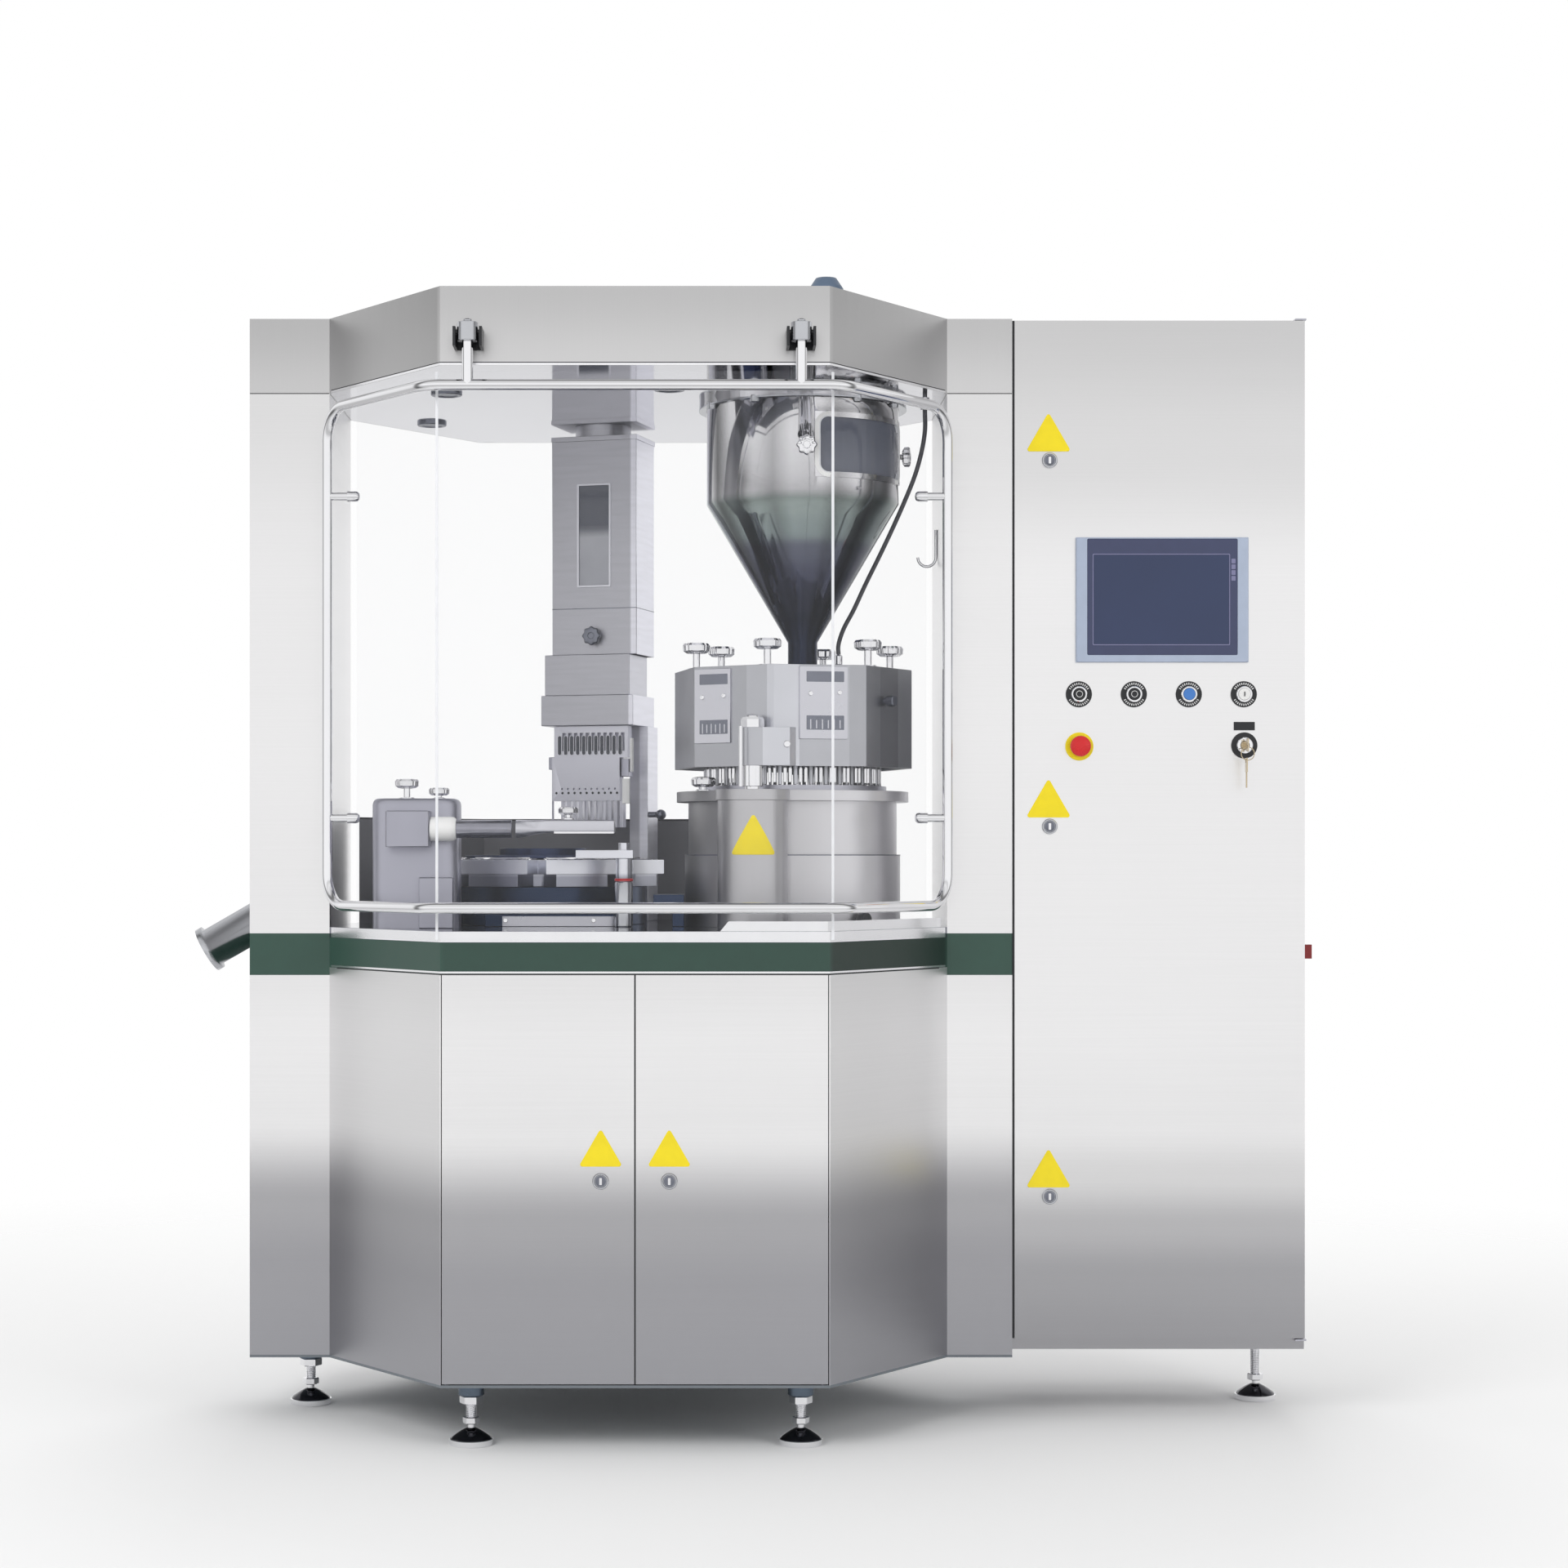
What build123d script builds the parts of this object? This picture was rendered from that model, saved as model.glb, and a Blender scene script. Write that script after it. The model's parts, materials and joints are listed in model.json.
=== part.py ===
from build123d import *
from math import cos, hypot, pi, radians, sin
import os

# Rotary capsule filling machine: an eight-sided glazed enclosure on a cabinet base,
# with a control cabinet on its right, as separate pieces.
#
# Plan of the machine while it is modelled: X runs to the right from the enclosure's
# centre plane, Y runs backwards from the front facet, Z runs up from the floor.
# save() moves every piece to the part's own origin, under the middle of its box.

os.makedirs("parts", exist_ok=True)

# Where the front facet's centre lies in the part's own frame
ORIGIN_X = -240.0
ORIGIN_Y = -460.0

# Enclosure plan
FACET_HALF = 352.0  # half width of the front facet
SIDE_HALF = 592.0  # half width between the side planes
DEPTH = 983.0
WING_X = SIDE_HALF - FACET_HALF
WING_Y = 320.0  # how far a wing runs back
PILLAR_LEFT_W = 153.0
PILLAR_RIGHT_W = 125.0

# Heights
FOOT_H = 120.0  # floor to the underside of the base
LOWER_H = 748.0  # base underside to the coloured band
BAND_H = 57.0
DECK_T = 20.0
WORK_H = 1023.0  # deck to header
HEAD_H = 143.0
BASE_Z = FOOT_H
BAND_Z = BASE_Z + LOWER_H
DECK_Z = BAND_Z + BAND_H
DECK = DECK_Z + DECK_T  # top of the deck, where the work is done
HEAD_Z = DECK + WORK_H
TOP_Z = HEAD_Z + HEAD_H
STRIP_DROP = 15.0  # side strips start this much lower than the front band
STRIP_RISE = 8.0  # and end this much above it

# Sheet and frame stock
PANEL_T = 1.5
SHEET_T = 2.0
PAN_T = 5.0
TUBE_SQ = 40.0  # square tube of the base frame
RING_W = 60.0  # width of the frame's top ring
POST_INSET = 45.0
SEAM = 3.0  # gap round a door


def block(x0, x1, y0, y1, z0, z1):
    """Box between two opposite corners."""
    return Pos((x0 + x1) / 2, (y0 + y1) / 2, (z0 + z1) / 2) * Box(x1 - x0, y1 - y0, z1 - z0)


def rod_z(x, y, z0, z1, r):
    """Upright cylinder."""
    return Pos(x, y, (z0 + z1) / 2) * Cylinder(r, z1 - z0)


def rod_x(x0, x1, y, z, r):
    """Cylinder along X."""
    return Pos((x0 + x1) / 2, y, z) * Rot(0, 90, 0) * Cylinder(r, x1 - x0)


def rod_y(x, y0, y1, z, r):
    """Cylinder along Y."""
    return Pos(x, (y0 + y1) / 2, z) * Rot(90, 0, 0) * Cylinder(r, y1 - y0)


def prism(points, z0, z1):
    """Upright prism on a closed outline."""
    face = make_face(Polyline(*points, close=True))
    return Pos(0, 0, z0) * extrude(face, amount=z1 - z0, dir=(0, 0, 1))


def tray(x0, x1, y0, y1, z0, z1, t):
    """Folded sheet tray: a plate at y0 with its four edges folded back to y1."""
    inner = block(x0 + t, x1 - t, y0 + t, y1 + t, z0 + t, z1 - t)
    return block(x0, x1, y0, y1, z0, z1) - inner


def hex_z(x, y, z0, z1, across):
    """Upright hexagonal prism, sized across its flats."""
    corner = across / 2 / cos(pi / 6)
    ring = [(x + corner * cos(i * pi / 3), y + corner * sin(i * pi / 3)) for i in range(6)]
    return prism(ring, z0, z1)


def plan(inset=0.0):
    """Corners of the octagonal plan, moved inwards by inset on every side."""
    wing = hypot(WING_X, WING_Y)
    a = FACET_HALF - inset * (wing - WING_X) / WING_Y
    b = SIDE_HALF - inset
    c = WING_Y + inset * (wing - WING_Y) / WING_X
    back = DEPTH - inset
    front_half = [(-a, inset), (a, inset), (b, c)]
    return front_half + [(b, DEPTH - c), (a, back), (-a, back), (-b, DEPTH - c), (-b, c)]


def wall(out, inn, z0, z1):
    """Upright octagonal wall between two insets of the plan."""
    return prism(plan(out), z0, z1) - prism(plan(inn), z0, z1)


def star_knob(x, y, z, r, stem_h, lobes=6):
    """Lobed hand knob of radius r on a stem that stands at z."""
    head_t = r * 0.5
    head = Cylinder(r, head_t)
    notch = r * 0.28
    for i in range(lobes):
        turn = 2 * pi * (i + 0.5) / lobes
        away = r + notch * 0.45
        head -= Pos(away * cos(turn), away * sin(turn), 0) * Cylinder(notch, head_t)
    return Pos(x, y, z + stem_h + head_t / 2) * head + rod_z(x, y, z, z + stem_h, r * 0.3)


def save(name, *solids):
    """Write one node, moved to the part's own frame."""
    moved = [Pos(ORIGIN_X, ORIGIN_Y, 0) * s for s in solids]
    shape = moved[0] if len(moved) == 1 else Compound(children=moved)
    export_step(shape, f"parts/{name}.step")


LEFT_X0 = -SIDE_HALF - PILLAR_LEFT_W
RIGHT_X1 = SIDE_HALF + PILLAR_RIGHT_W
SIDE_Y0 = WING_Y
SIDE_Y1 = DEPTH - WING_Y
STRIP_Z0 = BAND_Z - STRIP_DROP
STRIP_Z1 = DECK_Z + STRIP_RISE
PAN_TOP = BASE_Z + PAN_T


def frame_posts():
    """Square posts near the eight corners and the four outer corners of the side boxes."""
    half = TUBE_SQ / 2
    side_in = SHEET_T + half
    spots = plan(POST_INSET)
    for x in (LEFT_X0 + side_in, RIGHT_X1 - side_in):
        spots += [(x, SIDE_Y0 + side_in), (x, SIDE_Y1 - side_in)]
    return [block(x - half, x + half, y - half, y + half, PAN_TOP, BAND_Z + SHEET_T) for x, y in spots]


def bars(out, inn, z0, z1):
    """The eight straight bars of an octagonal ring between two insets of the plan."""
    outer = plan(out)
    inner = plan(inn)
    pairs = [(i, (i + 1) % 8) for i in range(8)]
    return [prism([outer[i], outer[j], inner[j], inner[i]], z0, z1) for i, j in pairs]


def side_ring(x_out, x_in, z0, z1):
    """Four bars round the top of a side box: outer, inner, front and back."""
    side = 1 if x_out > x_in else -1
    y0 = SIDE_Y0 + SHEET_T
    y1 = SIDE_Y1 - SHEET_T
    xs = (x_out - side * SHEET_T, x_out - side * (SHEET_T + TUBE_SQ), x_in + side * RING_W / 2, x_in)
    spans = [(xs[0], xs[1], y0, y1), (xs[2], xs[3], y0, y1)]
    spans += [(xs[1], xs[2], y0, y0 + TUBE_SQ), (xs[1], xs[2], y1 - TUBE_SQ, y1)]
    return [block(min(a, b), max(a, b), c, d, z0, z1) for a, b, c, d in spans]


# Outlet chute: a pipe that slopes down and out through the left side box
CHUTE_Y = 430.0
CHUTE_Z = DECK + 27.0
CHUTE_R = 37.5
CHUTE_WALL = 3.0
CHUTE_TILT = 30.0
CHUTE_LEN = 150.0
CHUTE_RIM_R = 45.0
CHUTE_RIM_T = 12.0
chute_place = Pos(LEFT_X0 + 30.0, CHUTE_Y, CHUTE_Z) * Rot(0, -90 - CHUTE_TILT, 0)
chute_outer = chute_place * Pos(0, 0, CHUTE_LEN / 2) * Cylinder(CHUTE_R, CHUTE_LEN)
chute_rim = chute_place * Pos(0, 0, CHUTE_LEN - CHUTE_RIM_T / 2) * Cylinder(CHUTE_RIM_R, CHUTE_RIM_T)
chute_bore = chute_place * Pos(0, 0, CHUTE_LEN / 2) * Cylinder(CHUTE_R - CHUTE_WALL, CHUTE_LEN + 2)
save("outlet_chute", chute_outer + chute_rim - chute_bore)
CHUTE_PLAY = 0.5  # the hole for the pipe in sheet and bars is this much larger all round
chute_hole = chute_place * Pos(0, 0, CHUTE_LEN / 2) * Cylinder(CHUTE_R + CHUTE_PLAY, CHUTE_LEN)

# Base frame: pan, posts, middle post behind the door seam, top ring and side rings
base = [
    prism(plan(), BASE_Z, PAN_TOP),
    block(LEFT_X0, -SIDE_HALF, SIDE_Y0, SIDE_Y1, BASE_Z, PAN_TOP),
    block(SIDE_HALF, RIGHT_X1, SIDE_Y0, SIDE_Y1, BASE_Z, PAN_TOP),
]
DOOR_T = 20.0
MULLION_W = 30.0
MULLION_Y0 = DOOR_T + 4.0
MULLION_Y1 = MULLION_Y0 + MULLION_W
RING_Z0 = BAND_Z + SHEET_T
base += frame_posts()
base.append(block(-MULLION_W / 2, MULLION_W / 2, MULLION_Y0, MULLION_Y1, PAN_TOP, RING_Z0))
base += bars(SHEET_T, RING_W, RING_Z0, DECK_Z)
left_ring = side_ring(LEFT_X0, -SIDE_HALF + SHEET_T, RING_Z0, DECK_Z)
base += [bar - chute_hole for bar in left_ring]
base += side_ring(RIGHT_X1, SIDE_HALF - SHEET_T, RING_Z0, DECK_Z)
save("base_frame", *base)

# Turret, dosing station and hopper places on the deck
TURRET_X = -197.0
TURRET_BACK = 383.0  # turret axis to the back of the plan
TURRET_Y = DEPTH - TURRET_BACK
DOSE_X = 300.0
DOSE_Y = 450.0
HOPPER_X = 320.0
HOPPER_Y = 450.0
FEED_X = -101.0
FEED_BACK = 193.0
FEED_Y = DEPTH - FEED_BACK
FEED_TURN = -17.0  # the feeder stands turned by this much about its front centre

# Shafts that pass through the deck
TURRET_SHAFT_R = 30.0
DOSE_SHAFT_R = 20.0
SHAFT_CLEAR = 2.0
RUN = 0.05  # radial running clearance of a shaft in its bearing

deck = prism(plan(), DECK_Z, DECK)
deck -= rod_z(TURRET_X, TURRET_Y, DECK_Z, DECK, TURRET_SHAFT_R + SHAFT_CLEAR)
deck -= rod_z(DOSE_X, DOSE_Y, DECK_Z, DECK, DOSE_SHAFT_R + SHAFT_CLEAR)
save("deck_plate", deck)

# Fixed lower panels: wings, side boxes, back, and the low wall behind the work area
LOW_Z0 = PAN_TOP
panels = []
ring = wall(0, PANEL_T, LOW_Z0, BAND_Z)
wing_x0 = FACET_HALF + 1.0
panels.append(ring & block(wing_x0, SIDE_HALF, -1, SIDE_Y0, LOW_Z0, BAND_Z))
panels.append(ring & block(-SIDE_HALF, -wing_x0, -1, SIDE_Y0, LOW_Z0, BAND_Z))
panels.append(ring & block(FACET_HALF, SIDE_HALF, SIDE_Y1, DEPTH, LOW_Z0, BAND_Z))
panels.append(ring & block(-SIDE_HALF, -FACET_HALF, SIDE_Y1, DEPTH, LOW_Z0, BAND_Z))
panels.append(block(-FACET_HALF, FACET_HALF, DEPTH - PANEL_T, DEPTH, LOW_Z0, BAND_Z))


def side_cover(x_in, x_out, z0, z1, t):
    """Three sheets round a side box, open towards the enclosure: outer, front and back."""
    face_x = x_out - t if x_out > x_in else x_out + t
    sheets = [block(min(face_x, x_out), max(face_x, x_out), SIDE_Y0, SIDE_Y1, z0, z1)]
    for y0 in (SIDE_Y0, SIDE_Y1 - t):
        sheets.append(block(min(x_in, face_x), max(x_in, face_x), y0, y0 + t, z0, z1))
    return sheets


panels += side_cover(-SIDE_HALF, LEFT_X0, LOW_Z0, STRIP_Z0, PANEL_T)
panels += side_cover(SIDE_HALF, RIGHT_X1, LOW_Z0, STRIP_Z0, PANEL_T)
GUARD_T = 8.0  # clear sheet of the guards
REAR_GUARD_IN = 4.0  # the rear guard stands this far inside the deck's edge
PARAPET_H = 215.0
PARAPET_IN = REAR_GUARD_IN + GUARD_T + 4.0
parapet = wall(PARAPET_IN, PARAPET_IN + SHEET_T, DECK, DECK + PARAPET_H)
panels.append(parapet & block(-SIDE_HALF, FACET_HALF - 12.0, SIDE_Y1, DEPTH, DECK, DECK + PARAPET_H))
save("fixed_panels", *panels)

# Coloured band round the base, and the taller strips round the side boxes
band = bars(0, SHEET_T, BAND_Z, DECK_Z)
band = [bar for i, bar in enumerate(band) if i not in (2, 6)]  # the side boxes stand before these two
strips = [sheet - chute_hole for sheet in side_cover(-SIDE_HALF, LEFT_X0, STRIP_Z0, STRIP_Z1, SHEET_T)]
strips += side_cover(SIDE_HALF, RIGHT_X1, STRIP_Z0, STRIP_Z1, SHEET_T)
save("green_band", *band, *strips)

# Side pillars: closed sheet columns standing on the side strips
pillar_left = block(LEFT_X0, -SIDE_HALF, SIDE_Y0, SIDE_Y1, STRIP_Z1, HEAD_Z)
pillar_left -= block(LEFT_X0 + SHEET_T, -SIDE_HALF - SHEET_T, SIDE_Y0 + SHEET_T, SIDE_Y1 - SHEET_T,
    STRIP_Z1, HEAD_Z)
pillar_right = block(SIDE_HALF, RIGHT_X1, SIDE_Y0, SIDE_Y1, STRIP_Z1, HEAD_Z)
pillar_right -= block(SIDE_HALF + SHEET_T, RIGHT_X1 - SHEET_T, SIDE_Y0 + SHEET_T, SIDE_Y1 - SHEET_T,
    STRIP_Z1, HEAD_Z)

pillar_left -= chute_hole
save("side_pillars", pillar_left, pillar_right)

# Header band, pillar caps and roof
CEILING_T = 3.0
ROOF_T = 2.0
AUGER_MOTOR_X = HOPPER_X + 46.0
AUGER_MOTOR_R = 34.0
NECK_R = 58.0  # capsule inlet neck over the magazine
header = bars(0, SHEET_T, HEAD_Z, TOP_Z - ROOF_T)
caps = []
for x0, x1 in ((LEFT_X0, -SIDE_HALF), (SIDE_HALF, RIGHT_X1)):
    cap = block(x0, x1, SIDE_Y0, SIDE_Y1, HEAD_Z, TOP_Z)
    caps.append(cap - block(x0 + SHEET_T, x1 - SHEET_T, SIDE_Y0 + SHEET_T, SIDE_Y1 - SHEET_T, HEAD_Z,
        TOP_Z - SHEET_T))
roof = prism(plan(), TOP_Z - ROOF_T, TOP_Z)
roof -= rod_z(AUGER_MOTOR_X, HOPPER_Y, TOP_Z - ROOF_T, TOP_Z, AUGER_MOTOR_R)

STIRRER_R = 8.0
STIRRER_HOLE_R = 14.0
LAMP_R = 30.0
LAMP_H = 6.0
CABLE_R = 4.5
GLAND_R = 9.0
CABLE_TOP = (560.0, 450.0)  # where the sensor cable leaves the ceiling
LAMPS = [(-367.0, 312.0), (367.0, 800.0), (-430.0, 700.0), (60.0, 250.0)]
feeder_place = Pos(FEED_X, FEED_Y, 0) * Rot(0, 0, FEED_TURN)
MAG_W = 184.0
MAG_D = 122.0
neck_at = feeder_place * Pos(0, MAG_D / 2, 0)
ceiling = prism(plan(SHEET_T), HEAD_Z, HEAD_Z + CEILING_T)
ceiling -= rod_z(HOPPER_X, HOPPER_Y, HEAD_Z, HEAD_Z + CEILING_T, STIRRER_HOLE_R)
ceiling -= neck_at * Pos(0, 0, HEAD_Z + CEILING_T / 2) * Cylinder(NECK_R, CEILING_T)
ceiling -= rod_z(CABLE_TOP[0], CABLE_TOP[1], HEAD_Z, HEAD_Z + CEILING_T, GLAND_R * 0.8)
save("ceiling_plate", ceiling)
roof -= neck_at * Pos(0, 0, TOP_Z - ROOF_T / 2) * Cylinder(NECK_R, ROOF_T)
save("header_panels", *header, *caps, roof)

# Rear guard: one clear sheet bent round the back of the work area
rear = wall(REAR_GUARD_IN, REAR_GUARD_IN + GUARD_T, DECK, HEAD_Z)
REAR_END = 8.0
save("rear_guard", rear & block(-SIDE_HALF, SIDE_HALF, SIDE_Y1 + REAR_END, DEPTH, DECK, HEAD_Z))

# Control cabinet
CAB_X0 = RIGHT_X1
CAB_W = 563.0
CAB_X1 = CAB_X0 + CAB_W
CAB_Y0 = 338.0
CAB_D = 400.0
CAB_Y1 = CAB_Y0 + CAB_D
CAB_Z0 = 133.0
PLINTH_H = 20.0
CAB_RETURN = 26.0  # width of the flange round the door opening
CAB_DOOR_T = 18.0
CAB_DOOR_Y0 = 316.0
CAB_SIDE_GAP = 4.0
CAB_DOOR_X0 = CAB_X0 + CAB_SIDE_GAP
CAB_DOOR_X1 = CAB_X1 - SEAM
CAB_DOOR_Z0 = CAB_Z0 + PLINTH_H + 4.0
CAB_DOOR_Z1 = TOP_Z - 4.0
shell = block(CAB_X0, CAB_X1, CAB_Y0, CAB_Y1, CAB_Z0, TOP_Z)
cab_floor = CAB_Z0 + PLINTH_H
shell -= block(CAB_X0 + SHEET_T, CAB_X1 - SHEET_T, CAB_Y0 + SHEET_T, CAB_Y1 - SHEET_T,
    cab_floor + SHEET_T, TOP_Z - SHEET_T)
shell -= block(CAB_X0 + SHEET_T, CAB_X1 - SHEET_T, CAB_Y0 + SHEET_T, CAB_Y1 - SHEET_T, CAB_Z0, cab_floor)
open_x0 = CAB_X0 + CAB_RETURN
open_x1 = CAB_X1 - CAB_RETURN
open_z0 = cab_floor + CAB_RETURN
open_z1 = TOP_Z - CAB_RETURN
shell -= block(open_x0, open_x1, CAB_Y0, CAB_Y0 + SHEET_T, open_z0, open_z1)
ISO_Y = 530.0
ISO_Z = 891.0
ISO_PLATE = 64.0
ISO_BASE_T = 12.0
ISO_SHAFT_R = 5.0
iso_hole = rod_x(CAB_X1 - 12.0, CAB_X1 + ISO_BASE_T, ISO_Y, ISO_Z, ISO_SHAFT_R + RUN)
shell -= rod_x(CAB_X1 - SHEET_T, CAB_X1, ISO_Y, ISO_Z, ISO_SHAFT_R + RUN)
half = ISO_PLATE / 2
iso_base = block(CAB_X1, CAB_X1 + ISO_BASE_T, ISO_Y - half, ISO_Y + half, ISO_Z - half,
    ISO_Z + half) - iso_hole
save("cabinet_shell", shell, iso_base)
ISO_REACH = 43.0
ISO_GRIP_R = 15.0
ISO_GRIP_T = 12.0
ISO_GAP = 0.3
iso_x0 = CAB_X1 + ISO_BASE_T + ISO_GAP
grip = rod_x(iso_x0, iso_x0 + ISO_GRIP_T, ISO_Y, ISO_Z, ISO_GRIP_R)
grip += block(iso_x0 + ISO_GRIP_T, CAB_X1 + ISO_BASE_T + ISO_REACH, ISO_Y - 7.0, ISO_Y + 7.0,
    ISO_Z - ISO_GRIP_R + 1, ISO_Z + ISO_GRIP_R - 1)
grip += rod_x(CAB_X1 - 6.0, iso_x0, ISO_Y, ISO_Z, ISO_SHAFT_R)
save("isolator_handle", grip)

# Electrical plate inside the cabinet, with its rails, ducts and devices
PLATE_INSET = 45.0
PLATE_T = 3.0
PLATE_BACK = 18.0  # standoff from the rear wall
plate_y1 = CAB_Y1 - SHEET_T - PLATE_BACK
plate_y0 = plate_y1 - PLATE_T
px0 = CAB_X0 + PLATE_INSET
px1 = CAB_X1 - PLATE_INSET
pz0 = cab_floor + 2 * PLATE_INSET
pz1 = TOP_Z - 2 * PLATE_INSET
devices = [block(px0, px1, plate_y0, plate_y1, pz0, pz1)]
for x in (px0 + 15.0, px1 - 15.0):
    for z in (pz0 + 15.0, pz1 - 15.0):
        devices.append(rod_y(x, plate_y1, CAB_Y1 - SHEET_T, z, 8.0))
DUCT_W = 50.0
DUCT_D = 60.0
ROW_STEP = 300.0
ROWS = [(70.0, 5, 110.0), (90.0, 4, 90.0), (60.0, 6, 120.0), (110.0, 3, 180.0), (55.0, 6, 70.0)]
for row, (dev_d, count, dev_h) in enumerate(ROWS):
    z_mid = pz0 + 180.0 + row * ROW_STEP
    devices.append(block(px0 + 10.0, px1 - 10.0, plate_y0 - DUCT_D, plate_y0, z_mid - 150.0,
        z_mid - 150.0 + DUCT_W))
    pitch = (px1 - px0 - 60.0) / count
    for i in range(count):
        x0 = px0 + 30.0 + i * pitch
        devices.append(block(x0, x0 + pitch * 0.86, plate_y0 - dev_d, plate_y0, z_mid - dev_h / 2 + 20,
            z_mid + dev_h / 2 + 20))
save("electrical_plate", *devices)

# Feet
FOOT_SPOTS = [
    (-303.0, 95.0, BASE_Z), (303.0, 95.0, BASE_Z), (-303.0, DEPTH - 95.0, BASE_Z), (303.0, DEPTH - 95.0,
        BASE_Z),
    (-650.0, DEPTH / 2, BASE_Z), (CAB_X1 - 55.0, CAB_Y0 + CAB_D / 2, cab_floor),
]
PAD_R = 40.0
PAD_H = 14.0
STUD_R = 10.0
STUD_NUT = 38.0
COLLAR_R = 24.0
COLLAR_H = 15.0
pads = []
studs = []
for x, y, top in FOOT_SPOTS:
    dome = Cone(PAD_R, PAD_R * 0.62, PAD_H)
    pads.append(Pos(x, y, PAD_H / 2) * dome)
    stud = rod_z(x, y, PAD_H, top, STUD_R)
    stud += rod_z(x, y, top - COLLAR_H, top, COLLAR_R)
    stud += hex_z(x, y, top - COLLAR_H - 14.0, top - COLLAR_H, STUD_NUT)
    stud += hex_z(x, y, PAD_H + 16.0, PAD_H + 30.0, STUD_NUT * 0.76)
    stud += rod_z(x, y, PAD_H, PAD_H + 8.0, STUD_R * 1.9)
    studs.append(stud)
save("foot_pads", *pads)
save("foot_studs", *studs)

# Lower doors on pivot pins at their outer edges
DOOR_Z0 = PAN_TOP + 2.0
DOOR_Z1 = BAND_Z - 2.0
PIVOT_IN = 11.0  # pivot axis to the facet's corner
PIVOT_Y = 6.0
PIVOT_R = 4.0
PIVOT_DEEP = 15.0
DOOR_X1 = FACET_HALF - SEAM
pivot_x = FACET_HALF - PIVOT_IN
LOCK_X = 62.0
LOCK_Z = BASE_Z + 374.0
LOCK_R = 11.0
LOCK_HEAD_R = 15.0
LOCK_HEAD_T = 3.0
CAM_L = 54.0
CAM_W = 14.0
CAM_T = 3.0
PIVOT_BLOCK = 12.0


def lower_door(side):
    """Sheet tray with two pivot blocks and a lock hole; side is 1 on the right."""
    x_in = side * SEAM / 2
    x_out = side * DOOR_X1
    low = min(x_in, x_out)
    high = max(x_in, x_out)
    body = tray(low, high, 0, DOOR_T, DOOR_Z0, DOOR_Z1, PANEL_T)
    for z0, z1 in ((DOOR_Z0 + PANEL_T, DOOR_Z0 + PIVOT_DEEP), (DOOR_Z1 - PIVOT_DEEP, DOOR_Z1 - PANEL_T)):
        b0 = side * (DOOR_X1 - PANEL_T)
        b1 = side * (pivot_x - PIVOT_R - 4.0)
        body += block(min(b0, b1), max(b0, b1), PANEL_T, PANEL_T + PIVOT_BLOCK, z0, z1)
    body -= rod_z(side * pivot_x, PIVOT_Y, DOOR_Z0, DOOR_Z0 + PIVOT_DEEP, PIVOT_R + RUN)
    body -= rod_z(side * pivot_x, PIVOT_Y, DOOR_Z1 - PIVOT_DEEP, DOOR_Z1, PIVOT_R + RUN)
    body -= rod_y(side * LOCK_X, 0, PANEL_T, LOCK_Z, LOCK_R + RUN)
    return body


def cam_lock(x, y_face, z, sheet, reach):
    """Quarter-turn lock: round head, barrel and a cam that hangs down when unlocked."""
    face = y_face - 0.2
    body = rod_y(x, face - LOCK_HEAD_T, face, z, LOCK_HEAD_R)
    body += rod_y(x, face, y_face + reach, z, LOCK_R)
    body -= block(x - 6.0, x + 6.0, face - LOCK_HEAD_T, face - LOCK_HEAD_T + 1.6, z - 1.5, z + 1.5)
    body += block(x - CAM_W / 2, x + CAM_W / 2, y_face + reach, y_face + reach + CAM_T, z - CAM_L,
        z + CAM_W / 2)
    return body


save("left_door", lower_door(-1))
save("right_door", lower_door(1))
save("left_door_lock", cam_lock(-LOCK_X, 0.0, LOCK_Z, PANEL_T, MULLION_Y1 + 2.0))
save("right_door_lock", cam_lock(LOCK_X, 0.0, LOCK_Z, PANEL_T, MULLION_Y1 + 2.0))

# Cabinet door: tray with pivot blocks on its right edge, and what is mounted on it
cab_pivot_x = CAB_DOOR_X1 - 8.0
cab_pivot_y = CAB_DOOR_Y0 + 8.0
HMI_X0 = CAB_X0 + 121.0
HMI_W = 330.0
HMI_Z0 = 1452.0
HMI_H = 239.0
HMI_PROUD = 6.0
HMI_BODY_D = 54.0
HMI_BODY_IN = 20.0
GLASS_SIDE = 21.0
GLASS_LOW = 13.5
GLASS_TOP = 2.5
GLASS_T = 3.0
CONTROL_Z = 1391.0
BUTTON_X0 = CAB_X0 + 127.0
BUTTON_PITCH = 105.3
BUTTON_XS = [BUTTON_X0 + i * BUTTON_PITCH for i in range(4)]
STOP_X = BUTTON_X0 + 1.0
STOP_Z = CONTROL_Z - 100.0
KEY_X = BUTTON_X0 + 3 * BUTTON_PITCH + 1.0
KEY_Z = CONTROL_Z - 98.0
CONTROL_HOLE_R = 11.2
CAB_LOCK_X = CAB_X0 + 71.0
CAB_H = TOP_Z - CAB_Z0
CAB_LOCK_ZS = {"upper": TOP_Z - 272.0, "middle": CAB_Z0 + CAB_H * 0.508, "lower": CAB_Z0 + 296.0}
cab_door = tray(CAB_DOOR_X0, CAB_DOOR_X1, CAB_DOOR_Y0, CAB_DOOR_Y0 + CAB_DOOR_T, CAB_DOOR_Z0,
    CAB_DOOR_Z1, PANEL_T)
for z0, z1 in ((CAB_DOOR_Z0 + PANEL_T, CAB_DOOR_Z0 + PIVOT_DEEP),
    (CAB_DOOR_Z1 - PIVOT_DEEP, CAB_DOOR_Z1 - PANEL_T)):
    cab_door += block(cab_pivot_x - 8.0, CAB_DOOR_X1 - PANEL_T, CAB_DOOR_Y0 + PANEL_T,
        CAB_DOOR_Y0 + 15.0, z0, z1)
cab_door -= rod_z(cab_pivot_x, cab_pivot_y, CAB_DOOR_Z0, CAB_DOOR_Z0 + PIVOT_DEEP, PIVOT_R + RUN)
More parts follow.
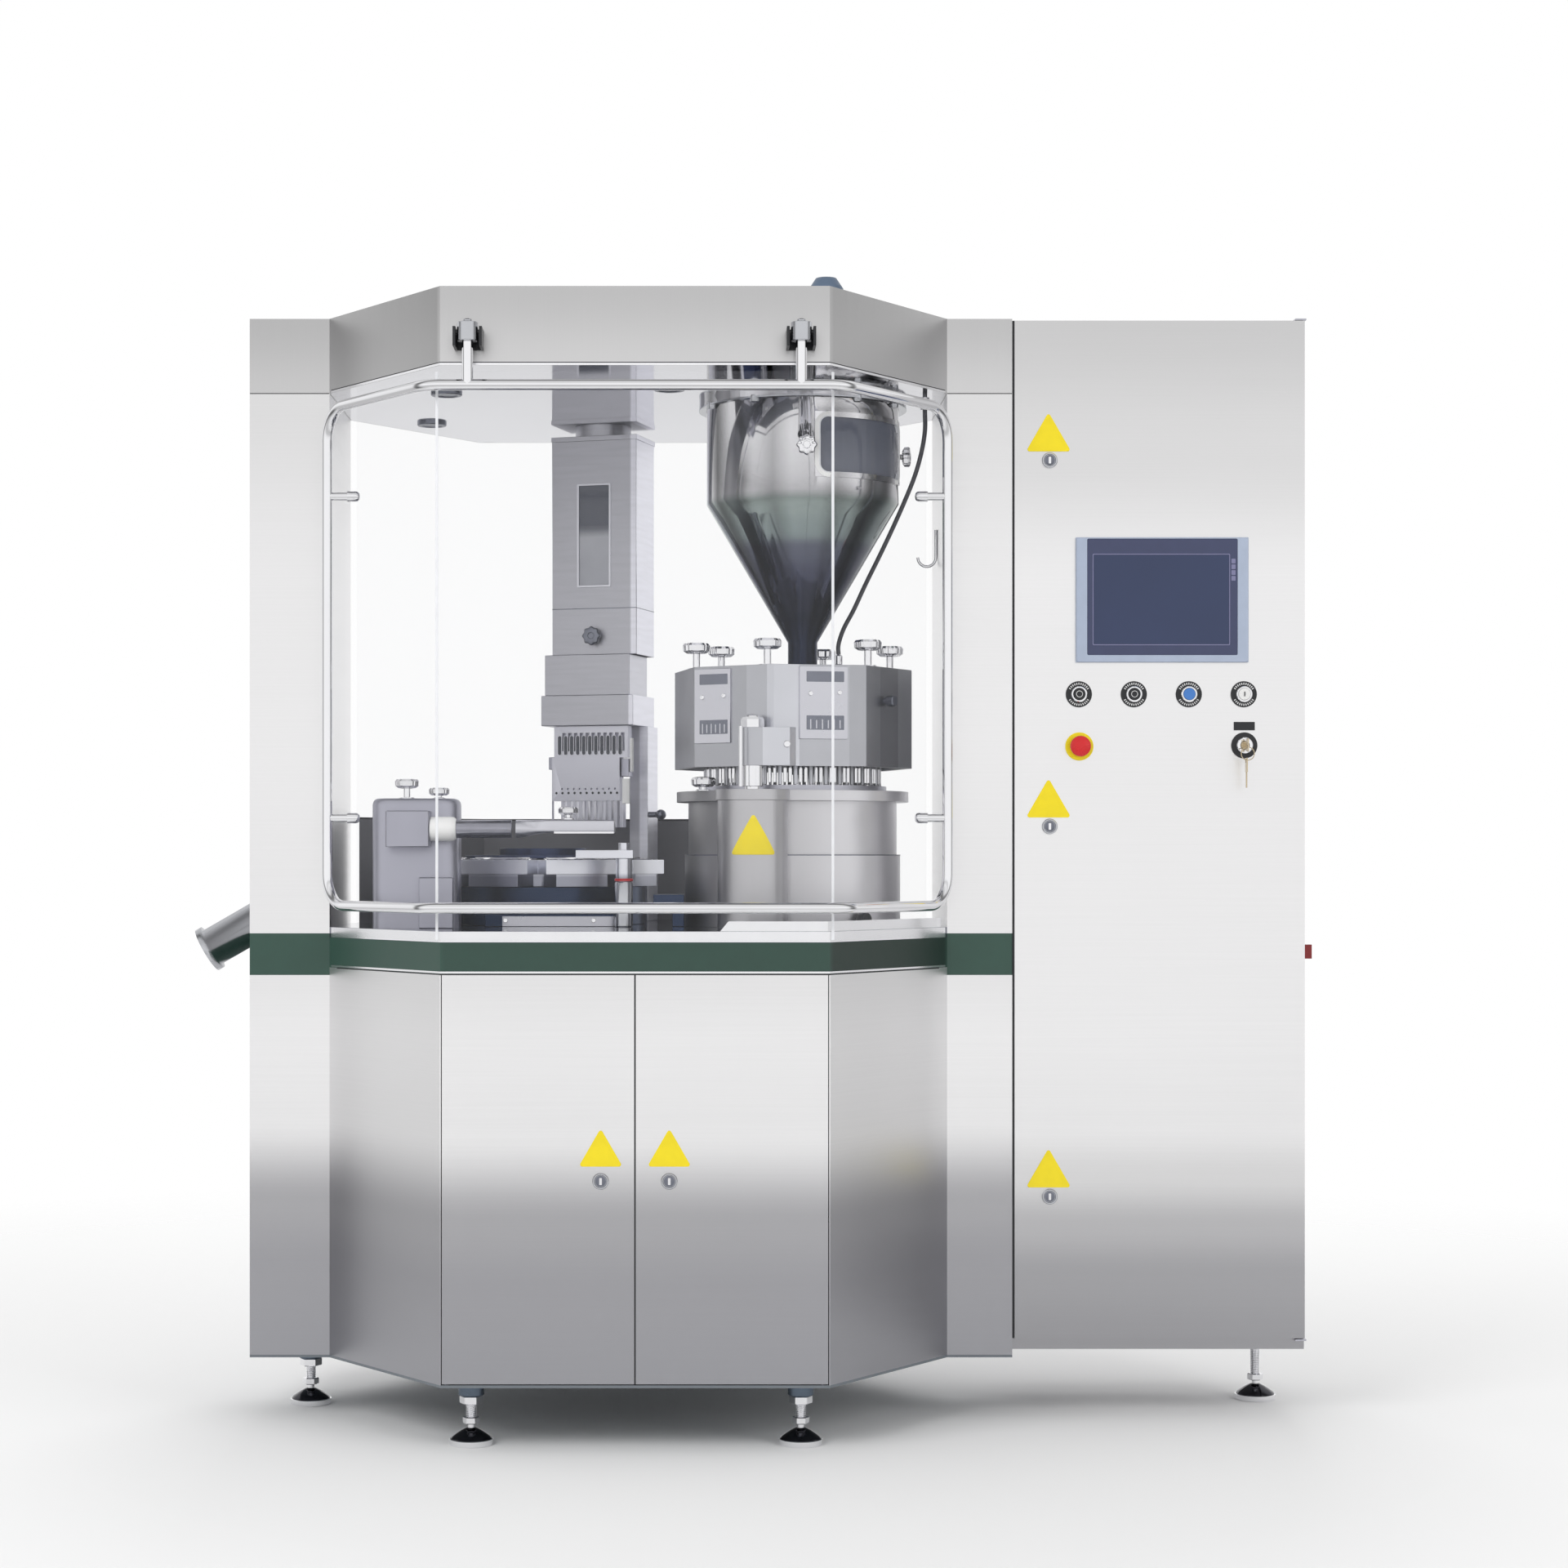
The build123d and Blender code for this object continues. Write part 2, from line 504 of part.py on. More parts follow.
cab_door -= rod_z(cab_pivot_x, cab_pivot_y, CAB_DOOR_Z1 - PIVOT_DEEP, CAB_DOOR_Z1, PIVOT_R + RUN)
hmi_x1 = HMI_X0 + HMI_W
hmi_z1 = HMI_Z0 + HMI_H
face_y = CAB_DOOR_Y0
hole_in = HMI_BODY_IN
cab_door -= block(HMI_X0 + hole_in, hmi_x1 - hole_in, face_y, face_y + PANEL_T, HMI_Z0 + hole_in,
    hmi_z1 - hole_in)
for x in BUTTON_XS:
    cab_door -= rod_y(x, face_y, face_y + PANEL_T, CONTROL_Z, CONTROL_HOLE_R)
cab_door -= rod_y(STOP_X, face_y, face_y + PANEL_T, STOP_Z, CONTROL_HOLE_R)
cab_door -= rod_y(KEY_X, face_y, face_y + PANEL_T, KEY_Z, CONTROL_HOLE_R)
for name, z in CAB_LOCK_ZS.items():
    cab_door -= rod_y(CAB_LOCK_X, face_y, face_y + PANEL_T, z, LOCK_R + RUN)
    save(f"cabinet_lock_{name}", cam_lock(CAB_LOCK_X, face_y, z, PANEL_T,
        CAB_Y0 + SHEET_T + 2.0 - face_y))
save("cabinet_door", cab_door)

bezel = block(HMI_X0, hmi_x1, face_y - HMI_PROUD, face_y, HMI_Z0, hmi_z1)
screen = block(HMI_X0 + GLASS_SIDE, hmi_x1 - GLASS_SIDE, face_y - HMI_PROUD,
    face_y - HMI_PROUD + GLASS_T, HMI_Z0 + GLASS_LOW, hmi_z1 - GLASS_TOP)
bezel -= screen
bezel += block(HMI_X0 + hole_in, hmi_x1 - hole_in, face_y, face_y + HMI_BODY_D, HMI_Z0 + hole_in,
    hmi_z1 - hole_in)
save("touch_panel", bezel, screen)

# Push-buttons, emergency stop and key switch
LEGEND_R = 25.0
LEGEND_T = 2.0
RING_R = 14.7
RING_T = 6.0
CAP_R = 11.5
CAP_GAP = 0.3
CAP_H = 4.0
CAP_PROUD = 3.0
STEM_R = 6.0
STEM_L = 26.0
BARREL_L = 34.0
BARREL_R = CONTROL_HOLE_R - 0.2
CONTACT_W = 30.0
CONTACT_D = 26.0
plate_y = face_y - LEGEND_T
ring_y = plate_y - RING_T


def control_body(x, z, ring_r, well_r, stem_r):
    """Ring, barrel through the door and contact block, bored for its actuator."""
    body = rod_y(x, ring_y, plate_y, z, ring_r)
    body += rod_y(x, plate_y, face_y + BARREL_L, z, BARREL_R)
    half_w = CONTACT_W / 2
    y_end = face_y + BARREL_L
    body += block(x - half_w, x + half_w, y_end, y_end + CONTACT_D, z - half_w, z + half_w)
    body -= rod_y(x, ring_y, plate_y, z, well_r)
    body -= rod_y(x, plate_y, y_end, z, stem_r)
    return body


def round_plate(x, z, r):
    """Round plate on the door, with a hole for the barrel."""
    return rod_y(x, plate_y, face_y, z, r) - rod_y(x, plate_y, face_y, z, BARREL_R)


bodies = [control_body(x, CONTROL_Z, RING_R, CAP_R + CAP_GAP, STEM_R + CAP_GAP) for x in BUTTON_XS]
STOP_R = 20.0
STOP_STEM_R = 9.0
STOP_TRAVEL = 5.0
STOP_H = 12.0
STOP_PLATE_R = 26.0
bodies.append(control_body(STOP_X, STOP_Z, RING_R, STOP_STEM_R + CAP_GAP, STOP_STEM_R + CAP_GAP))
KEY_R = 8.0
bodies.append(control_body(KEY_X, KEY_Z, RING_R, KEY_R + RUN, KEY_R + RUN))
legends = [round_plate(x, CONTROL_Z, LEGEND_R) for x in BUTTON_XS]
legends.append(round_plate(KEY_X, KEY_Z, LEGEND_R))
legends.append(block(KEY_X - 20.0, KEY_X + 20.0, plate_y, face_y, KEY_Z + 29.0, KEY_Z + 45.0))
save("control_bodies", *bodies, *legends)
save("stop_plate", round_plate(STOP_X, STOP_Z, STOP_PLATE_R))
for i, x in enumerate(BUTTON_XS):
    cap_y = ring_y - CAP_PROUD
    cap = rod_y(x, cap_y, cap_y + CAP_H, CONTROL_Z, CAP_R) + rod_y(x, cap_y + CAP_H,
        cap_y + CAP_H + STEM_L, CONTROL_Z, STEM_R)
    save(f"push_button_{i + 1}", cap)
stop_y = ring_y - STOP_TRAVEL - 0.5
mushroom = rod_y(STOP_X, stop_y - STOP_H, stop_y, STOP_Z, STOP_R)
save("emergency_stop", mushroom + rod_y(STOP_X, stop_y, stop_y + STEM_L, STOP_Z, STOP_STEM_R))
key = rod_y(KEY_X, ring_y - 1.0, face_y + STEM_L, KEY_Z, KEY_R)
key += block(KEY_X - 1.2, KEY_X + 1.2, ring_y - 12.0, ring_y - 1.0, KEY_Z - 4.0, KEY_Z + 4.0)
key += block(KEY_X - 1.2, KEY_X + 1.2, ring_y - 34.0, ring_y - 12.0, KEY_Z - 12.0, KEY_Z + 12.0)
KEY_HOLE_R = 3.0
HANG_R = 12.5  # ring that a spare key hangs on
HANG_WIRE = 0.9
hang_y = ring_y - 28.0
hang_z = KEY_Z - 17.0
hole_z = hang_z + HANG_R - HANG_WIRE + KEY_HOLE_R
key -= rod_x(KEY_X - 2.0, KEY_X + 2.0, hang_y, hole_z, KEY_HOLE_R)
loop_ring = Pos(KEY_X, hang_y, hang_z) * Rot(90, 0, 0) * Torus(HANG_R, HANG_WIRE)
spare = block(KEY_X - 3.6, KEY_X - 1.4, hang_y - 8.0, hang_y + 8.0, KEY_Z - 52.0, KEY_Z - 25.0)
spare += block(KEY_X - 3.6, KEY_X - 1.4, hang_y - 3.0, hang_y + 3.0, KEY_Z - 82.0, KEY_Z - 52.0)
spare -= rod_x(KEY_X - 5.0, KEY_X, hang_y, hang_z - HANG_R + HANG_WIRE + 0.2 - KEY_HOLE_R, KEY_HOLE_R)
save("switch_key", key, loop_ring, spare)

# Pins that the three doors turn on
pins = []
for side in (-1, 1):
    pins.append(rod_z(side * pivot_x, PIVOT_Y, PAN_TOP, DOOR_Z0 + PIVOT_DEEP - 1.0, PIVOT_R))
    pins.append(rod_z(side * pivot_x, PIVOT_Y, DOOR_Z1 - PIVOT_DEEP + 1.0, BAND_Z + SHEET_T, PIVOT_R))
for z_pin0, z_pin1, z_arm0, z_arm1 in (
    (CAB_DOOR_Z0 - 2.0, CAB_DOOR_Z0 + PIVOT_DEEP - 1.0, CAB_DOOR_Z0 - 5.0, CAB_DOOR_Z0 - 2.0),
    (CAB_DOOR_Z1 - PIVOT_DEEP + 1.0, CAB_DOOR_Z1 + 1.0, CAB_DOOR_Z1 + 1.0, CAB_DOOR_Z1 + 4.0),
):
    arm = block(cab_pivot_x - 10.0, CAB_X1, CAB_DOOR_Y0, CAB_Y0, z_arm0, z_arm1)
    pins.append(arm + rod_z(cab_pivot_x, cab_pivot_y, z_pin0, z_pin1, PIVOT_R))
save("hinge_pins", *pins)

# Front guard: bent clear sheet, tube loop, four standoffs and two hanger rods
GUARD_OUT = 10.0  # outer face in front of the deck's edge
GUARD_Z0 = DECK_Z + 3.0
GUARD_Z1 = HEAD_Z - 12.0
GUARD_HALF = SIDE_HALF - 6.0
LOOP_OUT = 45.0  # tube centre line in front of the deck's edge
LOOP_R = 10.0
LOOP_HALF = GUARD_HALF
LOOP_Z0 = DECK + 43.0
LOOP_Z1 = HEAD_Z - 43.0
LOOP_CORNER = 60.0
HANGER_X = 299.0
PIVOT_Z = HEAD_Z + 52.0
STANDOFF_DROP = 165.0
window = wall(-GUARD_OUT, -GUARD_OUT + GUARD_T, GUARD_Z0, GUARD_Z1)
window &= block(-GUARD_HALF, GUARD_HALF, -GUARD_OUT, SIDE_Y0, GUARD_Z0, GUARD_Z1)
wing_len = hypot(WING_X, WING_Y)


def wing_y(x, out):
    """Depth of a wing plane, moved outwards by out, at half width x."""
    return -out + (x - plan(-out)[1][0]) * WING_Y / WING_X


loop_y = wing_y(LOOP_HALF, LOOP_OUT)
bend_x = plan(-LOOP_OUT)[1][0]
corners = [(-LOOP_HALF, loop_y), (-bend_x, -LOOP_OUT), (bend_x, -LOOP_OUT), (LOOP_HALF, loop_y)]
points = [(x, y, LOOP_Z0) for x, y in corners] + [(x, y, LOOP_Z1) for x, y in reversed(corners)]
loop_path = FilletPolyline(*points, radius=LOOP_CORNER, close=True)
start = loop_path @ 0
loop_tube = sweep(Plane(origin=start, z_dir=loop_path % 0) * Circle(LOOP_R), path=loop_path)
standoffs = []
for side in (-1, 1):
    for z in (LOOP_Z0 + STANDOFF_DROP, LOOP_Z1 - STANDOFF_DROP):
        tip = side * (LOOP_HALF - 52.0)
        outer_x = side * (LOOP_HALF - LOOP_R * 0.5)
        post = rod_x(min(tip, outer_x), max(tip, outer_x), loop_y, z, LOOP_R)
        post += Pos(tip, loop_y, z) * Sphere(LOOP_R)
        standoffs.append(post)
guard_tubes = loop_tube
for post in standoffs:
    guard_tubes += post
    window -= post
HANGER_COLLAR_R = 18.7
HANGER_COLLAR_H = 34.0
HANGER_BORE = PIVOT_R + RUN
for side in (-1, 1):
    x = side * HANGER_X
    guard_tubes += rod_z(x, -LOOP_OUT, LOOP_Z1, PIVOT_Z, LOOP_R)
    guard_tubes += rod_z(x, -LOOP_OUT, PIVOT_Z - HANGER_COLLAR_H / 2, PIVOT_Z + HANGER_COLLAR_H / 2,
        HANGER_COLLAR_R)
    guard_tubes -= rod_x(x - 30.0, x + 30.0, -LOOP_OUT, PIVOT_Z, HANGER_BORE)
save("guard_window", window)
save("guard_tubes", guard_tubes)

EAR_T = 5.0
EAR_GAP = 2.5
BACK_T = 4.0
EAR_LOW = 26.0
EAR_HIGH = 9.0
brackets = []
for side in (-1, 1):
    x = side * HANGER_X
    reach = HANGER_COLLAR_R + EAR_GAP
    body = block(x - reach - EAR_T, x + reach + EAR_T, -BACK_T, 0, PIVOT_Z - EAR_LOW, PIVOT_Z + EAR_HIGH)
    for ear in (-1, 1):
        e0 = x + ear * reach
        e1 = e0 + ear * EAR_T
        body += block(min(e0, e1), max(e0, e1), -LOOP_OUT - 8.0, 0, PIVOT_Z - EAR_LOW, PIVOT_Z + EAR_HIGH)
    body += rod_x(x - reach, x + reach, -LOOP_OUT, PIVOT_Z, PIVOT_R)
    brackets.append(body)
save("guard_brackets", *brackets)

# Index boxes under the deck and a bearing hanger for the cam shaft
BOX_HALF = 120.0
BOX_H = 325.0
SHAFT_Z = 640.0
SHAFT_R = 20.0
HUB_DEPTH = 45.0
DOSE_BOX_HALF = 90.0
DOSE_BOX_H = 160.0
turret_box = block(TURRET_X - BOX_HALF, TURRET_X + BOX_HALF, TURRET_Y - BOX_HALF, TURRET_Y + BOX_HALF,
    DECK_Z - BOX_H, DECK_Z)
turret_box -= rod_z(TURRET_X, TURRET_Y, DECK_Z - HUB_DEPTH, DECK_Z, TURRET_SHAFT_R + RUN)
turret_box -= rod_x(TURRET_X - BOX_HALF, TURRET_X + BOX_HALF, TURRET_Y, SHAFT_Z, SHAFT_R + RUN)
dose_box = block(DOSE_X - DOSE_BOX_HALF, DOSE_X + DOSE_BOX_HALF, DOSE_Y - DOSE_BOX_HALF,
    DOSE_Y + DOSE_BOX_HALF, DECK_Z - DOSE_BOX_H, DECK_Z)
dose_box -= rod_z(DOSE_X, DOSE_Y, DECK_Z - HUB_DEPTH, DECK_Z, DOSE_SHAFT_R + RUN)
GEAR_X0 = SIDE_HALF - 262.0
HANGER_BLOCK_X = GEAR_X0 - 90.0
hanger = block(HANGER_BLOCK_X, HANGER_BLOCK_X + 40.0, TURRET_Y - 35.0, TURRET_Y + 35.0, DECK_Z - BOX_H,
    DECK_Z)
hanger -= rod_x(HANGER_BLOCK_X, HANGER_BLOCK_X + 40.0, TURRET_Y, SHAFT_Z, SHAFT_R + RUN)
save("index_boxes", turret_box, dose_box, hanger)

# Cam shaft, gearbox, motor and belt drive in the base
GEAR_W = 150.0
GEAR_Y0 = TURRET_Y - 100.0
GEAR_D = 200.0
GEAR_Z0 = 480.0
GEAR_Z1 = 760.0
CAM_R = 70.0
CAM_OFF = 18.0
CAM_THICK = 20.0
cam_shaft = rod_x(TURRET_X - BOX_HALF - 30.0, GEAR_X0 + 60.0, TURRET_Y, SHAFT_Z, SHAFT_R)
for i in range(4):
    turn = i * pi / 2
    x0 = -30.0 + i * 65.0
    cam_shaft += rod_x(x0, x0 + CAM_THICK, TURRET_Y + CAM_OFF * cos(turn), SHAFT_Z + CAM_OFF * sin(turn),
        CAM_R)
save("cam_shaft", cam_shaft)
BELT_W = 30.0
BELT_T = 5.0
BELT_Y = TURRET_Y - 150.0
BELT_GAP = 0.3
IN_X = GEAR_X0 + GEAR_W / 2
IN_Z = 540.0
IN_R = 90.0
MOTOR_X = 180.0
MOTOR_Z = PAN_TOP + 97.0
MOTOR_PULLEY_R = 36.0
MOTOR_R = 75.0
MOTOR_Y0 = TURRET_Y - 80.0
MOTOR_LEN = 280.0
DRIVE_SHAFT_R = 14.0
gear = block(GEAR_X0, GEAR_X0 + GEAR_W, GEAR_Y0, GEAR_Y0 + GEAR_D, GEAR_Z0, GEAR_Z1)
gear -= rod_x(GEAR_X0, GEAR_X0 + 60.0, TURRET_Y, SHAFT_Z, SHAFT_R + RUN)
gear -= rod_y(IN_X, GEAR_Y0, GEAR_Y0 + 50.0, IN_Z, DRIVE_SHAFT_R + RUN)
stand = block(GEAR_X0, GEAR_X0 + GEAR_W, GEAR_Y0, GEAR_Y0 + GEAR_D, PAN_TOP, GEAR_Z0)
stand -= block(GEAR_X0 + 10.0, GEAR_X0 + GEAR_W - 10.0, GEAR_Y0, GEAR_Y0 + GEAR_D, PAN_TOP,
    GEAR_Z0 - 15.0)
save("gearbox", gear, stand)
motor = rod_y(MOTOR_X, MOTOR_Y0, MOTOR_Y0 + MOTOR_LEN, MOTOR_Z, MOTOR_R)
motor += block(MOTOR_X - 70.0, MOTOR_X + 70.0, MOTOR_Y0 + 40.0, MOTOR_Y0 + 200.0, PAN_TOP,
    MOTOR_Z - MOTOR_R * 0.6)
motor += block(MOTOR_X - 45.0, MOTOR_X + 45.0, MOTOR_Y0 + 60.0, MOTOR_Y0 + 160.0, MOTOR_Z,
    MOTOR_Z + MOTOR_R + 35.0)
motor -= rod_y(MOTOR_X, MOTOR_Y0, MOTOR_Y0 + 50.0, MOTOR_Z, DRIVE_SHAFT_R + RUN)
save("main_motor", motor)


def pulley(x, z, r, shaft_end):
    """Flat belt pulley with two rims, on its shaft."""
    half_w = BELT_W / 2
    body = rod_y(x, BELT_Y - half_w - 1.0, BELT_Y + half_w + 1.0, z, r)
    for y0 in (BELT_Y - half_w - 4.0, BELT_Y + half_w + 1.0):
        body += rod_y(x, y0, y0 + 3.0, z, r + 5.0)
    return body + rod_y(x, BELT_Y - half_w - 14.0, shaft_end, z, DRIVE_SHAFT_R)


save("input_pulley", pulley(IN_X, IN_Z, IN_R, GEAR_Y0 + 45.0))
save("motor_pulley", pulley(MOTOR_X, MOTOR_Z, MOTOR_PULLEY_R, MOTOR_Y0 + 45.0))


def belt_outline(grow):
    """Area inside an open belt round both pulleys, grown by grow."""
    ra = IN_R + grow
    rb = MOTOR_PULLEY_R + grow
    dx = MOTOR_X - IN_X
    dz = MOTOR_Z - IN_Z
    gap_l = hypot(dx, dz)
    ux, uz = dx / gap_l, dz / gap_l
    s = (ra - rb) / gap_l
    c = (1 - s * s) ** 0.5
    quad = []
    for flip in (1, -1):
        nx, nz = s * ux - flip * c * uz, s * uz + flip * c * ux
        ends = [(IN_X + ra * nx, IN_Z + ra * nz), (MOTOR_X + rb * nx, MOTOR_Z + rb * nz)]
        quad += ends if flip == 1 else ends[::-1]
    y0 = BELT_Y - BELT_W / 2
    face = make_face(Polyline(*[(x, y0, z) for x, z in quad], close=True))
    area = extrude(face, amount=BELT_W, dir=(0, 1, 0))
    area += rod_y(IN_X, y0, y0 + BELT_W, IN_Z, ra)
    return area + rod_y(MOTOR_X, y0, y0 + BELT_W, MOTOR_Z, rb)


save("drive_belt", belt_outline(BELT_GAP + BELT_T) - belt_outline(BELT_GAP))

# Turret: base drum, turning disc with eight segment holders, fixed cover
DRUM_R = 205.0
DRUM_H = 76.0
GAP = 0.5
STATIONS = 8
SEG_R = 232.0
SEG_IN = 165.0
SEG_W = 152.0
SEG_H = 28.0
SEG_LOW_W = 106.0
SEG_LOW_H = 24.0
drum_z1 = DECK + DRUM_H
drum = rod_z(TURRET_X, TURRET_Y, DECK, drum_z1, DRUM_R)
drum -= rod_z(TURRET_X, TURRET_Y, DECK, drum_z1 - 12.0, DRUM_R - 12.0)
drum -= rod_z(TURRET_X, TURRET_Y, drum_z1 - 12.0, drum_z1, TURRET_SHAFT_R + SHAFT_CLEAR)
service_plate = block(TURRET_X - 100.0, TURRET_X + 150.0, TURRET_Y - DRUM_R - 40.0,
    TURRET_Y - DRUM_R - 20.0, DECK, DECK + 24.0)
BRACKET_X0 = TURRET_X + DRUM_R + 20.0
BRACKET_W = 60.0
BRACKET_H = 62.0
BRACKET_LEG = 23.0
BRACKET_TOP = 18.0
BRACKET_Y1 = TURRET_Y - DRUM_R + 15.0
bracket = block(BRACKET_X0, BRACKET_X0 + BRACKET_W, BRACKET_Y1 - BRACKET_W, BRACKET_Y1, DECK,
    DECK + BRACKET_H)
bracket -= block(BRACKET_X0, BRACKET_X0 + BRACKET_W - BRACKET_LEG, BRACKET_Y1 - BRACKET_W, BRACKET_Y1,
    DECK, DECK + BRACKET_H - BRACKET_TOP)
save("turret_base", drum, service_plate, bracket)
low_z = drum_z1 + GAP
mid_z = low_z + SEG_LOW_H
seg_z1 = mid_z + SEG_H
turret = rod_z(TURRET_X, TURRET_Y, low_z, seg_z1 - 6.0, SEG_IN)
SLOT_R = 7.0
for i in range(STATIONS):
    angle = 360.0 / STATIONS * (i + 0.5)
    at = Pos(TURRET_X, TURRET_Y, 0) * Rot(0, 0, angle)
    upper = block(SEG_IN - 20.0, SEG_R, -SEG_W / 2, SEG_W / 2, mid_z, seg_z1)
    lower = block(SEG_IN - 20.0, SEG_R - 6.0, -SEG_LOW_W / 2, SEG_LOW_W / 2, low_z, mid_z)
    turret += at * upper
    turret += at * lower
for i in range(STATIONS):
    angle = 360.0 / STATIONS * (i + 0.5)
    at = Pos(TURRET_X, TURRET_Y, 0) * Rot(0, 0, angle)
    for j in range(-2, 3):
        turret -= at * Pos(SEG_R - 26.0, j * 26.0, seg_z1 - 7.5) * Cylinder(SLOT_R, 15.0)
turret += rod_z(TURRET_X, TURRET_Y, DECK_Z - HUB_DEPTH + 1.0, low_z, TURRET_SHAFT_R)
STEM_COVER_R = 14.0
turret -= rod_z(TURRET_X, TURRET_Y, DECK_Z - HUB_DEPTH, seg_z1, STEM_COVER_R + GAP)
save("turret_disc", turret)
COVER_R = 158.0
COVER_T = 6.0
cover_z = seg_z1 + 3.0
cover = rod_z(TURRET_X, TURRET_Y, cover_z, cover_z + COVER_T, COVER_R)
cover += rod_z(TURRET_X, TURRET_Y, cover_z + COVER_T, cover_z + COVER_T + 14.0, COVER_R * 0.55)
cover += rod_z(TURRET_X, TURRET_Y, DECK_Z - HUB_DEPTH, cover_z, STEM_COVER_R)
ARM_X = TURRET_X + 169.0
ARM_Y = TURRET_Y - 268.0
ARM_R = 15.5
arm_z = cover_z
arm = rod_z(ARM_X, ARM_Y, DECK, arm_z, ARM_R)
arm += block(ARM_X - 92.0, ARM_X + 18.0, ARM_Y - 16.0, ARM_Y + 16.0, arm_z, arm_z + 16.0)
arm += hex_z(ARM_X, ARM_Y, arm_z + 16.0, arm_z + 30.0, 19.0)
save("turret_cover", cover, arm)

# Capsule magazine with its lid and inlet neck, and the feeder blocks under it
MAG_DECK = 555.0  # deck to the magazine's foot
MAG_Z0 = DECK + MAG_DECK
MAG_Z1 = HEAD_Z - 23.0
LID_T = 10.0
BLOCK_1_H = 85.0
BLOCK_2_H = 63.0
WIN_W = 66.0
MAG_H = MAG_Z1 - MAG_Z0
WIN_Z0 = MAG_Z0 + MAG_H * 0.324
WIN_H = MAG_H * 0.467
PANE_T = 3.0
mag_half = MAG_W / 2
mag_front = block(-mag_half, mag_half, 0, SHEET_T, MAG_Z0, MAG_Z1)
mag_front -= block(-WIN_W / 2, WIN_W / 2, 0, SHEET_T, WIN_Z0, WIN_Z0 + WIN_H)
mag = [mag_front, block(-mag_half, mag_half, MAG_D - SHEET_T, MAG_D, MAG_Z0, MAG_Z1)]
for x0 in (-mag_half, mag_half - SHEET_T):
    mag.append(block(x0, x0 + SHEET_T, SHEET_T, MAG_D - SHEET_T, MAG_Z0, MAG_Z1))
lid = block(-MAG_W / 2 - 2, MAG_W / 2 + 2, -2, MAG_D + 2, MAG_Z1, MAG_Z1 + LID_T)
NECK_WALL = 3.0
neck_bore = Pos(0, MAG_D / 2, 0) * rod_z(0, 0, MAG_Z1, TOP_Z + 1.0, NECK_R - NECK_WALL)
lid -= neck_bore
neck = Pos(0, MAG_D / 2, 0) * rod_z(0, 0, MAG_Z1 + LID_T, TOP_Z, NECK_R) - neck_bore
save("magazine", *[feeder_place * s for s in mag + [lid, neck]])
b1_z0 = MAG_Z0 - BLOCK_1_H
b2_z0 = b1_z0 - BLOCK_2_H
BLOCK_W = 186.0
BLOCK_LEFT = 106.0
BLOCK_FRONT = 8.0
BLOCK_D = 120.0
SKIRT = 6.0  # the lower block is this much wider on its left and front
LOWER_W = 202.0
LOWER_D = 144.0
BLOCK_WALL = 26.0
COLUMN_X0 = 58.0
COLUMN_W = 40.0
COLUMN_Y0 = 60.0
COLUMN_D = 70.0
left = -BLOCK_LEFT
front = -BLOCK_FRONT
hole_x0 = left + BLOCK_WALL
hole_x1 = left + BLOCK_W - BLOCK_WALL + SKIRT
hole_y0 = front + BLOCK_WALL
b1_back = front + BLOCK_D
blocks = [
    block(left, left + BLOCK_W, front, b1_back, b1_z0, MAG_Z0)
    - block(hole_x0, hole_x1, hole_y0, b1_back - BLOCK_WALL, b1_z0, MAG_Z0),
    block(left - SKIRT, left - SKIRT + LOWER_W, front - SKIRT, front - SKIRT + LOWER_D, b2_z0, b1_z0)
    - block(hole_x0, hole_x1, hole_y0, COLUMN_Y0 - BLOCK_FRONT, b2_z0, b1_z0),
    block(COLUMN_X0, COLUMN_X0 + COLUMN_W, COLUMN_Y0, COLUMN_Y0 + COLUMN_D, DECK, b2_z0),
]
save("feeder_blocks", *[feeder_place * b for b in blocks])

# Feeder comb: slotted chute plate, guide plate and finger row; it slides up and down
COMB_X0 = -88.0
COMB_X1 = 74.0
COMB_H = 66.0
CHUTES = 11
CHUTE_PITCH = 12.9
comb_z1 = b2_z0 - GAP
comb_z0 = comb_z1 - COMB_H
chute_x0 = -66.0
comb = block(COMB_X0, COMB_X1, 0, 26.0, comb_z0, comb_z1)
GUIDE_H = 90.0
FINGER_H = 55.0
guide = block(COMB_X0, 60.0, -12.0, 14.0, comb_z0 - GUIDE_H, comb_z0)
for i in range(CHUTES):
    x = chute_x0 + i * CHUTE_PITCH
    comb -= block(x - 4.0, x + 4.0, 0, 16.0, comb_z0 + 14.0, comb_z1 - 14.0)
    guide -= rod_y(x, -12.0, -4.0, comb_z0 - GUIDE_H + 25.0, 2.2)
    finger = block(x - 3.6, x + 3.6, -8.0, 10.0, comb_z0 - GUIDE_H - FINGER_H, comb_z0 - GUIDE_H)
    guide += finger
save("feeder_comb", feeder_place * comb, feeder_place * guide)

# Ejection station on the left: rounded housing, drive box, cap, tube and flat nozzle
HOUSE_X = -420.0
HOUSE_Y0 = WING_Y - 95.0  # behind the guard's left wing
HOUSE_W = 164.0
HOUSE_D = 110.0
HOUSE_H = 245.0
HOUSE_ROUND = 30.0
house = block(HOUSE_X - HOUSE_W / 2, HOUSE_X + HOUSE_W / 2, HOUSE_Y0, HOUSE_Y0 + HOUSE_D, DECK,
    DECK + HOUSE_H)
house = fillet(house.edges().filter_by(Axis.Z), HOUSE_ROUND)
SUCTION_Y = HOUSE_Y0 - 25.0
SUCTION_Z = DECK + 187.0
drive_box = block(HOUSE_X - 50.0, HOUSE_X + 32.0, SUCTION_Y - 25.0, HOUSE_Y0, SUCTION_Z - 34.0,
    SUCTION_Z + 34.0)
cap_x0 = HOUSE_X + 32.0
cap_x1 = cap_x0 + 49.0
CAP_TUBE_R = 23.0
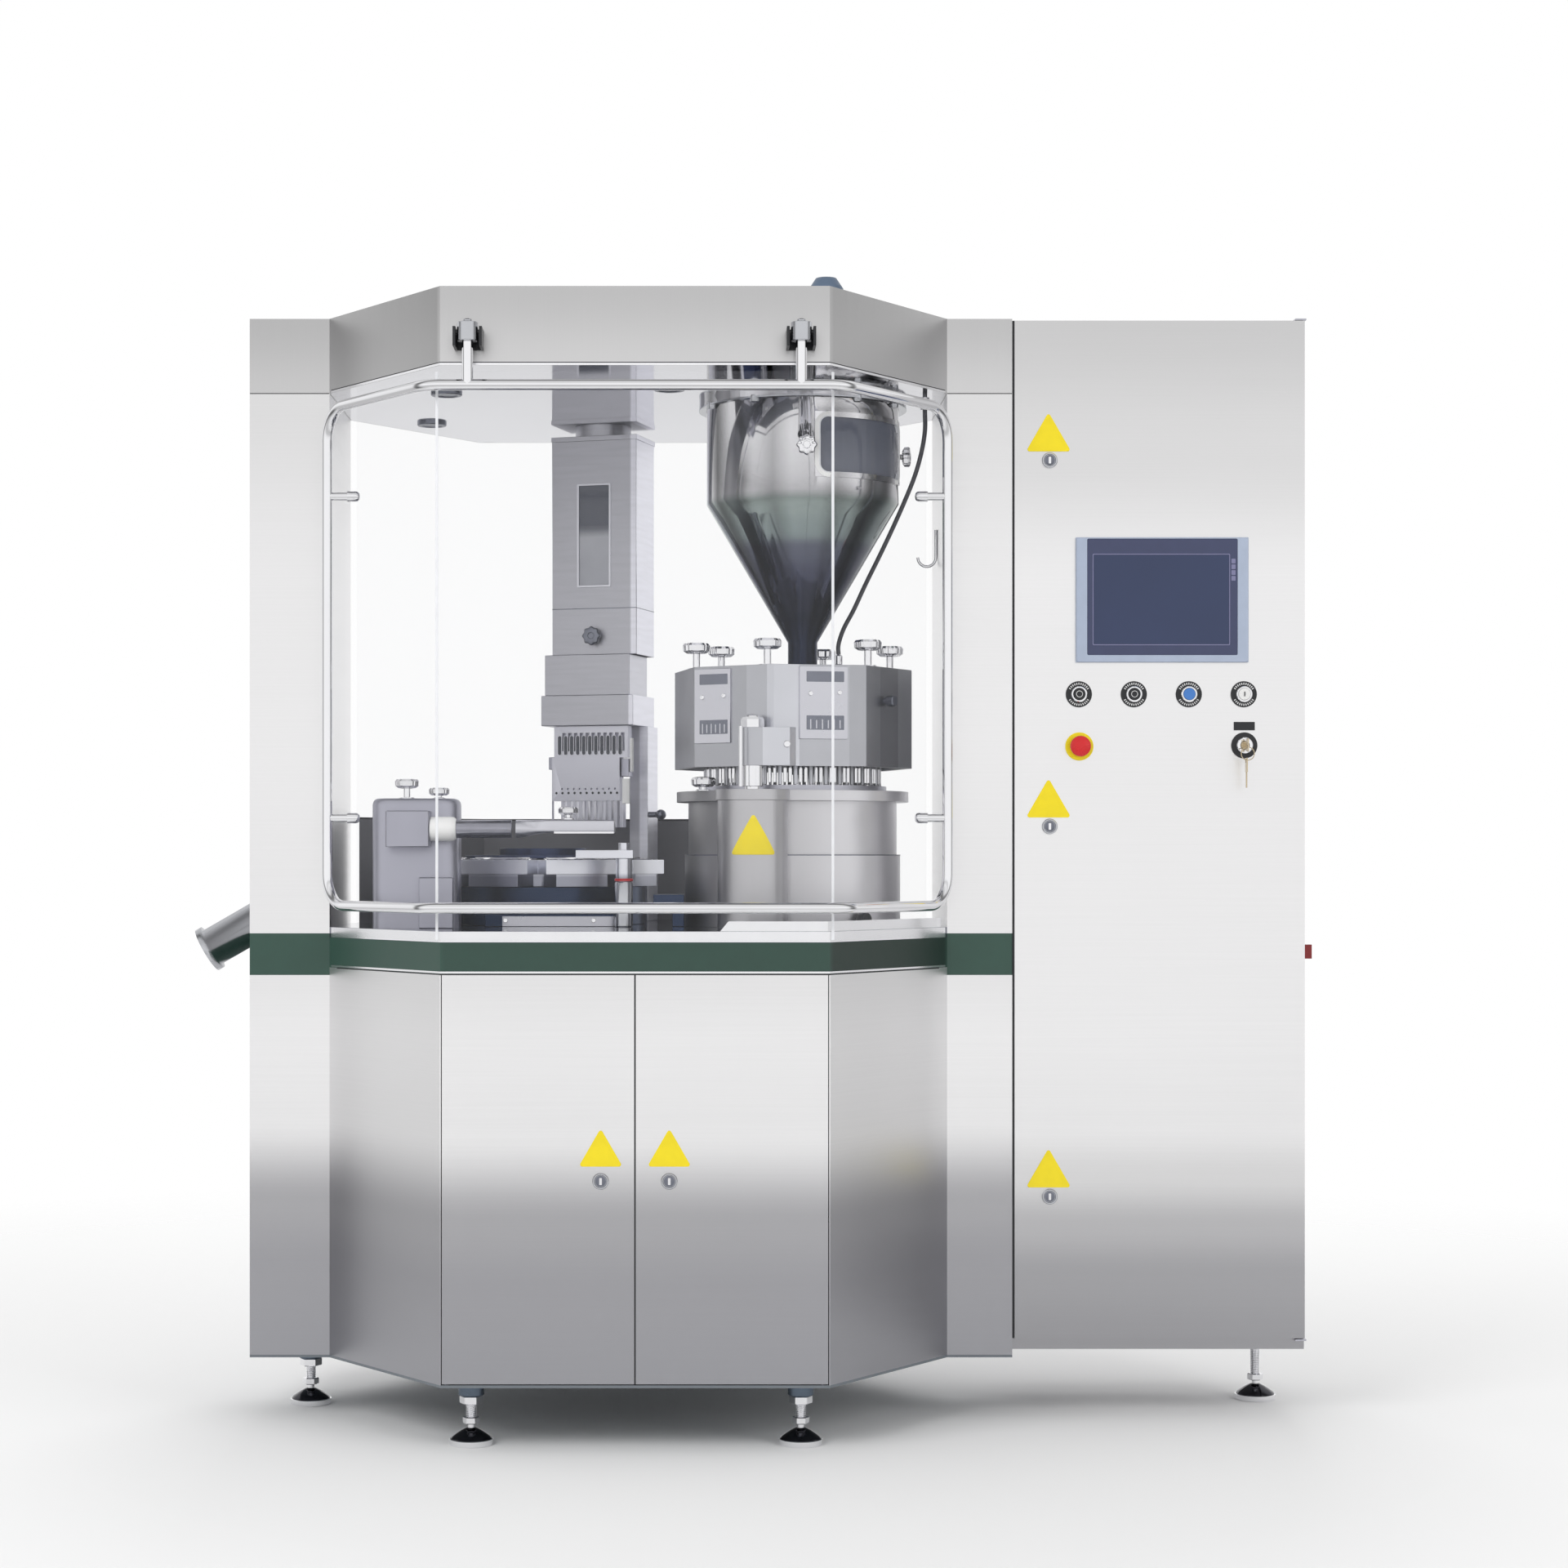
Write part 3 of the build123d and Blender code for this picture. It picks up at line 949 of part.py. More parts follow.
SUCTION_R = 17.0
white_cap = rod_x(cap_x0, cap_x1, SUCTION_Y, SUCTION_Z, CAP_TUBE_R)
tube_x1 = cap_x1 + 124.0
suction = rod_x(cap_x1, tube_x1, SUCTION_Y, SUCTION_Z, SUCTION_R)
NOZZLE_L = 172.0
NOZZLE_W = 100.0
tray_plate = block(tube_x1, tube_x1 + NOZZLE_L, SUCTION_Y - 20.0, SUCTION_Y - 20.0 + NOZZLE_W,
    SUCTION_Z - 8.0, SUCTION_Z + 18.0)
save("ejection_station", house, drive_box, white_cap, suction, tray_plate)

# Dosing station: pot with the front pillar shell, flange, turning disc
PILLAR_R = 15.5
PILLAR_DIP = 80.0  # how deep the head's pillars stand in their guides at rest
PILLAR_ROOM = 12.0  # free depth under them
POT_R = 211.0
POT_UP_R = 204.0
POT_SEAM = 138.0
POT_H = 241.0
POT_WALL = 8.0
FLANGE_R = 227.0
FLANGE_T = 20.0
SHELL_R = 66.0
SHELL_DX = -83.0
SHELL_DY = -234.0
pot = rod_z(DOSE_X, DOSE_Y, DECK, DECK + POT_SEAM, POT_R)
pot += rod_z(DOSE_X, DOSE_Y, DECK + POT_SEAM, DECK + POT_H, POT_UP_R)
pot += rod_z(DOSE_X + SHELL_DX, DOSE_Y + SHELL_DY, DECK, DECK + POT_H, SHELL_R)
pot -= rod_z(DOSE_X, DOSE_Y, DECK, DECK + POT_H, POT_UP_R - POT_WALL)
flange_z = DECK + POT_H
flange_z1 = flange_z + FLANGE_T
guide_z0 = flange_z1 - PILLAR_DIP - PILLAR_ROOM
pot -= rod_z(DOSE_X + SHELL_DX, DOSE_Y + SHELL_DY, guide_z0, flange_z, PILLAR_R + RUN)
flange = rod_z(DOSE_X, DOSE_Y, flange_z, flange_z1, FLANGE_R)
for sign in (1, -1):
    flange += rod_z(DOSE_X + sign * SHELL_DX, DOSE_Y + sign * SHELL_DY, flange_z, flange_z1,
        SHELL_R + 4.0)
for sign in (1, -1):
    flange -= rod_z(DOSE_X + sign * SHELL_DX, DOSE_Y + sign * SHELL_DY, flange_z, flange_z1,
        PILLAR_R + RUN)
flange -= rod_z(DOSE_X, DOSE_Y, flange_z, flange_z1, DOSE_SHAFT_R + SHAFT_CLEAR)
save("dosing_pot", pot, flange)
DISC_R = 184.0
DISC_T = 10.0
PIN_RING_R = 170.0
PIN_COUNT = 36
PIN_R = 4.0
PIN_CLEAR = 0.6
disc_z = flange_z1 + GAP
disc = rod_z(DOSE_X, DOSE_Y, disc_z, disc_z + DISC_T, DISC_R)
pin_spots = []
for i in range(PIN_COUNT):
    turn = radians(360.0 / PIN_COUNT * i)
    pin_spots.append((DOSE_X + PIN_RING_R * cos(turn), DOSE_Y + PIN_RING_R * sin(turn)))
for x, y in pin_spots:
    disc -= rod_z(x, y, disc_z, disc_z + DISC_T, PIN_R + PIN_CLEAR)
disc += rod_z(DOSE_X, DOSE_Y, DECK_Z - HUB_DEPTH + 1.0, disc_z, DOSE_SHAFT_R)
save("dosing_disc", disc)

# Tamping head: eight-sided hood with bosses on the two guide pillars, and its pins
HEAD_APOTHEM = 217.0
HEAD_WALL = 10.0
HEAD_TOP_T = 20.0
HOOD_Z0 = flange_z1 + 45.0
HOOD_H = 192.0
HOOD_TURN = 12.0
PIN_REST = 1.0  # gap between the pins and the disc at rest; the head goes up from here and 4 mm down
hood_z1 = HOOD_Z0 + HOOD_H


def eight_sided(apothem, z0, z1):
    """Regular eight-sided prism about the dosing axis."""
    corner = apothem / cos(pi / 8)
    turn = radians(HOOD_TURN - 90.0 + 22.5)
    ring = [(DOSE_X + corner * cos(turn + i * pi / 4),
        DOSE_Y + corner * sin(turn + i * pi / 4)) for i in range(8)]
    return prism(ring, z0, z1)


PILLAR_NUT = 38.0
BOSS_H = 72.0
BOSS_HALF = 24.0
BOSS_REACH = 81.0  # from the pillar's axis to the boss's far end
hood = eight_sided(HEAD_APOTHEM, HOOD_Z0, hood_z1)
for sign in (1, -1):
    bx = DOSE_X + sign * SHELL_DX
    by = DOSE_Y + sign * SHELL_DY
    near_x = bx - sign * BOSS_HALF
    far_x = bx + sign * BOSS_REACH
    hood += block(min(near_x, far_x), max(near_x, far_x), by - BOSS_HALF, by + BOSS_HALF, HOOD_Z0,
        HOOD_Z0 + BOSS_H)
hood -= eight_sided(HEAD_APOTHEM - HEAD_WALL, HOOD_Z0, hood_z1 - HEAD_TOP_T)
NECK_HOPPER_R = 29.0
PROBE_X = 394.0
PROBE_Y = 520.0
PROBE_R = 6.0
hood -= rod_z(HOPPER_X, HOPPER_Y, hood_z1 - HEAD_TOP_T, hood_z1, NECK_HOPPER_R + 5.0)
hood -= rod_z(PROBE_X, PROBE_Y, hood_z1 - HEAD_TOP_T, hood_z1, GLAND_R + 3.0)
for sign in (1, -1):
    hood -= rod_z(DOSE_X + sign * SHELL_DX, DOSE_Y + sign * SHELL_DY, HOOD_Z0, HOOD_Z0 + BOSS_H, PILLAR_R)
HOLDER_T = 24.0
pin_z0 = disc_z + DISC_T + PIN_REST
holder_z0 = HOOD_Z0 + 40.0
holder = rod_z(DOSE_X, DOSE_Y, holder_z0, holder_z0 + HOLDER_T, PIN_RING_R + 20.0)
holder -= rod_z(DOSE_X, DOSE_Y, holder_z0, holder_z0 + HOLDER_T, PIN_RING_R - 20.0)
for x, y in pin_spots:
    holder += rod_z(x, y, pin_z0, holder_z0, PIN_R)
for i in range(4):
    turn = radians(45.0 + 90.0 * i)
    x = DOSE_X + PIN_RING_R * cos(turn)
    y = DOSE_Y + PIN_RING_R * sin(turn)
    holder += rod_z(x, y, holder_z0 + HOLDER_T, hood_z1 - HEAD_TOP_T, 10.0)
save("tamping_head", hood, holder)
SLEEVE_R = 21.0
SLEEVE_LIFT = 6.0  # free height under the sleeves at rest, more than the head's way down
pillars = []
for sign in (1, -1):
    x = DOSE_X + sign * SHELL_DX
    y = DOSE_Y + sign * SHELL_DY
    nut_z = HOOD_Z0 + BOSS_H
    pillar = rod_z(x, y, flange_z1 - PILLAR_DIP, nut_z, PILLAR_R)
    pillar += rod_z(x, y, flange_z1 + SLEEVE_LIFT, HOOD_Z0, SLEEVE_R)
    pillars.append(pillar + hex_z(x, y, nut_z, nut_z + 20.0, PILLAR_NUT))
save("guide_pillars", *pillars)
knobs = []
for angle, away in ((198, 198), (166, 143), (254, 196), (60, 130), (313, 204), (7, 194)):
    turn = radians(angle)
    knobs.append(star_knob(DOSE_X + away * cos(turn), DOSE_Y + away * sin(turn), hood_z1, 27.0, 38.0))
save("head_knobs", *knobs)

# Hopper: flanged bowl, cone and neck, hung from the ceiling
HOP_R = 188.0
HOP_RIM_R = 203.0
HOP_WALL = 3.0
hop_room = HEAD_Z - hood_z1
HOP_CYL_H = hop_room * 0.379
HOP_CONE_H = hop_room * 0.514
RIM_T = 14.0
cyl_z0 = HEAD_Z - HOP_CYL_H
cone_z0 = cyl_z0 - HOP_CONE_H
neck_z0 = HOOD_Z0 - 10.0
outer_pts = [(NECK_HOPPER_R, neck_z0), (NECK_HOPPER_R, cone_z0), (HOP_R, cyl_z0),
    (HOP_R, HEAD_Z - RIM_T), (HOP_RIM_R, HEAD_Z - RIM_T), (HOP_RIM_R, HEAD_Z)]
inner_pts = [(HOP_R - HOP_WALL, HEAD_Z), (HOP_R - HOP_WALL, cyl_z0), (NECK_HOPPER_R - HOP_WALL, cone_z0),
    (NECK_HOPPER_R - HOP_WALL, neck_z0)]
profile = make_face(Polyline(*[(r, 0, z) for r, z in outer_pts + inner_pts], close=True))
hopper = Pos(HOPPER_X, HOPPER_Y, 0) * revolve(profile, axis=Axis.Z)
SIGHT_Z0 = HEAD_Z - 157.0
SIGHT_H = 104.0
SIGHT_A0 = -82.0
SIGHT_A1 = -18.0


def sector(r0, r1, a0, a1, z0, z1):
    """Part of a round wall about the hopper's axis, between two angles."""
    half_turn = (a1 - a0) / 2
    ring_part = rod_z(0, 0, z0, z1, r1) - rod_z(0, 0, z0, z1, r0)
    far = r1 * 2
    wedge = prism([(0, 0), (far * cos(radians(-half_turn)), far * sin(radians(-half_turn))),
        (far * cos(radians(half_turn)), far * sin(radians(half_turn)))], z0, z1)
    return Pos(HOPPER_X, HOPPER_Y, 0) * Rot(0, 0, (a0 + a1) / 2) * (ring_part & wedge)


sight = sector(HOP_R - HOP_WALL, HOP_R, SIGHT_A0, SIGHT_A1, SIGHT_Z0, SIGHT_Z0 + SIGHT_H)
hopper -= sector(HOP_R - HOP_WALL - 1, HOP_R + 1, SIGHT_A0, SIGHT_A1, SIGHT_Z0, SIGHT_Z0 + SIGHT_H)
FRAME_W = 10.0
FRAME_A = FRAME_W / HOP_R * 180 / pi
frame_ring = sector(HOP_R, HOP_R + 5.0, SIGHT_A0 - FRAME_A, SIGHT_A1 + FRAME_A, SIGHT_Z0 - FRAME_W,
    SIGHT_Z0 + SIGHT_H + FRAME_W)
frame_ring -= sector(HOP_R - 1, HOP_R + 6.0, SIGHT_A0, SIGHT_A1, SIGHT_Z0, SIGHT_Z0 + SIGHT_H)
save("hopper", hopper, frame_ring)
mag_pane = feeder_place * block(-WIN_W / 2 - 4, WIN_W / 2 + 4, SHEET_T, SHEET_T + PANE_T, WIN_Z0 - 4,
    WIN_Z0 + WIN_H + 4)
save("sight_glasses", sight, mag_pane)

# Stirrer and its drive on the roof
drive_z = HEAD_Z + CEILING_T
stir_gear = block(HOPPER_X - 45.0, AUGER_MOTOR_X + 40.0, HOPPER_Y - 45.0, HOPPER_Y + 45.0, drive_z,
    drive_z + 70.0)
stir_gear -= rod_z(HOPPER_X, HOPPER_Y, drive_z, drive_z + 40.0, STIRRER_R + RUN)
motor_top = TOP_Z + 103.0
stir_motor = rod_z(AUGER_MOTOR_X, HOPPER_Y, drive_z + 70.0, motor_top - AUGER_MOTOR_R * 0.6,
    AUGER_MOTOR_R)
stir_motor += Pos(AUGER_MOTOR_X, HOPPER_Y, motor_top - AUGER_MOTOR_R * 0.3) * Cone(AUGER_MOTOR_R,
    AUGER_MOTOR_R * 0.6, AUGER_MOTOR_R * 0.6)
save("stirrer_drive", stir_gear, stir_motor)
stirrer = rod_z(HOPPER_X, HOPPER_Y, neck_z0 + 10.0, drive_z + 38.0, STIRRER_R)
for z, length, turn in ((cyl_z0 + 60.0, 320.0, 0.0), (cyl_z0 - 20.0, 240.0, 60.0),
    (cyl_z0 - 110.0, 150.0, 120.0)):
    stirrer += Pos(HOPPER_X, HOPPER_Y, z) * Rot(0, 0, turn) * Box(length, 10.0, 10.0)
save("stirrer", stirrer)

# Fixed hand knobs on the ejection housing, nozzle, flange, magazine and hopper window
statics = [
    star_knob(HOUSE_X - 18.0, HOUSE_Y0 + 40.0, DECK + HOUSE_H, 23.0, 26.0),
    star_knob(HOUSE_X + 40.0, HOUSE_Y0 + 75.0, DECK + HOUSE_H, 20.0, 12.0),
    star_knob(tube_x1 + 85.0, SUCTION_Y + 20.0, SUCTION_Z + 18.0, 19.0, 14.0),
    star_knob(DOSE_X - 175.0, DOSE_Y - 140.0, flange_z1, 24.0, 14.0),
]
mag_knob = Pos(0, 0, MAG_Z0 + 38.0) * Rot(90, 0, 0) * star_knob(0, 0, 0, 20.0, 12.0, 8)
statics.append(feeder_place * mag_knob)
SIGHT_KNOB_A = FRAME_A + 5.0
for angle in (SIGHT_A0 - SIGHT_KNOB_A, SIGHT_A1 + SIGHT_KNOB_A):
    away = Rot(0, 0, angle) * Pos(HOP_R, 0, SIGHT_Z0 + SIGHT_H / 2 - 4.0) * Rot(0, 90, 0)
    stub = Pos(0, 0, -1.5) * rod_z(0, 0, 0, 6.0, 6.0)
    knob = star_knob(0, 0, 2.0, 20.0, 14.0, 8)
    both = Pos(HOPPER_X, HOPPER_Y, 0) * away * (knob + stub)
    statics.append(both - rod_z(HOPPER_X, HOPPER_Y, SIGHT_Z0 - 60, SIGHT_Z0 + SIGHT_H + 60, HOP_R))

# Sensor cable from the ceiling to the level probe, the probe, hook and ceiling lamps
PROBE_Z1 = hood_z1 + 38.0
probe = rod_z(PROBE_X, PROBE_Y, flange_z1 + GAP + DISC_T + 4.0, PROBE_Z1 - 20.0, PROBE_R)
probe += rod_z(PROBE_X, PROBE_Y, PROBE_Z1 - 20.0, PROBE_Z1, GLAND_R)
top_gland = rod_z(CABLE_TOP[0], CABLE_TOP[1], HEAD_Z - 12.0, HEAD_Z, GLAND_R)
HOOK_Z = 1710.0
HOOK_Y = 540.0
HOOK_R = 18.0
hook = rod_z(SIDE_HALF - 3.0, HOOK_Y, HOOK_Z - 34.0, HOOK_Z + 21.0, 3.0)
hook_bow = Pos(SIDE_HALF - 3.0 - HOOK_R, HOOK_Y, HOOK_Z - 34.0) * Rot(90, 0, 0) * Torus(HOOK_R, 3.0)
hook += hook_bow & block(SIDE_HALF - 60.0, SIDE_HALF, HOOK_Y - 10.0, HOOK_Y + 10.0, HOOK_Z - 80.0,
    HOOK_Z - 34.0)
lamps = [rod_z(x, y, HEAD_Z - LAMP_H, HEAD_Z, LAMP_R) for x, y in LAMPS]
save("inner_fittings", *statics, probe, top_gland, hook, *lamps)

CABLE_POINTS = [
    (560.0, 450.0, HEAD_Z - 12.0), (560.0, 450.0, 1915.0), (553.0, 452.0, 1872.0), (540.0, 457.0, 1826.0),
    (520.0, 465.0, 1776.0), (497.0, 476.0, 1724.0), (473.0, 488.0, 1673.0), (447.0, 502.0, 1620.0),
    (424.0, 511.0, 1570.0), (404.0, 518.0, 1532.0), (PROBE_X, PROBE_Y, PROBE_Z1 + 20.0), (PROBE_X,
        PROBE_Y, PROBE_Z1),
]


def corner_radii(points):
    """Largest arc at each corner: 0.45 of the shorter run over the tangent of half the turn."""
    radii = []
    for a, b, c in zip(points, points[1:], points[2:]):
        run_in = Vector(*b) - Vector(*a)
        run_out = Vector(*c) - Vector(*b)
        turn = radians(run_in.get_angle(run_out))
        shorter = min(run_in.length, run_out.length)
        radii.append(0.45 * shorter * cos(turn / 2) / sin(turn / 2))
    return radii


radii = corner_radii(CABLE_POINTS)
cable_path = FilletPolyline(*CABLE_POINTS, radius=radii)
cable_start = Plane(origin=cable_path @ 0, z_dir=cable_path % 0)
cable = sweep(cable_start * Circle(CABLE_R), path=cable_path)
print("cable length", round(cable_path.length), "volume ratio",
    cable.volume / (pi * CABLE_R**2 * cable_path.length))
print("cable radii", [round(r) for r in radii])
save("sensor_cable", cable)
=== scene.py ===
# %% [markdown]
# # A capsule filling machine, dressed
# The CAD part gives every rigid piece its place and its main form. This lesson adds
# what a photographer would see: brushed and polished steel, clear sheet, printed and
# moulded plastic, turned knobs, and soft studio light. Lengths on a drawing of the
# machine are in millimetres from the middle of its front facet, so one small function
# turns a drawing point into a point of the row frame in metres.

import json

import bmesh
import bpy
import numpy as np
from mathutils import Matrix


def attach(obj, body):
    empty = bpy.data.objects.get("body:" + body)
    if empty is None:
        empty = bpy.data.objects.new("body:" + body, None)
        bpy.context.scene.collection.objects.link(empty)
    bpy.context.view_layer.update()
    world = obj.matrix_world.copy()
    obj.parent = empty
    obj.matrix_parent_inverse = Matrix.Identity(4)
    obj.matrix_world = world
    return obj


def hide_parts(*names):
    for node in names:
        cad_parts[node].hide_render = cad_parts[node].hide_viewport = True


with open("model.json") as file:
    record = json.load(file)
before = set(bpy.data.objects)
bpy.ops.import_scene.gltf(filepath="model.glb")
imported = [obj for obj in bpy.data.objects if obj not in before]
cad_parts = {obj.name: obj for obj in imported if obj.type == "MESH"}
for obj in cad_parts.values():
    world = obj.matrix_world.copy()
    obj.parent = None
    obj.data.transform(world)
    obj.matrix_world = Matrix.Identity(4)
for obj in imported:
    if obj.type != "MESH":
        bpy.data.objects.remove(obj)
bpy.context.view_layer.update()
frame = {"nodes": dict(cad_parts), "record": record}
nodes = frame["nodes"]
FACET_MIDDLE = np.array([-240.0, -460.0, 0.0])  # drawing origin in the row frame, mm


def place(points):
    """Row-frame metres of drawing points in millimetres: add the facet's middle, divide by 1000."""
    return (np.asarray(points, float) + FACET_MIDDLE) / 1000.0


# %% [markdown]
# ## Camera
# The photograph was taken square to the front from a little over five metres, at the
# height of the work. The machine stands left of and above the lens axis, so the camera
# keeps level and the sensor is shifted instead of the camera being turned. That keeps
# upright edges upright.

# %% Camera
LENS_X = 104.0
LENS_HEIGHT = 1083.0
LENS_AWAY = 5200.0
MM_PER_PIXEL = 1.475
PHOTO_PIXELS = 1920
AXIS_PIXEL = (848, 1047)

camera_data = bpy.data.cameras.new("camera")
camera = bpy.data.objects.new("camera", camera_data)
bpy.context.scene.collection.objects.link(camera)
bpy.context.scene.camera = camera
camera.location = place([LENS_X, -LENS_AWAY, LENS_HEIGHT])
camera.rotation_euler = (np.pi / 2, 0, 0)
camera_data.sensor_width = 36.0
camera_data.lens = 36.0 * LENS_AWAY / (MM_PER_PIXEL * PHOTO_PIXELS)
camera_data.shift_x = (PHOTO_PIXELS / 2 - AXIS_PIXEL[0]) / PHOTO_PIXELS
camera_data.shift_y = (AXIS_PIXEL[1] - PHOTO_PIXELS / 2) / PHOTO_PIXELS
print("camera lens", round(camera_data.lens, 2), "mm")
bpy.context.scene.view_settings.view_transform = "Standard"

# %% [markdown]
# ## Sensor cable
# A level probe in the powder housing is wired to the ceiling. The cable hangs in one
# lazy curve. A smooth curve through the points that the CAD cable follows, with a round
# bevel, gives it the real length and thickness.

# %% Cable
cable_points = place([
    (560, 450, 1956), (560, 450, 1915), (553, 452, 1872), (540, 457, 1826), (520, 465, 1776),
    (497, 476, 1724), (473, 488, 1673), (447, 502, 1620), (424, 511, 1570), (404, 518, 1532),
    (394, 520, 1501), (394, 520, 1481),
])
CABLE_THICK = 0.009


def smooth_line(points, per_run=8):
    """Catmull-Rom line: each run is a cubic through its two ends, steered by its neighbours."""
    p = np.vstack([2 * points[0] - points[1], points, 2 * points[-1] - points[-2]])
    a, b, c, d = p[:-3, None], p[1:-2, None], p[2:-1, None], p[3:, None]
    t = np.linspace(0, 1, per_run, endpoint=False)[None, :, None]
    runs = 0.5 * (2 * b + (c - a) * t + (2 * a - 5 * b + 4 * c - d) * t**2 + (3 * b - a - 3 * c + d)
                  * t**3)
    return np.vstack([runs.reshape(-1, 3), points[-1]])


cable_line = smooth_line(cable_points)
cable_curve = bpy.data.curves.new("sensor_cable", "CURVE")
cable_curve.dimensions = "3D"
spline = cable_curve.splines.new("POLY")
spline.points.add(len(cable_line) - 1)
spline.points.foreach_set("co", np.column_stack([cable_line, np.ones(len(cable_line))]).ravel())
cable_curve.bevel_depth = CABLE_THICK / 2
cable_curve.bevel_resolution = 4
cable_curve.use_fill_caps = True
cable = bpy.data.objects.new("sensor_cable_line", cable_curve)
bpy.context.scene.collection.objects.link(cable)
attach(cable, "frame")
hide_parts("sensor_cable")

# %% [markdown]
# ## Light
# The photograph is a bright studio one: white all round, with soft shade. The world is
# white where the camera looks straight at it or through clear sheet. What metal mirrors
# is a studio as well, bright in front and behind, and dim to the left and right and far
# overhead. The dim parts draw the dark contour lines along polished tubes.

# %% World
world = bpy.data.worlds.new("studio")
bpy.context.scene.world = world
world.use_nodes = True
net = world.node_tree
net.nodes.clear()


def wire(tree, kind, inputs=None, **settings):
    """New node of a kind with its settings; inputs maps a socket to a value or to another socket."""
    node = tree.nodes.new(kind)
    for key, value in settings.items():
        setattr(node, key, value)
    for key, value in (inputs or {}).items():
        if isinstance(value, bpy.types.NodeSocket):
            tree.links.new(value, node.inputs[key])
        else:
            node.inputs[key].default_value = value
    return node


def ramp(tree, factor, stops, mode="LINEAR"):
    """Colour ramp over a factor; stops are (place, grey or colour)."""
    node = wire(tree, "ShaderNodeValToRGB", {"Fac": factor})
    node.color_ramp.interpolation = mode
    colours = node.color_ramp.elements
    while len(colours) < len(stops):
        colours.new(0.5)
    for element, (at, value) in zip(colours, stops):
        element.position = at
        grey = (value, value, value) if np.isscalar(value) else tuple(value)
        element.color = (*grey, 1)
    return node.outputs["Color"]


direction = wire(net, "ShaderNodeTexCoord").outputs["Generated"]
apart = wire(net, "ShaderNodeSeparateXYZ", {"Vector": direction})
height = wire(net, "ShaderNodeMapRange",
              {"Value": apart.outputs["Z"], "From Min": -1.0, "From Max": 1.0})
by_height = ramp(net, height.outputs["Result"],
                 [(0.0, 0.45), (0.38, 0.62), (0.46, 0.92), (0.52, 1.0), (0.68, 1.0), (0.76, 0.70),
                  (0.86, 0.90), (1.0, 0.62),])
front_or_back = wire(net, "ShaderNodeMath", {0: apart.outputs["Y"]}, operation="ABSOLUTE")
by_side = ramp(net, front_or_back.outputs[0], [(0.0, 0.22), (0.12, 0.35), (0.28, 0.86), (0.45, 1.0)])
mirrored = wire(net, "ShaderNodeVectorMath", {0: by_height, 1: by_side},
                operation="MULTIPLY").outputs[0]
rays = wire(net, "ShaderNodeLightPath")
straight = wire(net, "ShaderNodeMath", {0: rays.outputs["Is Camera Ray"],
                                        1: rays.outputs["Is Transmission Ray"]}, operation="MAXIMUM")
diffuse_sky = wire(net, "ShaderNodeBackground", {"Color": (1, 1, 1, 1), "Strength": 0.62})
mirror_sky = wire(net, "ShaderNodeBackground", {"Color": mirrored, "Strength": 1.0})
white_sky = wire(net, "ShaderNodeBackground", {"Color": (1, 1, 1, 1), "Strength": 1.0})
sky = wire(net, "ShaderNodeMixShader", {0: rays.outputs["Is Glossy Ray"], 1: diffuse_sky.outputs[0],
                                         2: mirror_sky.outputs[0]})
sky = wire(net, "ShaderNodeMixShader",
           {0: straight.outputs[0], 1: sky.outputs[0], 2: white_sky.outputs[0]})
wire(net, "ShaderNodeOutputWorld", {"Surface": sky.outputs[0]})


def soft_box(name, spot, aim, size, watts):
    """Square area lamp at a row-frame point, turned to face another point."""
    lamp = bpy.data.lights.new(name, "AREA")
    lamp.shape = "RECTANGLE"
    lamp.size, lamp.size_y = size
    lamp.energy = watts
    holder = bpy.data.objects.new(name, lamp)
    bpy.context.scene.collection.objects.link(holder)
    holder.location = spot
    away = np.array(spot, float) - np.array(aim, float)
    yaw = np.arctan2(away[0], -away[1])
    pitch = np.arctan2(np.hypot(away[0], away[1]), away[2])
    holder.rotation_euler = (pitch, 0, yaw)
    holder.visible_glossy = False
    return holder


soft_box("key_box", (-3.2, -4.2, 3.6), (0, 0, 1.1), (3.2, 2.4), 120)
soft_box("fill_box", (3.8, -3.6, 2.4), (0, 0, 1.1), (2.4, 2.8), 60)
soft_box("rear_box", (0.5, 4.5, 3.4), (0, 0, 1.2), (3.4, 2.0), 80)

# %% Floor
FLOOR_REACH = 4.5
turn = np.linspace(0, 2 * np.pi, 96, endpoint=False)
rim = np.column_stack([FLOOR_REACH * np.cos(turn), FLOOR_REACH * np.sin(turn), np.full(96, -0.0005)])
floor_mesh = bpy.data.meshes.new("floor")
floor_mesh.from_pydata(rim.tolist(), [], [list(range(96))])
floor = bpy.data.objects.new("floor", floor_mesh)
bpy.context.scene.collection.objects.link(floor)
paint = bpy.data.materials.new("floor_paint")
paint.use_nodes = True
net = paint.node_tree
net.nodes.clear()
spot = wire(net, "ShaderNodeTexCoord").outputs["Object"]
away = wire(net, "ShaderNodeVectorMath", {0: spot}, operation="LENGTH").outputs["Value"]
fade = wire(net, "ShaderNodeMapRange",
            {"Value": away, "From Min": 1.3, "From Max": 4.0}).outputs["Result"]
solid = wire(net, "ShaderNodeBsdfDiffuse", {"Color": (0.97, 0.97, 0.97, 1)})
clear = wire(net, "ShaderNodeBsdfTransparent")
both = wire(net, "ShaderNodeMixShader", {0: fade, 1: solid.outputs[0], 2: clear.outputs[0]})
wire(net, "ShaderNodeOutputMaterial", {"Surface": both.outputs[0]})
floor_mesh.materials.append(paint)
print("floor", FLOOR_REACH, "m")

# %% [markdown]
# ## Finishes
# Sheet steel on such a machine is satin brushed: it mirrors the room only as a soft
# wash, lighter at eye level and darker towards the floor. That wash is a painted
# reflection: a ramp over the height in the object's own coordinates paints it into the
# base colour, a stretched noise gives the brush lines, and the shader stays a plain metal
# one, so that it looks right from any side.

# %% Finish helpers
TALL = 2.2


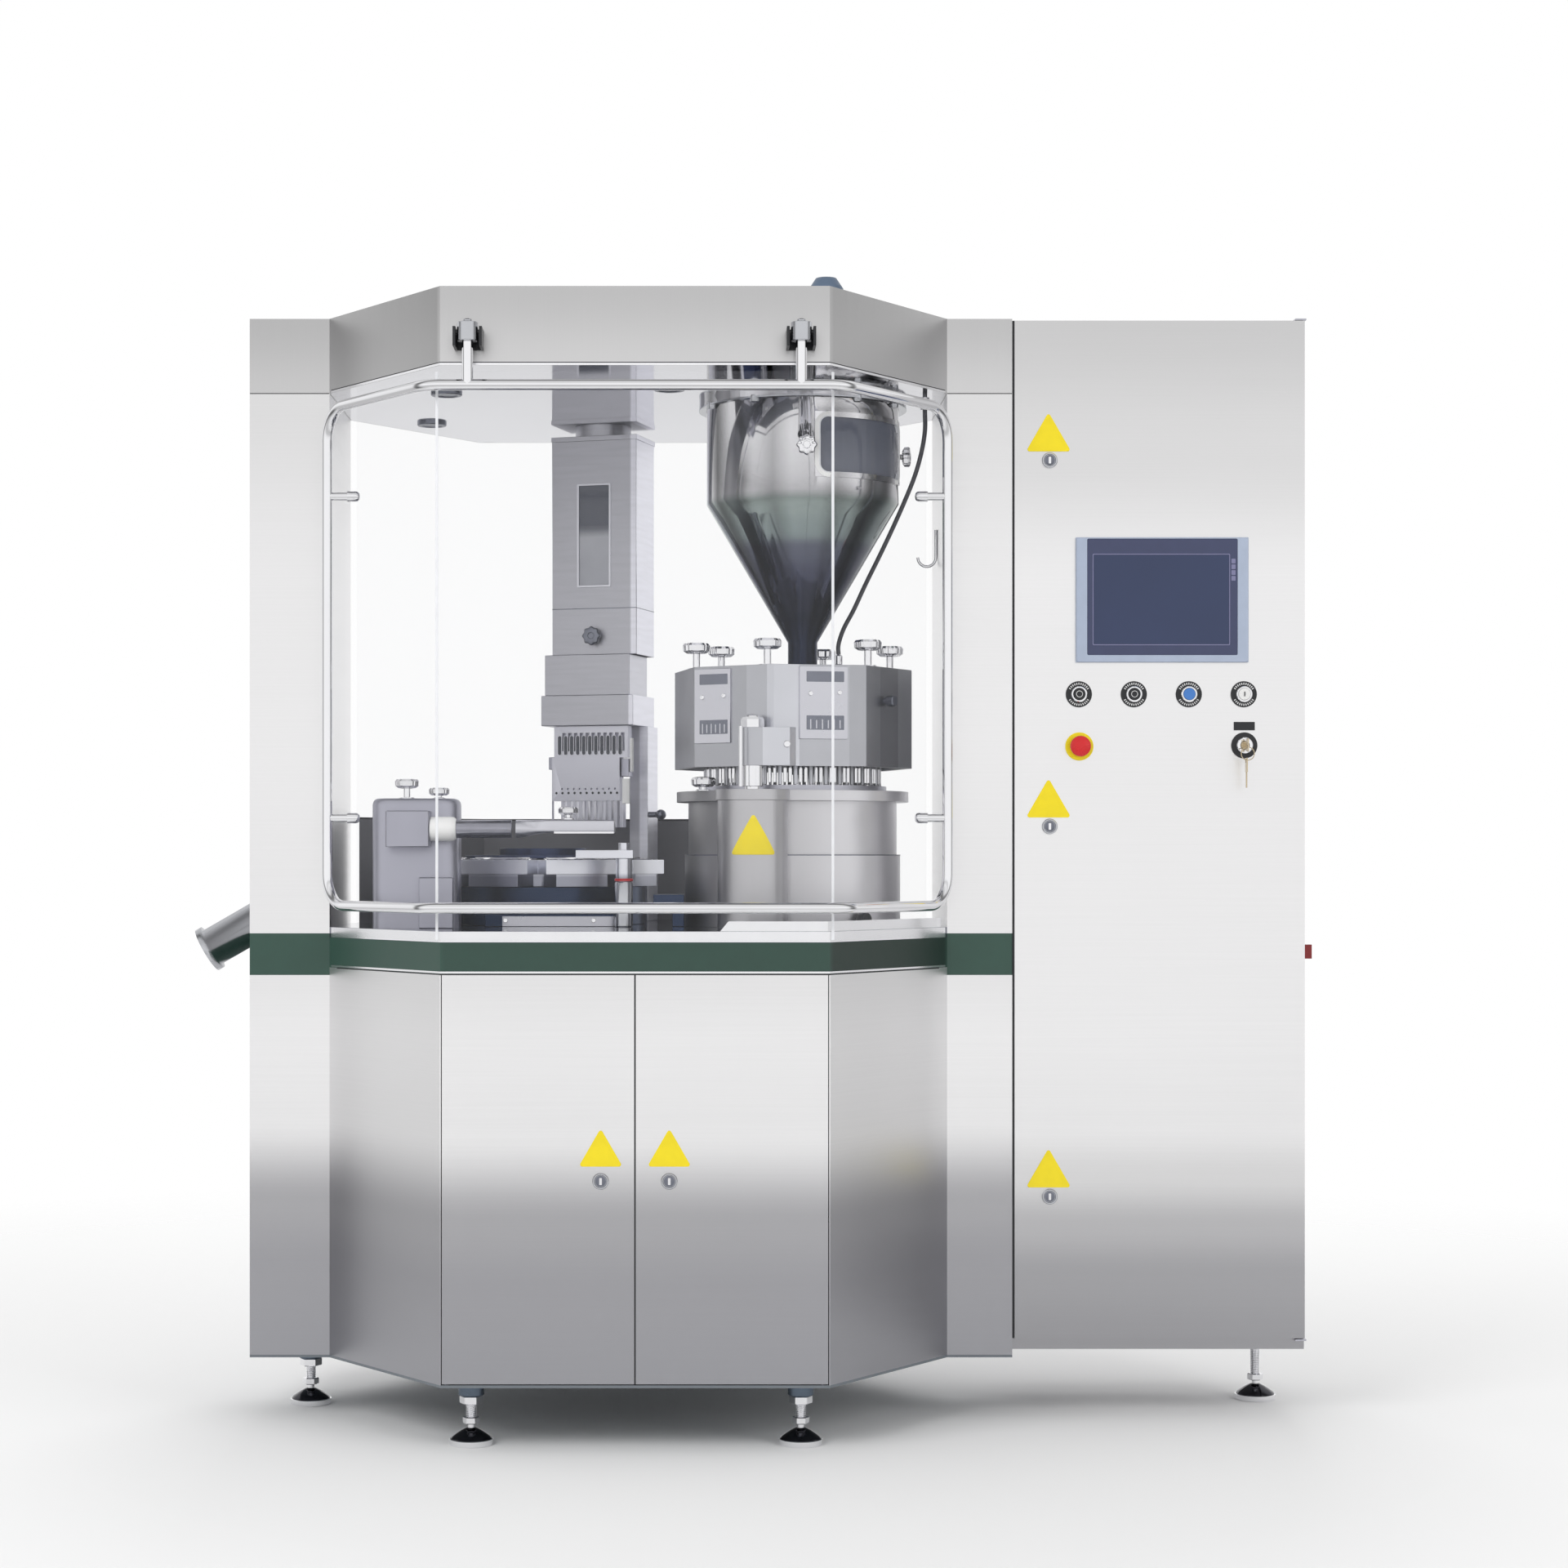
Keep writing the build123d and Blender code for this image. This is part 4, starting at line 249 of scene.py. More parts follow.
def new_finish(name, **sockets):
    """Material with one Principled shader whose constant sockets are set by name."""
    material = bpy.data.materials.new(name)
    material.use_nodes = True
    tree = material.node_tree
    tree.nodes.clear()
    shader = tree.nodes.new("ShaderNodeBsdfPrincipled")
    out = tree.nodes.new("ShaderNodeOutputMaterial")
    tree.links.new(shader.outputs[0], out.inputs["Surface"])
    for key, value in sockets.items():
        shader.inputs[key.replace("_", " ").title().replace("Ior", "IOR")].default_value = value
    return material, tree, shader


def spots_at(tree, scale=(1, 1, 1)):
    """Object coordinates, stretched by scale along each axis."""
    point = wire(tree, "ShaderNodeTexCoord").outputs["Object"]
    return wire(tree, "ShaderNodeMapping", {"Vector": point, "Scale": scale}).outputs[0]


def noise(tree, where, scale, detail=3.0):
    """Noise between 0 and 1 over stretched coordinates."""
    return wire(tree, "ShaderNodeTexNoise",
                {"Vector": where, "Scale": scale, "Detail": detail}).outputs["Fac"]


def spread(tree, factor, low, high):
    """Noise, which stays near its middle, spread to a range from low to high."""
    return wire(tree, "ShaderNodeMapRange", {"Value": factor, "From Min": 0.3, "From Max": 0.7,
                                             "To Min": low, "To Max": high}).outputs["Result"]


def blend_colours(tree, factor, first, second, mode="MIX"):
    """Mix of two colours or sockets by a factor."""
    node = tree.nodes.new("ShaderNodeMix")
    node.data_type = "RGBA"
    node.blend_type = mode
    for socket, value in ((0, factor), (6, first), (7, second)):
        if isinstance(value, bpy.types.NodeSocket):
            tree.links.new(value, node.inputs[socket])
        elif socket == 0:
            node.inputs[0].default_value = value
        else:
            node.inputs[socket].default_value = (*value, 1) if len(value) == 3 else value
    return node.outputs[2]


def over_height(tree, stops, mode="EASE"):
    """Greys or colours over the height in metres; stops are (height, value)."""
    point = wire(tree, "ShaderNodeTexCoord").outputs["Object"]
    up = wire(tree, "ShaderNodeSeparateXYZ", {"Vector": point}).outputs["Z"]
    factor = wire(tree, "ShaderNodeMath", {0: up, 1: TALL}, operation="DIVIDE").outputs[0]
    return ramp(tree, factor, [(at / TALL, value) for at, value in stops], mode)


def over_width(tree, stops, mode="LINEAR"):
    """Greys over the place in metres left (negative) or right of the front facet's middle."""
    point = wire(tree, "ShaderNodeTexCoord").outputs["Object"]
    x = wire(tree, "ShaderNodeSeparateXYZ", {"Vector": point}).outputs["X"]
    shift = 1.0 - FACET_MIDDLE[0] / 1000
    moved = wire(tree, "ShaderNodeMath", {0: x, 1: shift}, operation="ADD").outputs[0]
    factor = wire(tree, "ShaderNodeMath", {0: moved, 1: 2.0}, operation="DIVIDE").outputs[0]
    return ramp(tree, factor, [((at + 1.0) / 2.0, value) for at, value in stops], mode)


def moved_spots(tree, x, y, turn=0.0):
    """Object coordinates measured from an upright axis at drawing x, y and turned about it."""
    point = wire(tree, "ShaderNodeTexCoord").outputs["Object"]
    axis = (*place([x, y, 0.0])[:2], 0.0)
    kept = wire(tree, "ShaderNodeVectorMath", {0: point, 1: axis}, operation="SUBTRACT").outputs[0]
    return wire(tree, "ShaderNodeMapping", {"Vector": kept, "Rotation": (0, 0, -turn)}).outputs[0]


def round_about(tree, x, y, stops, mode="LINEAR"):
    """Greys round an upright axis: place 0.25 is its front, 0.5 its right, 0 and 1 its left."""
    where = moved_spots(tree, x, y)
    factor = wire(tree, "ShaderNodeTexGradient", {"Vector": where},
                  gradient_type="RADIAL").outputs["Fac"]
    return ramp(tree, factor, stops, mode)


def apply_painted_washes(made, *painted_washes):
    """Multiply a finish's base colour by each wash of painted light, shade or reflection, a function of
    the node tree.
    """
    material, tree, shader = made
    base = shader.inputs["Base Color"]
    for wash in painted_washes:
        colour = base.links[0].from_socket
        tree.links.new(blend_colours(tree, 1.0, colour, wash(tree), "MULTIPLY"), base)
    return material


def brushed_sheet(name, stops, rough=0.34, lines=(1, 1, 160), tint=(1.0, 0.995, 1.0), painted_washes=()):
    """Satin sheet steel: a painted reflection in greys over the height in metres, with brush lines
    across it.
    """
    material, tree, shader = new_finish(name, metallic=1.0)
    # Painted reflection: greys over the height.
    greys = over_height(tree, stops)
    grain = noise(tree, spots_at(tree, lines), 3.0)
    fine = ramp(tree, grain, [(0.3, 0.975), (0.7, 1.0)])
    cloud = ramp(tree, noise(tree, spots_at(tree), 1.3), [(0.35, 0.985), (0.65, 1.0)])
    tinted = blend_colours(tree, 1.0, greys, tint, "MULTIPLY")
    tinted = blend_colours(tree, 1.0, tinted, fine, "MULTIPLY")
    tinted = blend_colours(tree, 1.0, tinted, cloud, "MULTIPLY")
    tree.links.new(tinted, shader.inputs["Base Color"])
    tree.links.new(spread(tree, grain, rough - 0.04, rough + 0.04), shader.inputs["Roughness"])
    return apply_painted_washes((material, tree, shader), *painted_washes)


def worked_metal(name, colour, rough, shift=0.06, scale=14.0, lines=(1, 1, 1), metallic=1.0, painted_washes=()):
    """Machined, cast or polished metal: one colour, with a slight cloud in tone and roughness."""
    material, tree, shader = new_finish(name, metallic=metallic)
    cloud = noise(tree, spots_at(tree, lines), scale)
    dark = tuple(c * (1 - shift) for c in colour)
    tree.links.new(ramp(tree, cloud, [(0.35, dark), (0.65, colour)]), shader.inputs["Base Color"])
    tree.links.new(spread(tree, cloud, max(rough - 0.03, 0.02), rough + 0.03),
                   shader.inputs["Roughness"])
    return apply_painted_washes((material, tree, shader), *painted_washes)


def moulded(name, colour, rough, shift=0.05, scale=40.0, painted_washes=(), **sockets):
    """Plastic, rubber or paint: one colour, with a slight cloud in tone and roughness."""
    material, tree, shader = new_finish(name, **sockets)
    cloud = noise(tree, spots_at(tree), scale)
    dark = tuple(c * (1 - shift) for c in colour)
    tree.links.new(ramp(tree, cloud, [(0.35, dark), (0.65, colour)]), shader.inputs["Base Color"])
    tree.links.new(spread(tree, cloud, max(rough - 0.03, 0.02), rough + 0.03),
                   shader.inputs["Roughness"])
    return apply_painted_washes((material, tree, shader), *painted_washes)


# %% Washes of painted light and shade
# Each wash is painted light, shade or reflection: a function of the node tree that gives greys to
# multiply a base colour by.
DOSE_X, DOSE_Y = 300.0, 450.0  # upright axis of the dosing station
TURRET_X, TURRET_Y = -197.0, 600.0
HOPPER_X, HOPPER_Y = 320.0, 450.0
DRUM_R = 0.163
FEED_X, FEED_Y = -101.0, 790.0  # middle of the feeder's front
FEED_TURN = np.radians(-17.0)


def header_painted_side_shade(tree):
    """Painted shade: the header's slanted facets are darker than its front, as they mirror less."""
    return over_width(tree, [(-0.592, 0.92), (-0.354, 0.70), (-0.352, 1.0), (0.352, 1.0), (0.354, 0.82),
                             (0.592, 1.0)])


def band_painted_side_shade(tree):
    """Painted shade: the green band's right-hand slanted facet is darker than the rest."""
    return over_width(tree, [(-0.9, 1.0), (-0.592, 1.0), (-0.352, 1.0), (-0.350, 0.82), (0.352, 0.82),
                             (0.354, 0.36), (0.592, 0.36), (0.594, 1.0)])


def hood_painted_face_shade(tree):
    """Painted light and shade on the eight faces of the hood, each with its own tone, from the left
    round to the right.
    """
    stops = [(0.0, 0.42), (0.0958, 0.52), (0.1767, 0.60), (0.2075, 0.76), (0.2528, 0.58),
             (0.3208, 0.50), (0.3464, 0.40), (0.38, 0.32), (0.43, 0.46)]
    return round_about(tree, DOSE_X, DOSE_Y, stops, "CONSTANT")


def pot_painted_side_shade(tree):
    """Painted shade: the pot is dark on its left and brightens to its right."""
    return round_about(tree, DOSE_X, DOSE_Y, [(0.0, 0.32), (0.12, 0.46), (0.20, 0.60), (0.28, 0.70),
                                              (0.36, 0.90), (0.46, 1.0), (0.5, 0.70), (1.0, 0.32)])


def turret_navy_and_painted_top_light(tree):
    """Navy inside the drum's radius; outside it painted light on the segments, bright above a height and
    grey below.
    """
    flat = wire(tree, "ShaderNodeVectorMath", {0: moved_spots(tree, TURRET_X, TURRET_Y), 1: (1, 1, 0)},
                operation="MULTIPLY")
    away = wire(tree, "ShaderNodeVectorMath", {0: flat.outputs[0]}, operation="LENGTH").outputs["Value"]
    outer = wire(tree, "ShaderNodeMath", {0: away, 1: DRUM_R}, operation="GREATER_THAN").outputs[0]
    levels = over_height(tree, [(0.9, (0.42, 0.43, 0.50)), (1.0445, (0.42, 0.43, 0.50)),
                                (1.0465, (0.88, 0.89, 0.95))], "LINEAR")
    return blend_colours(tree, outer, (0.05, 0.065, 0.13), levels)


def feeder_painted_side_light(tree):
    """Painted reflection: the feeder's right side mirrors the bright room, its front a darker one."""
    across = wire(tree, "ShaderNodeSeparateXYZ",
                  {"Vector": moved_spots(tree, FEED_X, FEED_Y, FEED_TURN)}).outputs["X"]
    return ramp(tree, across, [(0.0, 0.60), (0.0795, 0.60), (0.0798, 1.0)])


def hopper_painted_streaks(tree):
    """Painted reflection: upright streaks that a polished bowl mirrors from the room and from the
    machine round it.
    """
    stops = [(0.0, 0.5), (0.045, 0.9), (0.075, 0.22), (0.11, 0.95), (0.16, 1.0), (0.195, 0.60),
             (0.225, 1.0), (0.275, 0.92), (0.30, 0.50), (0.335, 0.90), (0.37, 0.32), (0.41, 0.85),
             (0.5, 0.6), (0.75, 0.9), (1.0, 0.5)]
    return round_about(tree, HOPPER_X, HOPPER_Y, stops)


def sight_painted_reflection(tree):
    """Painted reflection: sight glasses mirror a dark ceiling in their upper part and the pale room
    lower down.
    """
    return over_height(tree, [(1.63, (0.50, 0.51, 0.56)), (1.745, (0.62, 0.63, 0.68)),
                              (1.765, (0.12, 0.13, 0.17)), (1.832, (0.14, 0.15, 0.19)),
                              (1.90, (0.10, 0.11, 0.15))], "LINEAR")


def drum_painted_side_light(tree):
    """Painted light: the drum's right flank is a little lighter than its left."""
    return round_about(tree, TURRET_X, TURRET_Y,
                       [(0.0, 0.5), (0.2, 0.62), (0.3, 0.85), (0.4, 1.0), (0.5, 0.7), (1.0, 0.5)])


# %% Finishes
# The height ramps of the brushed sheets are painted reflection; the washes add painted light and shade
# by face and side.
finish = {"panel": brushed_sheet("panel_steel",
                                 [(0.10, (0.375, 0.378, 0.400)), (0.30, (0.39, 0.39, 0.41)),
                                  (0.42, (0.45, 0.45, 0.465)), (0.58, 0.92), (0.74, 0.95),
                                  (0.87, 0.90)]),
          "pillar": brushed_sheet("pillar_steel",
                                  [(0.95, 0.92), (1.30, 0.94), (1.60, 0.92), (1.97, 0.80)]),
          "cabinet": brushed_sheet("cabinet_steel",
                                   [(0.15, (0.37, 0.37, 0.385)), (0.28, (0.41, 0.41, 0.425)),
                                    (0.374, (0.53, 0.53, 0.54)), (0.468, 0.76), (0.56, 0.91),
                                    (0.76, 0.95), (1.60, 0.94), (1.86, 0.78), (2.11, 0.66)]),
          "header": brushed_sheet("header_steel", [(1.96, 0.70), (2.11, 0.58)], lines=(160, 160, 1),
                                  painted_washes=(header_painted_side_shade,)),
          "frame": moulded("frame_paint", (0.16, 0.18, 0.20), 0.5),
          "green": moulded("green_paint", (0.033, 0.078, 0.060), 0.38, painted_washes=(band_painted_side_shade,)),
          "polished": worked_metal("polished_steel", (0.86, 0.86, 0.88), 0.06, 0.03, 6.0),
          "ceiling": worked_metal("ceiling_mirror", (0.88, 0.88, 0.92), 0.07, 0.04, 2.0),
          "deck": worked_metal("deck_steel", (0.26, 0.27, 0.31), 0.08, 0.05, 3.0),
          "machined": worked_metal("machined_steel", (0.52, 0.52, 0.58), 0.32),
          "station": worked_metal("station_steel", (0.46, 0.46, 0.53), 0.38),
          "head": worked_metal("head_steel", (0.93, 0.94, 1.0), 0.34, painted_washes=(hood_painted_face_shade,)),
          "pot": worked_metal("pot_steel", (0.98, 0.97, 1.0), 0.38, 0.05, 4.0, painted_washes=(pot_painted_side_shade,)),
          "turret": worked_metal("turret_steel", (1.0, 1.0, 1.0), 0.33, painted_washes=(turret_navy_and_painted_top_light,)),
          "segment": worked_metal("segment_steel", (0.62, 0.63, 0.70), 0.30),
          "blue_steel": worked_metal("blue_steel", (0.040, 0.060, 0.115), 0.30, painted_washes=(drum_painted_side_light,)),
          "aluminium": worked_metal("magazine_aluminium", (0.90, 0.90, 0.97), 0.42, 0.08, 9.0,
                                    (1, 1, 12), painted_washes=(feeder_painted_side_light,)),
          "bright": worked_metal("bright_steel", (0.92, 0.92, 0.94), 0.20, 0.04, 20.0),
          "foot": worked_metal("polished_foot", (0.07, 0.07, 0.08), 0.12, 0.1, 20.0),
          "bush": worked_metal("blue_grey_bush", (0.12, 0.15, 0.19), 0.3),
          "brass": worked_metal("key_brass", (0.64, 0.54, 0.38), 0.25),
          "dark_red": moulded("dark_red_plastic", (0.24, 0.020, 0.022), 0.3),
          # Dark seams, and the painted shade in the gaps round the doors.
          "seam": moulded("dark_seam_and_gap_shade", (0.020, 0.021, 0.024), 0.5),
          "cast": moulded("cast_paint", (0.10, 0.19, 0.24), 0.45, metallic=0.0),
          "motor": moulded("motor_paint", (0.12, 0.17, 0.25), 0.42),
          "rubber": moulded("black_rubber", (0.012, 0.012, 0.013), 0.65, 0.2),
          "black": moulded("black_plastic", (0.014, 0.015, 0.018), 0.35, 0.15),
          "white": moulded("white_plastic", (0.80, 0.80, 0.79), 0.25),
          "blue": moulded("blue_plastic", (0.06, 0.20, 0.55), 0.25),
          "red": moulded("red_plastic", (0.62, 0.015, 0.018), 0.28),
          "yellow": moulded("yellow_plastic", (0.90, 0.72, 0.01), 0.35),
          "device": moulded("device_plastic", (0.42, 0.44, 0.46), 0.5),
          "bezel": moulded("panel_grey", (0.40, 0.46, 0.58), 0.35, metallic=0.0),
          "glass": moulded("screen_glass", (0.045, 0.055, 0.12), 0.08),
          "cable": moulded("cable_jacket", (0.10, 0.10, 0.115), 0.4),
          "chrome": worked_metal("chrome", (0.88, 0.88, 0.90), 0.05, 0.03, 6.0),
          "collar": worked_metal("collar_steel", (0.56, 0.57, 0.60), 0.22, 0.05, 20.0),
          "dark_steel": worked_metal("dark_steel", (0.20, 0.21, 0.25), 0.30),
          "neck_steel": worked_metal("neck_steel", (0.20, 0.20, 0.24), 0.25),
          "plate_steel": worked_metal("plate_steel", (0.66, 0.66, 0.71), 0.30, 0.04, 20.0),
          # Painted shade in the hood's window openings.
          "window_shade_paint": moulded("window_shade_paint", (0.16, 0.17, 0.21), 0.12),
          # Painted reflection on the hopper: slate grey low on the cone, the pale room higher up.
          "hopper": brushed_sheet("hopper_steel",
                                  [(1.49, (0.035, 0.045, 0.085)), (1.545, (0.03, 0.035, 0.06)),
                                   (1.56, (0.05, 0.055, 0.085)), (1.62, (0.07, 0.075, 0.115)),
                                   (1.675, (0.12, 0.13, 0.17)), (1.70, (0.26, 0.31, 0.31)),
                                   (1.765, (0.34, 0.40, 0.38)), (1.775, (0.74, 0.74, 0.76)),
                                   (1.97, (0.84, 0.84, 0.86))], 0.08, (1, 1, 6),
                                  painted_washes=(hopper_painted_streaks,)),
          "white_cap": moulded("white_cap", (0.86, 0.86, 0.85), 0.35),
          "dark_paint": moulded("parapet_grey", (0.155, 0.155, 0.17), 0.4),
          "tube_steel": worked_metal("tube_steel", (0.34, 0.34, 0.39), 0.22, 0.10, 30.0),
          "comb": worked_metal("comb_steel", (0.60, 0.60, 0.66), 0.34, 0.05, 10.0),
          # Painted shade in the comb's slots.
          "slot_shade_paint": moulded("slot_shade_paint", (0.045, 0.048, 0.065), 0.3),
          "pale_mark": moulded("pale_mark", (0.72, 0.72, 0.72), 0.5),
          "screen": moulded("lit_screen", (0.027, 0.042, 0.105), 0.12, 0.12, 3.0),
          "screen_line": moulded("screen_line", (0.20, 0.20, 0.34), 0.3),
          # Painted highlight on bends and edges of clear sheet.
          "pale_edge": moulded("pale_edge", (0.93, 0.94, 0.97), 0.2, alpha=0.8),
          "guard_clear": moulded("guard_clear", (0.90, 0.92, 0.97), 0.04, 0.02, alpha=0.02,
                                 specular_ior_level=0.25),
          "clear": moulded("clear_sheet", (0.90, 0.92, 0.97), 0.04, 0.02, alpha=0.03,
                           specular_ior_level=0.3),
          "sight": moulded("sight_glass", (1.0, 1.0, 1.0), 0.08, alpha=0.86, painted_washes=(sight_painted_reflection,))}
for name in ("clear", "sight", "guard_clear", "pale_edge"):
    finish[name].surface_render_method = "BLENDED"
print("finishes", len(finish))

# %% [markdown]
# ## Dressing the CAD pieces
# Most pieces keep their CAD form: flat sheet and turned blocks are exact already. Each
# one gets a finish by its name. Some are given smooth or broken edges further on, and
# some are replaced by dressed pieces.

# %% Dress
wears = {"panel": ["fixed_panels", "left_door", "right_door"], "pillar": ["side_pillars"],
         "cabinet": ["cabinet_shell", "cabinet_door"], "header": ["header_panels"],
         "frame": ["base_frame"], "green": ["green_band"], "collar": ["outlet_chute"],
         "polished": ["guide_pillars", "hopper", "guard_tubes", "stirrer", "left_door_lock",
                      "right_door_lock", "cabinet_lock_upper", "cabinet_lock_middle",
                      "cabinet_lock_lower"], "ceiling": ["ceiling_plate"], "deck": ["deck_plate"],
         "machined": ["hinge_pins", "foot_studs", "dosing_disc", "cam_shaft", "motor_pulley",
                      "input_pulley", "head_knobs", "inner_fittings", "switch_key", "feeder_comb"],
         "station": ["ejection_station"], "head": ["tamping_head"], "pot": ["dosing_pot"],
         "segment": ["turret_disc", "turret_cover"], "blue_steel": ["turret_base"],
         "aluminium": ["magazine", "feeder_blocks"], "cast": ["gearbox", "index_boxes"],
         "motor": ["main_motor", "stirrer_drive"], "rubber": ["foot_pads", "drive_belt"],
         "black": ["guard_brackets", "control_bodies", "push_button_1", "push_button_2"],
         "blue": ["push_button_3"], "white": ["push_button_4"], "yellow": ["stop_plate"],
         "red": ["emergency_stop", "isolator_handle"], "device": ["electrical_plate"],
         "bezel": ["touch_panel"], "clear": ["guard_window", "rear_guard"], "sight": ["sight_glasses"]}
for kind, names in wears.items():
    for name in names:
        data = nodes[name].data
        data.materials.clear()
        data.materials.append(finish[kind])
bare = sorted(set(nodes) - {n for names in wears.values() for n in names} - {"sensor_cable"})
print("CAD pieces without a finish:", bare)
cable_curve.materials.append(finish["cable"])

# %% [markdown]
# ## Surfaces from formulas
# Round and moulded pieces are easiest to describe as a grid: one direction runs round
# the piece, the other along it. The whole grid is computed at once, neighbouring points
# are joined into four-sided faces, and points that fall together at a pole or a seam
# are merged. The same few helpers make tubes, turned parts, knobs and rounded plates.

# %% Surface helpers
def surface(points, wrap_u=False, wrap_v=False):
    """Points on a (u, v) grid with the quads between neighbours; wrap joins last to first."""
    rows, columns = points.shape[:2]
    u = np.arange(rows if wrap_u else rows - 1)[:, None]
    v = np.arange(columns if wrap_v else columns - 1)[None, :]
    u_next = (u + 1) % rows
    v_next = (v + 1) % columns
    corners = (u * columns + v, u_next * columns + v, u_next * columns + v_next, u * columns + v_next)
    quads = np.stack(np.broadcast_arrays(*corners), axis=-1).reshape(-1, 4)
    return points.reshape(-1, 3), quads


def closed_stack(rings):
    """Rings of points, shape (rings, points, 3), skinned; each end is drawn to its middle point."""
    ends = [np.repeat(ring.mean(axis=0)[None, None], rings.shape[1], axis=1)
            for ring in (rings[0], rings[-1])]
    return surface(np.concatenate([ends[0], rings, ends[1]]), wrap_v=True)


def local_to_drawing(points, origin, right, up):
    """Point = origin + a right + b up + c out, where out is right cross up."""
    right = np.array(right, float)
    up = np.array(up, float)
    axes = np.array([right, up, np.cross(right, up)])
    return np.array(origin, float) + np.asarray(points, float) @ axes


FRONT = ((1, 0, 0), (0, 0, 1))  # right and up on a face that looks to the front
TOP = ((1, 0, 0), (0, 1, 0))  # right and up on a face that looks up


def turned(profile, origin, axes=TOP, sides=40, lobes=0, depth=0.0):
    """Profile of (radius, height) turned about the out axis: a = r cos t, b = r sin t, c = h.
    With lobes, every radius is scaled by 1 + depth cos(lobes t)."""
    radius, height = np.array(profile, float).T
    turn = np.linspace(0, 2 * np.pi, sides, endpoint=False)
    wave = 1 + depth * np.cos(lobes * turn)
    a = radius[:, None] * np.cos(turn) * wave
    b = radius[:, None] * np.sin(turn) * wave
    rings = np.stack([a, b, np.broadcast_to(height[:, None], a.shape)], axis=-1)
    points, quads = closed_stack(rings)
    return local_to_drawing(points, origin, *axes), quads


def rounded_outline(width, height, radius, steps=6):
    """Rectangle with round corners: corner centres plus a quarter turn of radius at each."""
    turn = (np.arange(4)[:, None] * np.pi / 2 + np.linspace(0, np.pi / 2, steps)[None, :])
    signs = np.array([(1, 1), (-1, 1), (-1, -1), (1, -1)])
    middle = signs * (np.array([width, height]) / 2 - radius)
    arc = np.stack([np.cos(turn), np.sin(turn)], axis=-1) * radius
    return (middle[:, None] + arc).reshape(-1, 2)


def plate(outline, thick, origin, axes=FRONT, edge=0.8):
    """Outline raised along out, its top edge eased: rings at heights 0, thick - edge and thick."""
    middle = outline.mean(axis=0)
    reach = np.linalg.norm(outline - middle, axis=1, keepdims=True)
    inner = middle + (outline - middle) * (1 - edge / reach)
    levels = ((outline, 0.0), (outline, thick - edge), (inner, thick))
    rings = np.stack([np.column_stack([ring, np.full(len(ring), h)]) for ring, h in levels])
    points, quads = closed_stack(rings)
    return local_to_drawing(points, origin, *axes), quads


def box_shell(x0, x1, y0, y1, z0, z1, edge=1.0, corner=2.0):
    """Upright box with small round corners: its plan outline stacked at four heights."""
    outline = rounded_outline(x1 - x0, y1 - y0, corner, 3)
    inner = rounded_outline(x1 - x0 - 2 * edge, y1 - y0 - 2 * edge, max(corner - edge, 0.1), 3)
    levels = ((inner, z0), (outline, z0 + edge), (outline, z1 - edge), (inner, z1))
    rings = np.stack([np.column_stack([ring, np.full(len(ring), h)]) for ring, h in levels])
    points, quads = closed_stack(rings)
    return points + np.array([(x0 + x1) / 2, (y0 + y1) / 2, 0.0]), quads


def rounded_path(corners, radius, closed=False, steps=8):
    """Line through corners with an arc of radius at each: the arc's centre lies on the bisector,
    radius / sin(half angle) away, and its points turn from one tangent point to the other."""
    corners = np.asarray(corners, float)
    before = np.roll(corners, 1, axis=0)
    after = np.roll(corners, -1, axis=0)
    to_before = (before - corners) / np.linalg.norm(before - corners, axis=1, keepdims=True)
    to_after = (after - corners) / np.linalg.norm(after - corners, axis=1, keepdims=True)
    half = np.arccos(np.clip((to_before * to_after).sum(axis=1), -1, 1)) / 2
    bisector = to_before + to_after
    bisector /= np.linalg.norm(bisector, axis=1, keepdims=True)
    centre = corners + bisector * (radius / np.sin(half))[:, None]
    reach = (radius / np.tan(half))[:, None]
    first = corners + to_before * reach - centre
    last = corners + to_after * reach - centre
    sweep = (np.pi - 2 * half)[:, None, None]
    t = np.linspace(0, 1, steps)[None, :, None]
    arcs = np.sin((1 - t) * sweep) * first[:, None] + np.sin(t * sweep) * last[:, None]
    arcs = arcs / np.sin(sweep) + centre[:, None]
    if closed:
        return arcs.reshape(-1, 3)
    return np.vstack([corners[:1], arcs[1:-1].reshape(-1, 3), corners[-1:]])


def tube(line, radius, reference=(0, 1, 0), closed=False, sides=20):
    """Round tube: each ring stands square to the line, point = line + r (cos t side + sin t over)."""
    line = np.asarray(line, float)
    if closed:
        along = np.roll(line, -1, axis=0) - np.roll(line, 1, axis=0)
    else:
        along = np.gradient(line, axis=0)
    along /= np.linalg.norm(along, axis=1, keepdims=True)
    side = np.cross(along, np.array(reference, float))
    side /= np.linalg.norm(side, axis=1, keepdims=True)
    over = np.cross(along, side)
    turn = np.linspace(0, 2 * np.pi, sides, endpoint=False)[None, :, None]
    rings = line[:, None] + radius * (np.cos(turn) * side[:, None] + np.sin(turn) * over[:, None])
    if closed:
        return surface(rings, wrap_u=True, wrap_v=True)
    return closed_stack(rings)


def weld(mesh, outward=True):
    """Merge points that fall together and, on request, turn every face outwards."""
    work = bmesh.new()
    work.from_mesh(mesh)
    bmesh.ops.remove_doubles(work, verts=work.verts, dist=2e-6)
    if outward:
        bmesh.ops.recalc_face_normals(work, faces=work.faces)
    work.to_mesh(mesh)
    work.free()


def shade(mesh, angle=32.0):
    """Smooth shading, with folds sharper than the angle kept crisp."""
    mesh.shade_smooth()
    mesh.set_sharp_from_angle(angle=np.radians(angle))


slots = {entry["node"]: entry["material_slot"] for entry in frame["record"]["subparts"]}
homes = {node: body for body, held in frame["record"]["behaviour"]["bodies"].items() for node in held}


